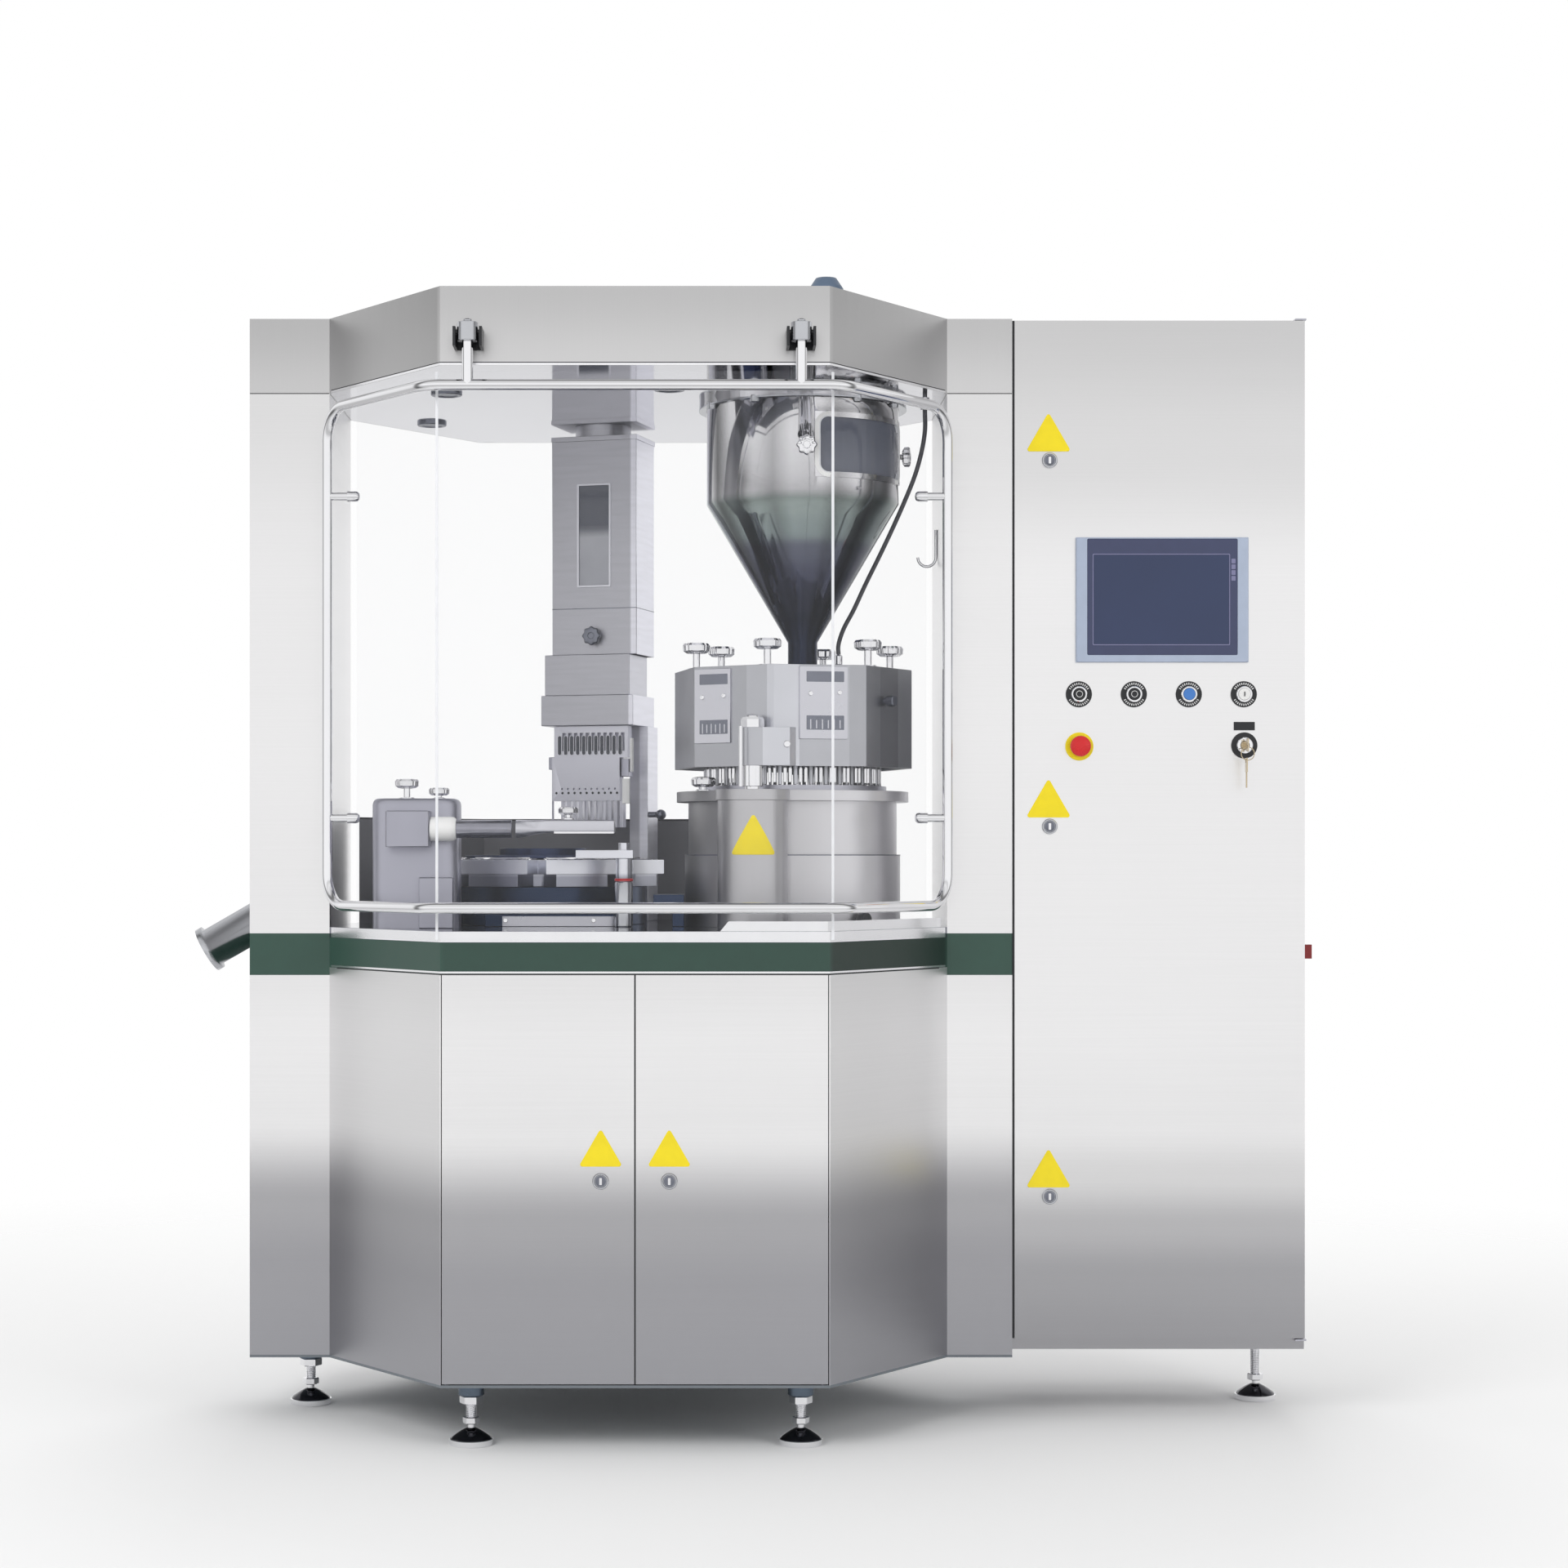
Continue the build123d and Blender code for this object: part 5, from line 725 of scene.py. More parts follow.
def piece(name, shells, finish_name, body="frame", slot="polished_steel", replaces=(), angle=32.0):
    """One dressed object from closed shells in drawing millimetres, on a body. The slot argument is not
    used.
    """
    starts = np.cumsum([0] + [len(points) for points, _ in shells[:-1]])
    points = place(np.concatenate([points for points, _ in shells]))
    faces = np.concatenate([quads + start for (_, quads), start in zip(shells, starts)])
    mesh = bpy.data.meshes.new(name)
    mesh.from_pydata(points.tolist(), [], faces.tolist())
    weld(mesh)
    shade(mesh, angle)
    mesh.materials.append(finish[finish_name])
    made = bpy.data.objects.new(name, mesh)
    bpy.context.scene.collection.objects.link(made)
    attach(made, body)
    if replaces:
        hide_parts(*replaces)
    return made


def refined(node_name, finish_name, bevel=0.0, angle=30.0):
    """Welded copy of a CAD piece with smooth round faces and, on request, softly broken edges."""
    mesh = nodes[node_name].data.copy()
    weld(mesh, outward=False)
    if bevel:
        work = bmesh.new()
        work.from_mesh(mesh)
        bmesh.ops.dissolve_limit(work, angle_limit=np.radians(0.6), verts=work.verts, edges=work.edges)
        work.to_mesh(mesh)
        work.free()
    shade(mesh, angle)
    mesh.materials.clear()
    mesh.materials.append(finish[finish_name])
    made = bpy.data.objects.new(f"{node_name}_dressed", mesh)
    bpy.context.scene.collection.objects.link(made)
    if bevel:
        soften = made.modifiers.new("broken_edges", "BEVEL")
        soften.width = bevel / 1000
        soften.segments = 2
        soften.limit_method = "ANGLE"
        soften.angle_limit = np.radians(40)
        soften.use_clamp_overlap = True
        soften.harden_normals = True
    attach(made, homes[node_name])
    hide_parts(node_name)
    return made


print("helpers ready for", len(slots), "CAD pieces")

# %% [markdown]
# ## Front guard
# The guard is a clear sheet bent over three facets with a polished tube in front of it.
# The tube is one loop with eight round corners, carried along a closed path; two rods
# rise from its top run to the collars that it hangs from, and four stub posts with
# domed ends hold the sheet. Pale upright lines on the bends of the clear sheet are painted highlights.

# %% Guard tubes
DECK = 945.0
HEADER_FOOT = 1968.0
FACET_HALF = 352.0
SIDE_HALF = 592.0
WING_X = 240.0
WING_Y = 320.0
GUARD_HALF = 586.0
LOOP_OUT = 45.0
LOOP_R = 10.0
LOOP_CORNER = 60.0
PIVOT_Z = HEADER_FOOT + 52.0
HANGER_X = 299.0
WING_SLOPE = WING_Y / WING_X
OUTWARD = (np.hypot(WING_X, WING_Y) - WING_X) / WING_Y  # how far a bend moves out per millimetre


def wing_depth(x, out):
    """Depth of the wing plane at half width x, moved outwards by out."""
    return -out + (x - FACET_HALF - out * OUTWARD) * WING_SLOPE


bend = FACET_HALF + LOOP_OUT * OUTWARD
loop_y = wing_depth(GUARD_HALF, LOOP_OUT)
low, high = DECK + 43.0, HEADER_FOOT - 43.0
low_run = [(-GUARD_HALF, loop_y, low), (-bend, -LOOP_OUT, low), (bend, -LOOP_OUT, low),
           (GUARD_HALF, loop_y, low)]
high_run = [(x, y, high) for x, y, _ in reversed(low_run)]
loop = tube(rounded_path(low_run + high_run, LOOP_CORNER, closed=True, steps=10), LOOP_R, closed=True,
            sides=24)
guard_shells = [loop]
for side in (-1, 1):
    guard_shells.append(turned([(LOOP_R, 0), (LOOP_R, PIVOT_Z - high)],
                               (side * HANGER_X, -LOOP_OUT, high)))
    post_axes = ((0, 1, 0), (0, 0, 1)) if side < 0 else ((0, -1, 0), (0, 0, 1))
    post = [(7.5, 0), (7.5, 34), (10, 34.5), (10, 50), (9, 54), (6, 57), (2, 58)]
    for z in (low + 165.0, high - 165.0):
        guard_shells.append(turned(post, (side * (GUARD_HALF - 4), loop_y, z), post_axes, 28))
piece("guard_tube_loop", guard_shells, "chrome", "guard", "polished_steel", ("guard_tubes",))
collar = [(17.5, -17), (18.7, -15.8), (18.7, 15.8), (17.5, 17), (8, 17), (8, 21), (6.5, 23)]
collars = [turned(collar, (side * HANGER_X, -LOOP_OUT, PIVOT_Z), sides=36) for side in (-1, 1)]
piece("guard_collars", collars, "collar", "guard", "polished_steel")
print("guard loop of", len(loop[1]), "faces")

# %% Clear sheet
GUARD_OUT = 10.0
SHEET = 8.0
BEND_R = 14.0
sheet_low, sheet_high = DECK - 17.0, HEADER_FOOT - 12.0


def bent_sheet(out_face, half):
    """Line over the three facets at a distance out_face, with round bends, in plan."""
    x = FACET_HALF + out_face * OUTWARD
    ends = wing_depth(half, out_face)
    return rounded_path([(-half, ends, 0), (-x, -out_face, 0), (x, -out_face, 0), (half, ends, 0)],
                        BEND_R)


outer = bent_sheet(GUARD_OUT, GUARD_HALF)
inner = bent_sheet(GUARD_OUT - SHEET, GUARD_HALF)
section = np.stack([np.concatenate([outer + (0, 0, sheet_low), inner[::-1] + (0, 0, sheet_low)]),
                    np.concatenate([outer + (0, 0, sheet_high), inner[::-1] + (0, 0, sheet_high)])])
count = len(outer)
walls = surface(section, wrap_v=True)
low_cap = surface(np.stack([outer + (0, 0, sheet_low), inner + (0, 0, sheet_low)]))
high_cap = surface(np.stack([outer + (0, 0, sheet_high), inner + (0, 0, sheet_high)]))
piece("guard_sheet", [walls, low_cap, high_cap], "guard_clear", "guard", "clear_sheet",
      ("guard_window",))
bend_at = FACET_HALF + GUARD_OUT * OUTWARD
# Pale strips on the bends: painted highlights.
lines = [box_shell(x - 2.5, x + 2.5, -GUARD_OUT - 0.6, -GUARD_OUT + 0.4, sheet_low + 2, sheet_high - 2,
                   0.2, 0.3) for x in (-bend_at, bend_at)]
piece("guard_bend_highlights", lines, "pale_edge", "guard", "clear_sheet")
print("clear sheet with", count, "points along its plan")

# %% Hanger brackets
refined("guard_brackets", "black", 1.0)

# %% [markdown]
# ## Locks and blank plates
# The quarter-turn locks are small turned heads: a polished rim, a hollow face and a
# slot. Above each lock sits a plain yellow plate with round corners, a little proud of
# the sheet. Each lock head rides on its own turning piece, the plates on their doors.

# %% Locks
LOCK_R = 15.0
lock_spots = {
    "left_door_lock": (-62.0, 0.0, 494.0),
    "right_door_lock": (62.0, 0.0, 494.0),
    "cabinet_lock_upper": (788.0, 316.0, 1839.0),
    "cabinet_lock_middle": (788.0, 316.0, 1137.8),
    "cabinet_lock_lower": (788.0, 316.0, 429.0),
}
lock_rim = [(LOCK_R, 0.2), (LOCK_R, 3.6), (LOCK_R - 1.2, 4.8), (LOCK_R - 3.2, 4.8), (LOCK_R - 4.2, 3.7)]
for name, (x, y, z) in lock_spots.items():
    piece(f"{name}_rim", [turned(lock_rim, (x, y, z), FRONT, 36)], "collar", name, "polished_steel")
    core = [(LOCK_R - 5.0, 3.2), (LOCK_R - 5.0, 4.4), (LOCK_R - 6.0, 4.9)]
    piece(f"{name}_core", [turned(core, (x, y, z), FRONT, 30)], "dark_steel", name, "machined_steel")
    bar = plate(rounded_outline(5.0, 13.0, 1.0, 3), 1.0, (x, y - 4.7, z), FRONT, 0.3)
    piece(f"{name}_slot", [bar], "chrome", name, "polished_steel")

# %% Blank plates
PLATE_RISE = 1.2


def triangle_outline(side, radius=4.0, steps=5):
    """Triangle with round corners: three arcs about centres at radius from both neighbouring edges."""
    away = side / np.sqrt(3) - 2 * radius
    at = np.radians([90, 210, 330])
    middle = np.column_stack([np.cos(at), np.sin(at)]) * away
    sweep = at[:, None] + np.linspace(-np.pi / 3, np.pi / 3, steps)[None, :]
    arc = np.stack([np.cos(sweep), np.sin(sweep)], axis=-1) * radius
    return (middle[:, None] + arc).reshape(-1, 2)


DOOR_PLATE = 80.0
CABINET_PLATE = 87.0
plate_homes = [("left_door", -62.0, 0.0, 494.0, DOOR_PLATE),
               ("right_door", 62.0, 0.0, 494.0, DOOR_PLATE)]
plate_homes += [("cabinet_door", 786.0, 316.0, z, CABINET_PLATE) for z in (1839.0, 1137.8, 429.0)]
for index, (body, x, y, lock_z, side) in enumerate(plate_homes):
    middle_z = lock_z + (26.0 if body != "cabinet_door" else 17.0) + side * 0.29
    shell = plate(triangle_outline(side), PLATE_RISE, (x, y, middle_z), FRONT, 0.6)
    piece(f"blank_plate_{index + 1}", [shell], "yellow", body, "yellow_plastic")
    border = triangle_outline(side * 0.84, 3.0)
    hollow = triangle_outline(side * 0.75, 2.6)
    levels = ((hollow, 0.9), (border, 0.9), (border, PLATE_RISE + 0.25), (hollow, PLATE_RISE + 0.25))
    rings = np.stack([np.column_stack([ring, np.full(len(ring), h)]) for ring, h in levels])
    points, quads = surface(rings, wrap_u=True, wrap_v=True)
    rim = (local_to_drawing(points, (x, y, middle_z), *FRONT), quads)
    piece(f"blank_plate_rim_{index + 1}", [rim], "yellow", body, "yellow_plastic")
print("plates", len(plate_homes))

# %% [markdown]
# ## Operator panel and controls
# The panel is a moulded bezel round a dark glass, with the lit area behind it. Each
# push-button is a turned cap in a bright ring on a black legend plate; the stop button
# is a red mushroom on a yellow plate. All of them are round, so each is one profile
# turned about the axis that looks out of the door. The legend plates carry plain tick
# marks only.

# %% Rings
def ring_between(outer, inner, low, high, origin, axes=FRONT, edge=0.5):
    """Closed band between two outlines with the same number of points, its outer edge eased."""
    middle = outer.mean(axis=0)
    reach = np.linalg.norm(outer - middle, axis=1, keepdims=True)
    eased = middle + (outer - middle) * (1 - edge / reach)
    levels = ((inner, low), (outer, low), (outer, high - edge), (eased, high), (inner, high))
    rings = np.stack([np.column_stack([ring, np.full(len(ring), h)]) for ring, h in levels])
    points, quads = surface(rings, wrap_u=True, wrap_v=True)
    return local_to_drawing(points, origin, *axes), quads


def round_outline(radius, steps=40, start=0.0, end=2 * np.pi):
    """Circle of a radius: (r cos t, r sin t)."""
    turn = np.linspace(start, end, steps, endpoint=False)
    return np.column_stack([np.cos(turn), np.sin(turn)]) * radius


DOOR_FACE = 316.0
CABINET_X0 = 717.0
PANEL_X0 = CABINET_X0 + 121.0
PANEL_W = 330.0
PANEL_Z0 = 1452.0
PANEL_H = 239.0
panel_middle = (PANEL_X0 + PANEL_W / 2, DOOR_FACE - 6.0, PANEL_Z0 + PANEL_H / 2)

# %% Operator panel
bezel_out = rounded_outline(PANEL_W, PANEL_H, 5.0)
GLASS_W = 288.0
GLASS_H = 223.0
GLASS_UP = 5.5
glass_out = rounded_outline(GLASS_W, GLASS_H, 3.0) + (0, GLASS_UP)
bezel = ring_between(bezel_out, glass_out, -1.0, 2.2, panel_middle, edge=1.6)
piece("panel_bezel", [bezel], "bezel", "cabinet_door", "panel_grey")
x, y, z = panel_middle
glass = plate(rounded_outline(GLASS_W, GLASS_H, 3.0), 1.4, (x, y, z + GLASS_UP), FRONT, 0.3)
piece("panel_glass", [glass], "glass", "cabinet_door", "black_plastic")
SCREEN_W = 258.0
SCREEN_H = 170.0
screen_at = (x - 2.0, y - 1.4, z + 0.5)
lit = plate(rounded_outline(SCREEN_W, SCREEN_H, 1.5), 0.25, screen_at, FRONT, 0.1)
piece("panel_screen", [lit], "screen", "cabinet_door", "black_plastic")
line_out = rounded_outline(SCREEN_W + 5.0, SCREEN_H + 5.0, 2.5)
line_in = rounded_outline(SCREEN_W + 2.0, SCREEN_H + 2.0, 1.5)
piece("panel_line", [ring_between(line_out, line_in, 0.0, 0.3, screen_at, edge=0.1)], "screen_line",
      "cabinet_door", "black_plastic")
KEY_W = 8.0
soft_keys = [plate(rounded_outline(KEY_W, 9.0, 1.0, 3), 0.35,
                   (x + SCREEN_W / 2 + 7.0, y - 1.4, z + 74.0 - i * 11.0), FRONT, 0.1)
             for i in range(4)]
piece("panel_soft_keys", soft_keys, "screen_line", "cabinet_door", "black_plastic")

# %% Push-buttons
BUTTON_X0 = CABINET_X0 + 127.0
BUTTON_PITCH = 105.3
CONTROL_Z = 1391.0
PLATE_FACE = DOOR_FACE - 2.0
CAP_FACE = DOOR_FACE - 11.0
caps = {"push_button_1": "black", "push_button_2": "black", "push_button_3": "blue",
        "push_button_4": "white"}
rings = []
ticks = []
cap_profile = [(6.0, -30.0), (6.0, -4.0), (11.5, -4.0), (11.5, -1.4), (10.4, -0.3), (8.5, -0.2),
               (4.0, -0.7)]
for index, (name, colour) in enumerate(caps.items()):
    x = BUTTON_X0 + BUTTON_PITCH * index
    piece(f"{name}_cap", [turned(cap_profile, (x, CAP_FACE, CONTROL_Z), FRONT)], colour, name,
          slots[name], (name,))
    rings.append(ring_between(round_outline(15.4), round_outline(12.0), 0.0, 6.8,
                              (x, PLATE_FACE, CONTROL_Z), edge=1.2))
    for start in (0.18, 1.18):
        turn = np.pi * (start + np.linspace(0, 0.64, 11))
        for at in turn:
            along = (-np.sin(at), 0, np.cos(at))
            outward = (np.cos(at), 0, np.sin(at))
            spot = np.array([x, PLATE_FACE, CONTROL_Z]) + np.array(outward) * 20.2
            ticks.append(plate(rounded_outline(1.9, 4.2, 0.4, 2), 0.35, spot,
                               (tuple(-np.array(along)), outward), 0.1))
piece("button_rings", rings, "chrome", "cabinet_door", "polished_steel")
piece("legend_ticks", ticks, "pale_mark", "cabinet_door", "white_plastic")
start_x = BUTTON_X0 + 3 * BUTTON_PITCH
piece("start_mark", [plate(rounded_outline(1.8, 9.0, 0.5, 3), 0.5, (start_x, CAP_FACE - 0.1, CONTROL_Z),
                           FRONT, 0.1)], "black", "push_button_4", "black_plastic")
for x in (BUTTON_X0, BUTTON_X0 + BUTTON_PITCH):
    name = "push_button_1" if x == BUTTON_X0 else "push_button_2"
    dot = ring_between(round_outline(6.4, 28), round_outline(5.4, 28), -0.6, 0.25,
                       (x, CAP_FACE, CONTROL_Z), edge=0.1)
    piece(f"{name}_mark", [dot], "pale_mark", name, "white_plastic")
print("legend ticks", len(ticks))

# %% Stop button and key switch
STOP_X = BUTTON_X0 + 1.0
STOP_Z = CONTROL_Z - 100.0
STOP_FACE = DOOR_FACE - 13.5
mushroom = [(9.0, -26.0), (9.0, 0.0), (15.0, 0.0), (19.5, 2.0), (20.0, 5.0), (19.2, 8.6), (16.0, 11.0),
            (9.0, 12.3), (3.0, 12.6)]
piece("stop_mushroom", [turned(mushroom, (STOP_X, STOP_FACE, STOP_Z), FRONT, 48)], "red",
      "emergency_stop", "red_plastic", ("emergency_stop",))
stop_ring = ring_between(round_outline(27.0, 48), round_outline(15.0, 48), 0.1, 3.2,
                         (STOP_X, DOOR_FACE, STOP_Z), edge=1.4)
piece("stop_plate_rim", [stop_ring], "yellow", "cabinet_door", "yellow_plastic")
KEY_X = BUTTON_X0 + 3 * BUTTON_PITCH + 1.0
KEY_Z = CONTROL_Z - 98.0
key_ring = ring_between(round_outline(15.4), round_outline(9.0), 0.0, 6.8, (KEY_X, PLATE_FACE, KEY_Z),
                        edge=1.4)
piece("key_ring", [key_ring], "chrome", "cabinet_door", "polished_steel")
refined("switch_key", "brass", 0.3)
ISOLATOR_AT = (1280.0, 530.0, 891.0)
SIDE_FACE = ((0, 1, 0), (0, 0, 1))  # right and up on a face that looks to the machine's right
square = rounded_outline(64.6, 64.6, 6.0, 10)
iso_plate = ring_between(square, round_outline(25.5, 40), 2.0, 12.1, ISOLATOR_AT, SIDE_FACE, 1.5)
piece("isolator_plate", [iso_plate], "yellow", "frame", "yellow_plastic")
refined("isolator_handle", "dark_red", 1.0)

# %% [markdown]
# ## Hand knobs
# The caps and hoods are held by six-lobed hand knobs on turned stems. A knob is a
# profile turned about its axis, with every radius swelling and shrinking six times on
# the way round, which gives the lobes without cutting anything.

# %% Hand knobs
def hand_knob(x, y, z, radius, stem, axes=TOP, lobes=6):
    """Stem with a foot washer, and a lobed head whose radius is r (1 + 0.09 cos 6t)."""
    r = radius
    head = [(0.34 * r, stem - 0.30 * r), (0.66 * r, stem - 0.26 * r), (0.90 * r, stem - 0.08 * r),
            (0.93 * r, stem + 0.30 * r), (0.82 * r, stem + 0.46 * r), (0.50 * r, stem + 0.52 * r),
            (0.34 * r, stem + 0.50 * r), (0.30 * r, stem + 0.44 * r)]
    stalk = [(0.62 * r, 0.0), (0.62 * r, 2.0), (0.50 * r, 3.0), (0.27 * r, 3.4), (0.27 * r, stem + 2.0)]
    return [turned(head, (x, y, z), axes, 60, lobes, 0.075), turned(stalk, (x, y, z), axes, 28)]


POT_TOP = DECK + 241.0
FLANGE_TOP = POT_TOP + 20.0
HOOD_FOOT = FLANGE_TOP + 45.0
HOOD_TOP = HOOD_FOOT + 192.0
knob_turns = np.radians([198, 166, 254, 60, 313, 7])
knob_reach = np.array([198, 143, 196, 130, 204, 194])
head_shells = []
for turn, reach in zip(knob_turns, knob_reach):
    head_shells += hand_knob(DOSE_X + reach * np.cos(turn), DOSE_Y + reach * np.sin(turn), HOOD_TOP,
                             27.0, 38.0)
piece("hood_hand_knobs", head_shells, "chrome", "tamping_head", "machined_steel", ("head_knobs",))

HOUSE_X = -420.0
HOUSE_Y0 = 225.0
HOUSE_TOP = DECK + 245.0
NOZZLE_X = -215.0
NOZZLE_Z = DECK + 187.0
NOZZLE_Y = 200.0


def feeder_axes():
    """Right and up of the feeder's front, turned about the upright by its own angle."""
    return ((np.cos(FEED_TURN), np.sin(FEED_TURN), 0), (0, 0, 1))


def on_feeder(a, b, z):
    """Drawing point a to the right and b behind the feeder's front middle."""
    return (FEED_X + a * np.cos(FEED_TURN) - b * np.sin(FEED_TURN),
            FEED_Y + a * np.sin(FEED_TURN) + b * np.cos(FEED_TURN), z)


HOPPER_R = 188.0
SIGHT_MIDDLE = HEADER_FOOT - 157.0 + 52.0
SIGHT_FROM, SIGHT_TO = -82.0, -18.0  # the window's ends, in degrees about the hopper's axis
static_shells = hand_knob(HOUSE_X - 18, HOUSE_Y0 + 40, HOUSE_TOP, 23.0, 26.0)
static_shells += hand_knob(HOUSE_X + 40, HOUSE_Y0 + 75, HOUSE_TOP, 20.0, 12.0)
static_shells += hand_knob(NOZZLE_X + 85, NOZZLE_Y + 20, NOZZLE_Z + 18, 19.0, 14.0)
static_shells += hand_knob(DOSE_X - 175, DOSE_Y - 140, FLANGE_TOP, 24.0, 14.0)
for degrees in (SIGHT_FROM - 8.0, SIGHT_TO + 8.0):
    turn = np.radians(degrees)
    outward = np.array([np.cos(turn), np.sin(turn), 0])
    axes = ((-np.sin(turn), np.cos(turn), 0), (0, 0, 1))
    start = (HOPPER_X + HOPPER_R * outward[0], HOPPER_Y + HOPPER_R * outward[1], SIGHT_MIDDLE - 4.0)
    static_shells += hand_knob(*start, 20.0, 14.0, axes, 8)
probe_top = HOOD_TOP + 38.0
probe = [(6.0, -192.0), (6.0, -20.0), (8.6, -19.0), (8.6, -3.0), (7.0, -1.0), (5.5, 0.0)]
static_shells.append(turned(probe, (394.0, 520.0, probe_top)))
static_shells.append(turned([(9.0, -12.0), (9.0, 0.0)], (560.0, 450.0, HEADER_FOOT)))
HOOK_AT = np.array([SIDE_HALF - 3.0, 540.0, 1676.0])
bow = np.linspace(0, np.pi, 14)
hook_line = np.vstack([HOOK_AT + (0, 0, 55), HOOK_AT + (0, 0, 20),
                       HOOK_AT + np.column_stack([18 * np.cos(bow) - 18, 0 * bow, -18 * np.sin(bow)])])
static_shells.append(tube(hook_line, 3.0, (0, 1, 0), sides=12))
piece("fixed_hand_knobs", static_shells, "chrome", "frame", "machined_steel", ("inner_fittings",))
mag_knob = hand_knob(*on_feeder(0, 0, 1538.0), 20.0, 12.0, feeder_axes(), 8)
piece("magazine_hand_knob", mag_knob, "dark_steel", "frame", "machined_steel")
lamp_spots = [(-367.0, 312.0), (367.0, 800.0), (-430.0, 700.0), (60.0, 250.0)]
lamps = [turned([(30.0, 0.0), (30.0, 4.5), (28.5, 6.0), (22.0, 6.0), (20.0, 4.5)], (x, y, HEADER_FOOT),
                ((1, 0, 0), (0, -1, 0)), 36) for x, y in lamp_spots]
piece("ceiling_lamps", lamps, "dark_steel", "frame", "machined_steel")
print("knob shells", len(head_shells) + len(static_shells))

# %% [markdown]
# ## Dosing station
# The hood is an eight-sided casting whose faces carry painted light and shade. Two of its
# faces carry window plates with a dark upper opening and a slotted lower one, held by small
# screws; the dark plates in the openings are painted shade. It rides on two ground pillars
# with cap nuts, and below it stands a dense ring of thin pins. One pin is a few faces only,
# because there are so many of them.

# %% Hood and pillars
head = refined("tamping_head", "head", 1.5)
work = bmesh.new()
work.from_mesh(head.data)
for corner, radius, segments in (((193.0, 192.0), 22.0, 8), ((298.0, 192.0), 12.0, 1)):
    spot = place([*corner, 0.0])[:2]
    upright = [edge for edge in work.edges if all(np.hypot(*(np.array(v.co[:2]) - spot)) < 2e-4
                                                  for v in edge.verts)]
    bmesh.ops.bevel(work, geom=upright, offset=radius / 1000, segments=segments, affect="EDGES",
                    profile=0.5)
    print("boss corner edges", len(upright))
work.to_mesh(head.data)
work.free()
shade(head.data, 24.0)
PIN_RING = 170.0
PIN_FOOT = FLANGE_TOP + 16.0  # clear of the disc when the head is 4 mm down
PIN_HEAD = HOOD_FOOT + 40.0
PIN_COUNT = 108
pin_turns = 2 * np.pi * np.arange(PIN_COUNT) / PIN_COUNT
pin_turns = pin_turns[np.arange(PIN_COUNT) % 3 > 0]  # every third place has its pin in the CAD hood
pins = [turned([(3.6, 0.0), (3.6, PIN_HEAD - PIN_FOOT)],
               (DOSE_X + PIN_RING * np.cos(t), DOSE_Y + PIN_RING * np.sin(t), PIN_FOOT), sides=10)
        for t in pin_turns]
piece("tamping_pins", pins, "chrome", "tamping_head", "machined_steel")
pillar_shells = []
nut_shells = []
NUT_FOOT = HOOD_FOOT + 72.0
for sign in (1, -1):
    spot = (DOSE_X - 83.0 * sign, DOSE_Y - 234.0 * sign)
    pillar_shells.append(turned([(14.8, -80.0), (15.5, -79.0), (15.5, NUT_FOOT - FLANGE_TOP)],
                                (*spot, FLANGE_TOP)))
    sleeve = [(17.0, 6.0), (20.0, 6.0), (21.0, 7.0), (21.0, HOOD_FOOT - FLANGE_TOP)]
    pillar_shells.append(turned(sleeve, (*spot, FLANGE_TOP)))
    nut_shells.append(turned([(21.9, 0.0), (21.9, 15.0), (19.0, 19.5)], (*spot, NUT_FOOT), sides=6))
    nut_shells.append(turned([(14.0, 19.0), (13.0, 22.0), (9.0, 24.5), (3.0, 25.5)], (*spot, NUT_FOOT)))
piece("pillar_rods", pillar_shells, "chrome", "tamping_head", "polished_steel", ("guide_pillars",))
piece("pillar_cap_nuts", nut_shells, "bright", "tamping_head", "polished_steel", angle=24.0)
rod = turned([(4.0, 5.0), (4.0, 118.0)], (194.0, 176.0, FLANGE_TOP), sides=16)
piece("head_rod", [rod], "chrome", "tamping_head", "polished_steel")
screw = [(6.5, 0.0), (6.5, 4.0), (5.6, 5.0), (3.2, 5.0), (3.0, 2.5)]
small_screw = [(4.6, 0.0), (4.6, 2.2), (3.9, 3.0), (2.2, 3.0), (2.0, 1.6)]
screws = [turned(screw, (281.0, 192.0, 1291.0), FRONT, 24)]
print("pins", len(pins))

# %% Window plates
APOTHEM = 217.0


def hood_face(degrees):
    """Middle line of a hood face and its right and up, seen from outside."""
    turn = np.radians(degrees)
    middle = np.array([DOSE_X + APOTHEM * np.cos(turn), DOSE_Y + APOTHEM * np.sin(turn), 0.0])
    return middle, ((-np.sin(turn), np.cos(turn), 0.0), (0, 0, 1))


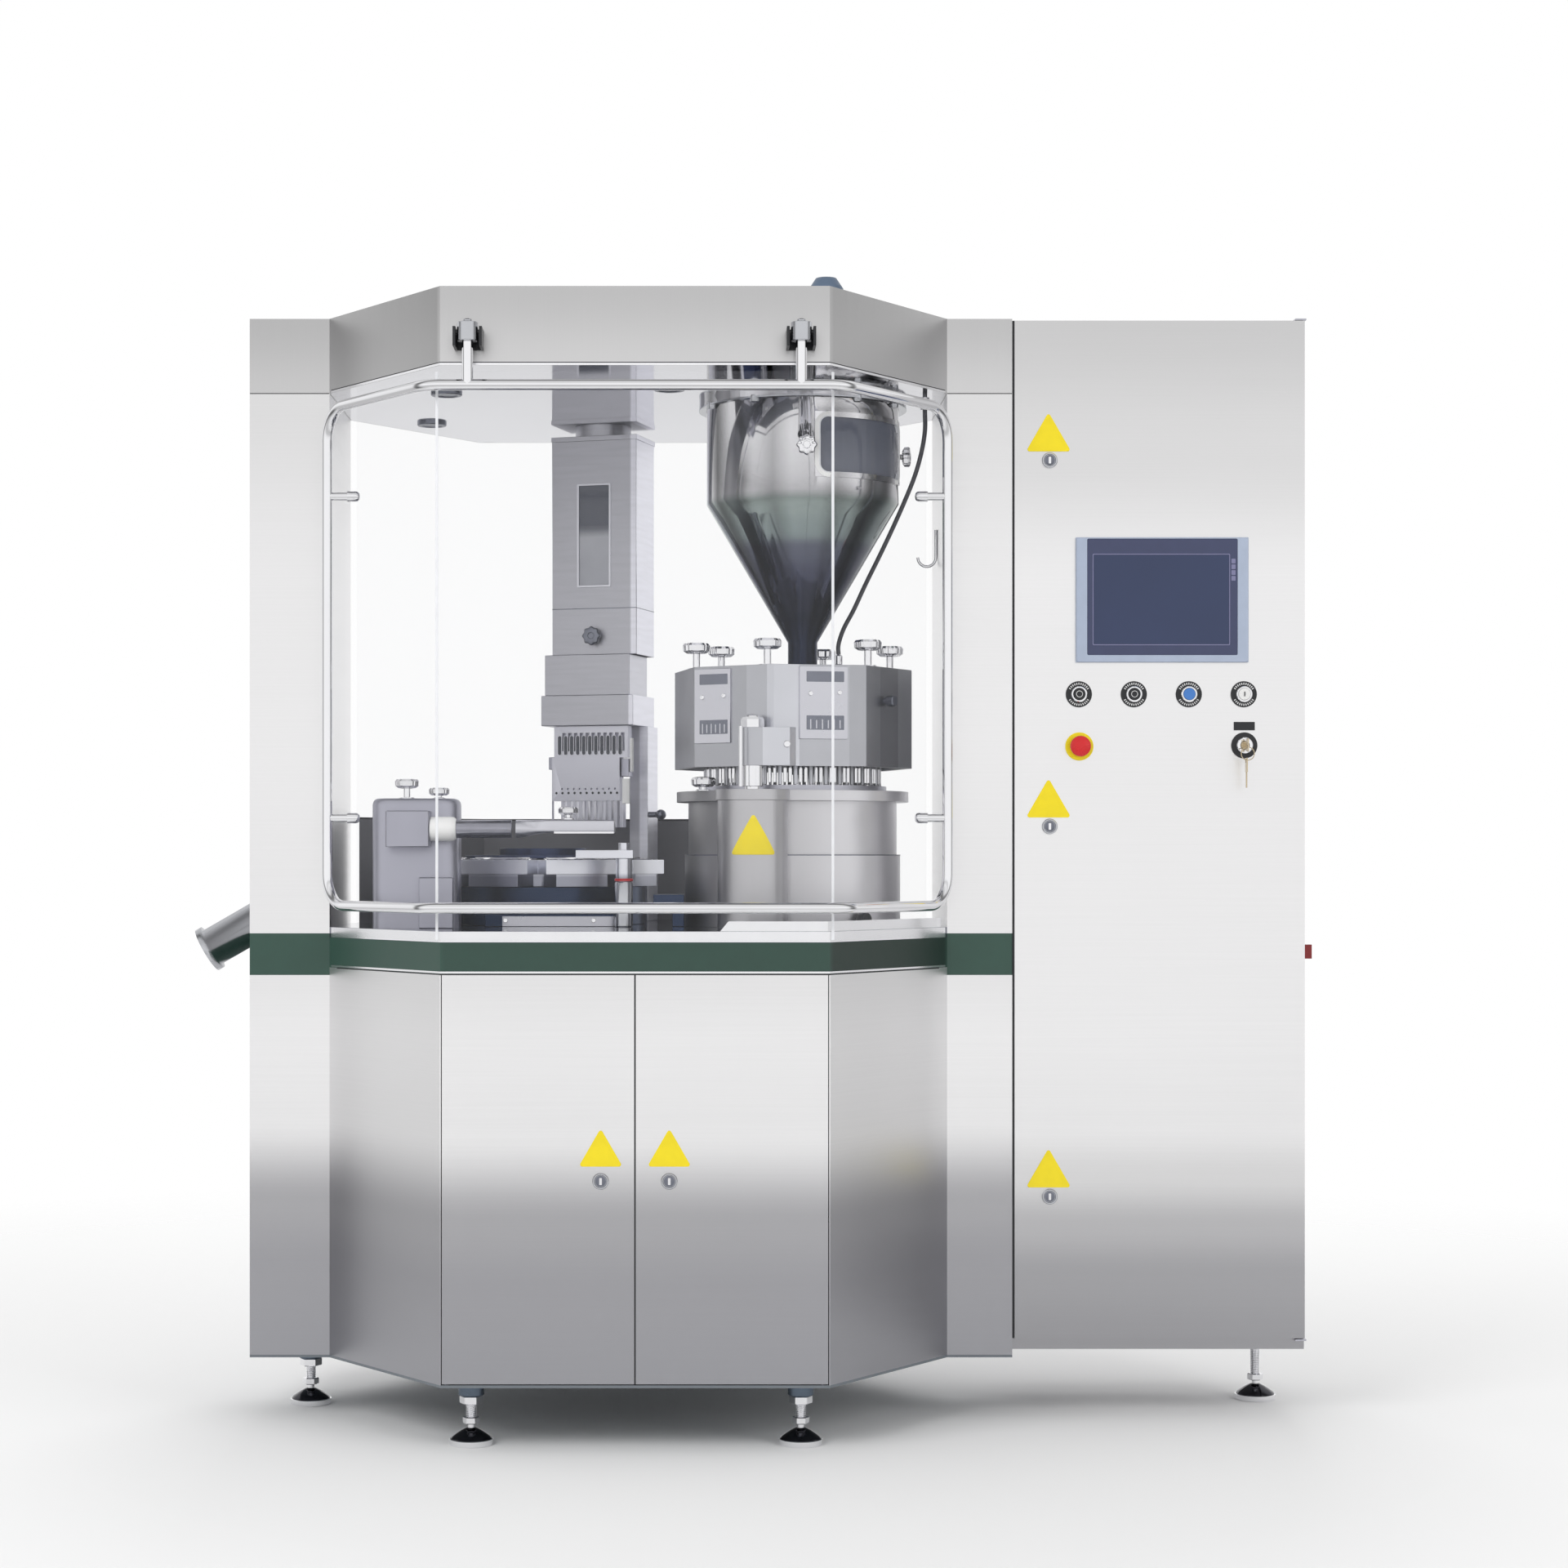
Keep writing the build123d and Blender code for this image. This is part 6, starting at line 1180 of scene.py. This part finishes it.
plates = []
window_shade_plates = []
slots_pale = []
for degrees, across, width, plate_mid, plate_tall in ((-123, -45.5, 81.0, 1367.0, 142.0),
                                                      (-78, 6.0, 94.0, 1371.0, 138.0)):
    middle, axes = hood_face(degrees)
    right = np.array(axes[0])
    outward = np.cross(right, (0, 0, 1))
    centre = middle + right * across + np.array([0, 0, plate_mid])
    plates.append(plate(rounded_outline(width, plate_tall, 1.5, 3), 4.0, centre, axes, 0.8))
    span = width * 0.78
    for up, tall in ((plate_tall / 2 - 20.0, 20.0), (-plate_tall / 2 + 31.0, 27.0)):
        # Dark plates in the openings: painted shade.
        window = plate(rounded_outline(span, tall, 1.0, 3), 0.35,
                       centre + outward * 4.0 + np.array([0, 0, up]) + right * 3.0, axes, 0.1)
        window_shade_plates.append(window)
    for k in range(6):
        a = (k - 2.5) * span / 6.4 + 3.0
        spot = centre + outward * 4.35 + right * a + np.array([0, 0, -plate_tall / 2 + 28.0])
        slots_pale.append(plate(rounded_outline(2.2, 19.0 - 3 * (k % 2), 0.6, 2), 0.3, spot, axes, 0.1))
    for a, up in ((-width * 0.27, 17.0), (width * 0.33, 19.0)):
        screws.append(turned(small_screw, centre + outward * 4.0 + right * a + np.array([0, 0, up]),
                             axes, 20))
piece("hood_window_plates", plates, "plate_steel", "tamping_head", "machined_steel")
piece("hood_windows", window_shade_plates, "window_shade_paint", "tamping_head", "clear_glass")
piece("hood_window_slots", slots_pale, "plate_steel", "tamping_head", "machined_steel")
middle, axes = hood_face(-33)
knob_spot = middle - np.array(axes[0]) * 17.0 + np.array([0, 0, 1378.0])
side_knob = [(6.0, 0.0), (6.0, 6.0), (10.0, 7.0), (10.5, 9.0), (10.5, 20.0), (9.0, 22.0)]
piece("hood_side_knob", [turned(side_knob, knob_spot, axes, 28, 12, 0.03)], "dark_steel",
      "tamping_head", "machined_steel")
piece("hood_screws", screws, "chrome", "tamping_head", "machined_steel")
print("window plates", len(plates))

# %% Pot
refined("dosing_pot", "pot", 2.0)
refined("dosing_disc", "machined", 0.8)
seam_z = DECK + 138.0
arc = round_outline(211.6, 120)
groove = ring_between(arc, round_outline(209.0, 120), -0.9, 0.9, (DOSE_X, DOSE_Y, seam_z), TOP, 0.2)
piece("pot_seam", [groove], "dark_steel", "frame", "machined_steel")
drain = [(9.0, 0.0), (9.0, 5.0), (13.0, 7.0), (14.0, 10.0), (14.0, 20.0), (11.5, 24.0), (5.0, 26.0)]
drain_turn = np.radians(-55.0)
POT_R = 211.0
drain_at = (DOSE_X + POT_R * np.cos(drain_turn), DOSE_Y + POT_R * np.sin(drain_turn), DECK + 16.0)
drain_axes = ((-np.sin(drain_turn), np.cos(drain_turn), 0), (0, 0, 1))
piece("pot_drain_knob", [turned(drain, drain_at, drain_axes)], "black", "frame", "black_plastic")
SHELL_AT = np.array([DOSE_X - 83.0, DOSE_Y - 234.0])
SHELL_R = 66.0
POT_PLATE = 90.0
POT_PLATE_Z = 1109.5


def spaced(outline, count=96):
    """Outline walked at even steps, so that its straight sides can be bent as well."""
    closed = np.vstack([outline, outline[:1]])
    run = np.concatenate([[0.0], np.cumsum(np.linalg.norm(np.diff(closed, axis=0), axis=1))])
    at = np.linspace(0, run[-1], count, endpoint=False)
    return np.column_stack([np.interp(at, run, closed[:, i]) for i in (0, 1)])


def bent_round(outline, rise):
    """Outline points (a, z) laid round the pillar shell: the angle is a / radius."""
    turn = outline[..., 0] / SHELL_R - np.pi / 2
    away = SHELL_R + rise
    return np.stack([SHELL_AT[0] + away * np.cos(turn), SHELL_AT[1] + away * np.sin(turn),
                     outline[..., 1] + POT_PLATE_Z], axis=-1)


bent = spaced(triangle_outline(POT_PLATE))
shares = np.linspace(0, 1, 7)[:, None, None]
back_face = bent_round(bent[None] * shares, 0.0)
side_wall = bent_round(np.stack([bent, bent * 0.975]), np.array([[0.9], [1.5]]))
front_face = bent_round(bent[None] * shares[::-1] * 0.975, 1.5)
whole = np.concatenate([back_face, side_wall, front_face[1:]])
piece("blank_plate_pot", [surface(whole, wrap_v=True)], "yellow", "frame", "yellow_plastic")
print("pot dressed")

# %% [markdown]
# ## Hopper
# The hopper is a polished bowl and cone hung from the ceiling. Its base colour carries a
# painted reflection: the pale room in its upper half and slate grey near the neck, where
# the steel mirrors the machine. A frame holds the bent window; a pale strip along its
# inside is a painted highlight.

# %% Hopper
refined("hopper", "hopper", angle=20.0)
refined("stirrer", "chrome")
rim_shells = [ring_between(round_outline(203.4, 96), round_outline(189.0, 96), -15.2, -11.0,
                           (HOPPER_X, HOPPER_Y, HEADER_FOOT), TOP, 1.2)]
CLIP_RING = 196.0
for turn in np.radians([-155, -120, -60, -28, 20]):
    clip = (HOPPER_X + CLIP_RING * np.cos(turn), HOPPER_Y + CLIP_RING * np.sin(turn), HEADER_FOOT - 22.0)
    rim_shells.append(turned([(7.5, 0.0), (8.5, 2.0), (8.5, 12.0), (6.0, 14.0)], clip, TOP, 20))
piece("hopper_rim_fittings", rim_shells, "collar", "frame", "polished_steel")


def window_frame(grow, width, rise, drop):
    """Rounded frame bent round the bowl: outline points (a, z) go to the angle a / radius."""
    tall = 104.0 + 2 * grow
    wide = np.radians(SIGHT_TO - SIGHT_FROM) * HOPPER_R + 2 * grow
    outer_line = rounded_outline(wide, tall, 16.0 + grow, 7)
    inner_line = rounded_outline(wide - 2 * width, tall - 2 * width, max(16.0 + grow - width, 2.0), 7)
    levels = ((inner_line, drop), (outer_line, drop), (outer_line, rise - 1.0), (inner_line, rise))
    rings = []
    for line, away in levels:
        turn = np.radians((SIGHT_FROM + SIGHT_TO) / 2) + line[:, 0] / HOPPER_R
        rings.append(np.column_stack([HOPPER_X + (HOPPER_R + away) * np.cos(turn),
                                      HOPPER_Y + (HOPPER_R + away) * np.sin(turn),
                                      line[:, 1] + SIGHT_MIDDLE]))
    return surface(np.stack(rings), wrap_u=True, wrap_v=True)


piece("hopper_window_frame", [window_frame(10.5, 7.5, 7.0, 0.2)], "white_cap", "frame",
      "polished_steel")
# A pale strip inside the frame: painted highlight.
piece("hopper_window_highlight", [window_frame(4.0, 3.5, 6.2, 0.2)], "pale_edge", "frame", "clear_sheet")
refined("sight_glasses", "sight")
print("hopper dressed")

# %% [markdown]
# ## Capsule side
# On the left stands the ejection housing with its drive box, a white plastic cap, a
# metal suction tube and a nozzle that flattens from round to a wide mouth. The nozzle is
# a stack of rings whose outline goes from a circle to a flat rounded rectangle. Behind
# it the capsule magazine feeds the slotted comb above the turret.

# %% Ejection station
house = rounded_outline(164.0, 110.0, 30.0, 10)
house_rings = []
for level, inset in ((0.0, 0.0), (233.0, 0.0), (239.0, 1.6), (243.0, 5.0), (245.0, 10.0)):
    share = 1 - inset / np.linalg.norm(house, axis=1, keepdims=True)
    ring = house * share + (HOUSE_X, HOUSE_Y0 + 55.0)
    house_rings.append(np.column_stack([ring, np.full(len(ring), DECK + level)]))
station = [closed_stack(np.stack(house_rings)),
           box_shell(HOUSE_X - 50, HOUSE_X + 32, NOZZLE_Y - 25, HOUSE_Y0 + 1, NOZZLE_Z - 34,
                     NOZZLE_Z + 34, 1.5, 8.0)]
piece("ejection_housing", station, "station", "frame", "machined_steel", ("ejection_station",))
RIGHT_FACE = ((0, 1, 0), (0, 0, 1))
cap_side = [(21.0, 0.0), (23.0, 1.5), (23.0, 38.0), (22.2, 44.0), (19.0, 48.5), (17.2, 49.0)]
piece("suction_cap", [turned(cap_side, (HOUSE_X + 32, NOZZLE_Y, NOZZLE_Z), RIGHT_FACE)], "white_cap",
      "frame", "white_plastic")
tube_side = [(16.6, 0.0), (17.0, 1.0), (17.0, 104.0), (16.4, 105.0)]
piece("suction_tube", [turned(tube_side, (HOUSE_X + 80, NOZZLE_Y, NOZZLE_Z), RIGHT_FACE)], "tube_steel",
      "frame", "machined_steel")
steps = np.linspace(0, 1, 12)[:, None]
ease = steps * steps * (3 - 2 * steps)
circle = round_outline(17.0, 48)
mouth = rounded_outline(100.0, 24.0, 5.0, 12)
mouth = np.roll(mouth, -6, axis=0)
flat = (1 - ease[..., None]) * circle[None] + ease[..., None] * (mouth + (30.0, 5.0))[None]
along = NOZZLE_X - 12.0 + steps[:, 0] * 60.0
nozzle_rings = np.stack([np.broadcast_to(along[:, None], flat.shape[:2]), NOZZLE_Y + flat[..., 0],
                         NOZZLE_Z + flat[..., 1]], axis=-1)
far_end = nozzle_rings[-1:] + (124.0, 0, 0)
nozzle = closed_stack(np.concatenate([nozzle_rings, far_end]))
piece("suction_nozzle", [nozzle], "plate_steel", "frame", "machined_steel")
piece("nozzle_lip", [box_shell(NOZZLE_X + 60, NOZZLE_X + 172, NOZZLE_Y - 21, NOZZLE_Y - 18,
                               NOZZLE_Z - 9, NOZZLE_Z - 5, 0.3, 0.5)], "chrome", "frame",
      "machined_steel")
side_boxes = [box_shell(HOUSE_X + 10, HOUSE_X + 74, HOUSE_Y0 - 22, HOUSE_Y0 - 0.5, DECK, DECK + 96, 1.5,
                        3.0)]
piece("ejection_cover", side_boxes, "station", "frame", "machined_steel")
print("ejection station dressed")

# %% Turret
refined("turret_disc", "turret", 1.2)
refined("turret_cover", "turret", 1.2)
refined("turret_base", "blue_steel", 1.5)
ARM_X = -28.0
ARM_Y = 332.0
arm_parts = [(15.5, 0.0), (17.5, 2.0), (17.5, 84.0), (15.0, 88.0)]
piece("arm_post", [turned(arm_parts, (ARM_X, ARM_Y, DECK))], "collar", "frame", "machined_steel")
red_ring = ring_between(round_outline(17.9, 36), round_outline(15.6, 36), 88.0, 93.0,
                        (ARM_X, ARM_Y, DECK), TOP, 0.8)
piece("arm_red_ring", [red_ring], "red", "frame", "red_plastic")
screw_spots = [(-256.8, 352.4), (-86.6, 352.4)]
front_screws = [turned(small_screw, (x, y, DECK + 12.0), FRONT, 18) for x, y in screw_spots]
SEGMENTS = 8
chips = []
dark_bores = []
for index in range(SEGMENTS):
    turn = 2 * np.pi * (index + 0.5) / SEGMENTS
    outward = np.array([np.cos(turn), np.sin(turn), 0.0])
    across = np.array([-outward[1], outward[0], 0.0])
    top = np.array([TURRET_X, TURRET_Y, DECK + 128.5])
    for side in (-1, 1):
        chips.append(turned(small_screw, top + outward * 192 + across * 62 * side, TOP, 18))
    chips.append(plate(rounded_outline(118.0, 8.0, 2.0, 3), 5.0, top + outward * 184,
                       (tuple(across), tuple(-outward)), 1.0))
    for step in range(-2, 3):
        spot = top + outward * 206 + across * 26 * step
        dark_bores.append(ring_between(round_outline(8.6, 20), round_outline(7.1, 20), 0.0, 1.6, spot,
                                       TOP, 0.4))
piece("segment_screws", chips, "chrome", "turret_disc", "machined_steel")
piece("segment_bushes", dark_bores, "dark_steel", "turret_disc", "machined_steel")
piece("plate_screws", front_screws, "chrome", "frame", "machined_steel")
print("turret segments", SEGMENTS)

# %% Magazine and comb
refined("magazine", "aluminium", 1.0)
refined("feeder_blocks", "aluminium", 1.5)
refined("feeder_comb", "comb", 0.5)


def feeder_box(a0, a1, b0, b1, z0, z1, edge=0.4, corner=0.6):
    """Box in the feeder's own turned frame: its plan is turned by the feeder's angle."""
    points, quads = box_shell(a0, a1, b0, b1, z0, z1, edge, corner)
    turned_x = FEED_X + points[:, 0] * np.cos(FEED_TURN) - points[:, 1] * np.sin(FEED_TURN)
    turned_y = FEED_Y + points[:, 0] * np.sin(FEED_TURN) + points[:, 1] * np.cos(FEED_TURN)
    return np.column_stack([turned_x, turned_y, points[:, 2]]), quads


MAGAZINE_FOOT = DECK + 555.0
MAGAZINE_TALL = 445.0
seams = [feeder_box(-92.4, 92.4, -0.4, 122.4, 1595.2, 1596.8, 0.2, 0.4)]
piece("magazine_seam", seams, "dark_steel", "frame", "aluminium")
WINDOW_Z0 = MAGAZINE_FOOT + MAGAZINE_TALL * 0.324
WINDOW_TALL = MAGAZINE_TALL * 0.467
frame_out = rounded_outline(74.0, WINDOW_TALL + 8.0, 2.5, 4)
frame_in = rounded_outline(66.0, WINDOW_TALL, 1.5, 4)
middle = on_feeder(0, 0, WINDOW_Z0 + WINDOW_TALL / 2)
piece("magazine_window_trim", [ring_between(frame_out, frame_in, 0.1, 1.6, middle, feeder_axes(), 0.4)],
      "plate_steel", "frame", "aluminium")
COMB_TALL = 66.0
BLOCK_TALL = 85.0
RAIL_TALL = 63.0
comb_foot = MAGAZINE_FOOT - BLOCK_TALL - RAIL_TALL - 0.5 - COMB_TALL
slot_shade_plates = []
slot_rims = []
holes = []
SLOT_COUNT = 11
SLOT_PITCH = 13.3
for index in range(SLOT_COUNT):
    a = -75.5 + index * SLOT_PITCH
    spot = on_feeder(a, -0.05, comb_foot + 26.0)
    outer_slot = rounded_outline(10.0, 42.0, 5.0, 6)
    inner_slot = rounded_outline(7.6, 39.6, 3.8, 6)
    slot_rims.append(ring_between(outer_slot, inner_slot, 0.0, 0.9, spot, feeder_axes(), 0.3))
    # A dark plate in each slot: painted shade.
    slot_shade_plates.append(plate(inner_slot, 0.4, spot, feeder_axes(), 0.1))
    # Black discs in the guide holes: painted shade.
    holes.append(turned([(2.6, 0.0), (2.6, 0.3)], on_feeder(a - 3.0, -12.0, comb_foot - 73.5),
                        feeder_axes(), 14))
piece("comb_slots", slot_shade_plates, "slot_shade_paint", "feeder_comb", "machined_steel")
piece("comb_slot_rims", slot_rims, "plate_steel", "feeder_comb", "machined_steel")
piece("guide_hole_shades", holes, "black", "feeder_comb", "machined_steel")
comb_boxes = [feeder_box(-101, -88.2, 2, 24, comb_foot - 24, comb_foot + 2, 1.0, 1.5),
              feeder_box(62, 78, -8, 20, comb_foot - 40, comb_foot - 2, 1.0, 1.5),
              feeder_box(-96, -92, 8, 12, comb_foot - 150, comb_foot - 24, 0.5, 1.0)]
piece("comb_side_blocks", comb_boxes, "station", "feeder_comb", "machined_steel")
white_arms = [feeder_box(79, 84, -2, 10, comb_foot - 30, comb_foot + 40, 0.6, 1.0),
              feeder_box(66, 82, -14, -8.2, comb_foot - 96, comb_foot - 44, 0.8, 1.5)]
piece("comb_white_arms", white_arms, "white_cap", "feeder_comb", "machined_steel")
knob_axes = ((np.sin(FEED_TURN), -np.cos(FEED_TURN), 0), (0, 0, 1))
ball = np.linspace(-1.2, np.pi / 2, 10)
ball_side = [(6.0, 0.0), (6.0, 16.0)] + [(11.0 * np.cos(t) + 0.01, 26.0 + 11.0 * np.sin(t))
                                         for t in ball]
pull = turned(ball_side, on_feeder(99.0, 66.0, comb_foot - 118.0),
              (tuple(-np.array(knob_axes[0])), (0, 0, 1)), 24)
piece("column_pull_knob", [pull], "dark_steel", "frame", "aluminium")
print("comb slots", len(slot_shade_plates))

# %% [markdown]
# ## Seams, edges and small trim
# A machine's cabinet work reads by its seams: the dark gap over the doors, the bright
# folded edge of the deck, the line under the band. The dark gaps are painted shade. Each
# is a thin bar that follows the three front facets, so one function lays them all from a
# height and a distance.

# %% Front strips
def front_strip(half, z0, z1, out0, out1):
    """Bar over the three front facets: its plan has the corners of the facets moved out and in."""
    stations = []
    for out in (out1, out0):
        x = FACET_HALF + out * OUTWARD
        stations.append([(-half, wing_depth(half, out)), (-x, -out), (x, -out),
                         (half, wing_depth(half, out))])
    near, far = np.array(stations)
    corners = [np.column_stack([plan, np.full(4, z)])
               for plan, z in ((near, z0), (near, z1), (far, z1), (far, z0))]
    return closed_stack(np.stack(corners, axis=1))


def bar(x0, x1, y0, y1, z0, z1):
    """Plain thin bar with barely broken edges."""
    return box_shell(x0, x1, y0, y1, z0, z1, 0.1, 0.15)


STRIP_HALF = 588.0  # half width of a strip that ends just inside the side pillars
BAND_FOOT = 868.0
DOOR_TOP = 866.0
CABINET_Z0, CABINET_Z1 = 157.0, 2107.0
DOOR_FOOT = 127.0
piece("deck_edge", [front_strip(STRIP_HALF, DECK - 19.5, DECK - 0.5, -1.0, 0.6)], "bright", "frame",
      "machined_steel")
piece("band_lip", [front_strip(STRIP_HALF, BAND_FOOT + 1.0, BAND_FOOT + 4.5, 0.0, 0.7)], "bright",
      "frame", "machined_steel")
# Dark strips in the gaps over and between the doors, beside the cabinet door and at the header's foot:
# painted shade.
gaps = [front_strip(STRIP_HALF - 13.0, DOOR_TOP + 0.2, BAND_FOOT + 0.2, -1.4, 0.25),
        bar(-1.2, 1.2, 0.2, 3.0, DOOR_FOOT, DOOR_TOP),
        bar(CABINET_X0 + 0.3, CABINET_X0 + 3.5, DOOR_FACE + 2.0, DOOR_FACE + 21.0, CABINET_Z0,
            CABINET_Z1)]
gaps += [bar(x0, x1, WING_Y - 0.7, WING_Y - 0.1, HEADER_FOOT - 1.0, HEADER_FOOT + 0.6)
         for x0, x1 in ((-744.5, -SIDE_HALF - 0.5), (SIDE_HALF + 0.5, CABINET_X0 - 0.5))]
piece("gap_shade_strips", gaps, "seam", "frame", "machined_steel")
corner_bars = [bar(side * (FACET_HALF - 0.2) - 1.2, side * (FACET_HALF - 0.2) + 1.2, 0.2, 1.2,
                   DOOR_FOOT - 2.0, DOOR_TOP) for side in (-1, 1)]
piece("door_corner_strips", corner_bars, "panel", "frame", "machined_steel")
piece("header_edge", [front_strip(STRIP_HALF, HEADER_FOOT, HEADER_FOOT + 4.0, 0.0, 0.6)], "bright",
      "frame", "machined_steel")
piece("header_line", [front_strip(STRIP_HALF, HEADER_FOOT + 4.2, HEADER_FOOT + 5.8, 0.0, 0.4)], "seam",
      "frame", "machined_steel")
print("dark gaps", len(gaps))

# %% Drip tray and parapet
TRAY_X0 = 154.0
TRAY_HALF = 580.0
TRAY_TALL = 18.0


def tray_wall(out0, out1, z0, z1):
    """Right-hand stretch of a front strip, its left end slanted back towards the top."""
    stations = []
    for out, z in ((out1, z0), (out1, z1), (out0, z1), (out0, z0)):
        slant = 15.0 * (z - DECK) / TRAY_TALL
        x = FACET_HALF + out * OUTWARD
        stations.append([(TRAY_X0 + slant, -out, z), (x, -out, z),
                         (TRAY_HALF, wing_depth(TRAY_HALF, out), z)])
    return closed_stack(np.array(stations).transpose(1, 0, 2))


tray = [tray_wall(-8.0, -6.5, DECK, DECK + TRAY_TALL), tray_wall(-60.0, -8.0, DECK + 0.3, DECK + 1.6)]
piece("drip_tray", tray, "bright", "frame", "machined_steel")
REAR = 983.0
PARAPET_TALL = 215.0


def parapet_skin(inset0, inset1, z0, z1):
    """Upright skin along the rear left wing and the rear, between two distances inside the outline."""
    stations = []
    for inset, z in ((inset0, z0), (inset0, z1), (inset1, z1), (inset1, z0)):
        corner_y = REAR - WING_Y - inset / 3
        stations.append([(inset - SIDE_HALF, corner_y, z), (inset / 2 - FACET_HALF, REAR - inset, z),
                         (340.0, REAR - inset, z)])
    return closed_stack(np.array(stations).transpose(1, 0, 2))


piece("parapet_skin", [parapet_skin(18.0, 18.6, DECK, DECK + PARAPET_TALL - 4.0)], "dark_paint",
      "frame", "machined_steel")
piece("parapet_edge", [parapet_skin(18.0, 18.8, DECK + PARAPET_TALL - 4.0, DECK + PARAPET_TALL)],
      "seam", "frame", "machined_steel")
service = box_shell(-263.0, -46.0, 352.2, 353.4, DECK + 0.5, DECK + 20.0, 0.4, 0.5)
piece("drum_service_plate", [service], "plate_steel", "frame", "machined_steel")
print("drip tray", TRAY_TALL, "mm tall, parapet", PARAPET_TALL, "mm")

# %% [markdown]
# ## Feet
# Each foot is a polished domed pad with a bright rim, a nut, and a threaded stud in a
# bush. The thread is a profile whose radius goes in and out once for each pitch.

# %% Feet
FOOT_SPOTS = [(-303.0, 95.0, 120.0), (303.0, 95.0, 120.0), (-303.0, 888.0, 120.0),
              (303.0, 888.0, 120.0), (-650.0, 491.5, 120.0), (1225.0, 538.0, 153.0)]
PAD_R = 40.0
RIM_TALL = 11.0
STUD_R = 10.0
BUSH_R = 24.0
BUSH_FOOT = 90.0
LOCK_NUT_FOOT = 75.0
PITCH = 2.5
dome_side = [(PAD_R - 2.0, RIM_TALL - 1.0), (PAD_R - 2.0, RIM_TALL + 0.5), (35.0, 15.0), (27.0, 20.5),
             (18.0, 26.0), (10.0, 30.0), (6.5, 31.0)]
rim_side = [(PAD_R - 0.8, 0.0), (PAD_R, 0.8), (PAD_R, RIM_TALL - 0.8), (PAD_R - 0.8, RIM_TALL)]
neck_side = [(6.5, 28.0), (6.5, 38.0)]


def foot_nut(radius, low, high):
    """Six-sided nut whose corners are turned off a little at both ends."""
    return [(radius - 2.0, low), (radius, low + 1.5), (radius, high - 1.5), (radius - 2.0, high)]


domes, rims, nuts, threads, bushes = [], [], [], [], []
for x, y, top in FOOT_SPOTS:
    spot = (x, y, 0.0)
    lift = top - FOOT_SPOTS[0][2]
    domes.append(turned(dome_side, spot, sides=48))
    rims.append(turned(rim_side, spot, sides=48))
    nuts += [turned(neck_side, spot, sides=24), turned(foot_nut(15.5, 38.0, 51.0), spot, sides=6),
             turned(foot_nut(21.5, LOCK_NUT_FOOT + lift, BUSH_FOOT + lift), spot, sides=6)]
    levels = np.arange(50.0, BUSH_FOOT + lift, PITCH / 2)
    thread = [(STUD_R - 1.1 * (index % 2), level) for index, level in enumerate(levels)]
    threads.append(turned(thread, spot, sides=24))
    bush_side = [(BUSH_R - 2.0, BUSH_FOOT + lift), (BUSH_R, BUSH_FOOT + lift + 2.0), (BUSH_R, top)]
    bushes.append(turned(bush_side, spot, sides=36))
pad_slot, stud_slot = slots["foot_pads"], slots["foot_studs"]
piece("foot_pad_domes", domes, "foot", "frame", pad_slot, ("foot_pads",))
piece("foot_pad_rims", rims, "bright", "frame", pad_slot)
piece("foot_nuts", nuts, "chrome", "frame", stud_slot, ("foot_studs",), angle=24.0)
piece("foot_threads", threads, "bright", "frame", stud_slot, angle=60.0)
piece("foot_bushes", bushes, "bush", "frame", stud_slot)
print("feet", len(FOOT_SPOTS))

# %% Round CAD pieces
smooth_ones = {"stirrer_drive": "motor", "main_motor": "motor", "gearbox": "cast",
               "index_boxes": "cast", "motor_pulley": "machined", "input_pulley": "machined",
               "cam_shaft": "machined", "hinge_pins": "machined", "outlet_chute": "collar"}
for name, kind in smooth_ones.items():
    refined(name, kind)
print("smoothed", len(smooth_ones))
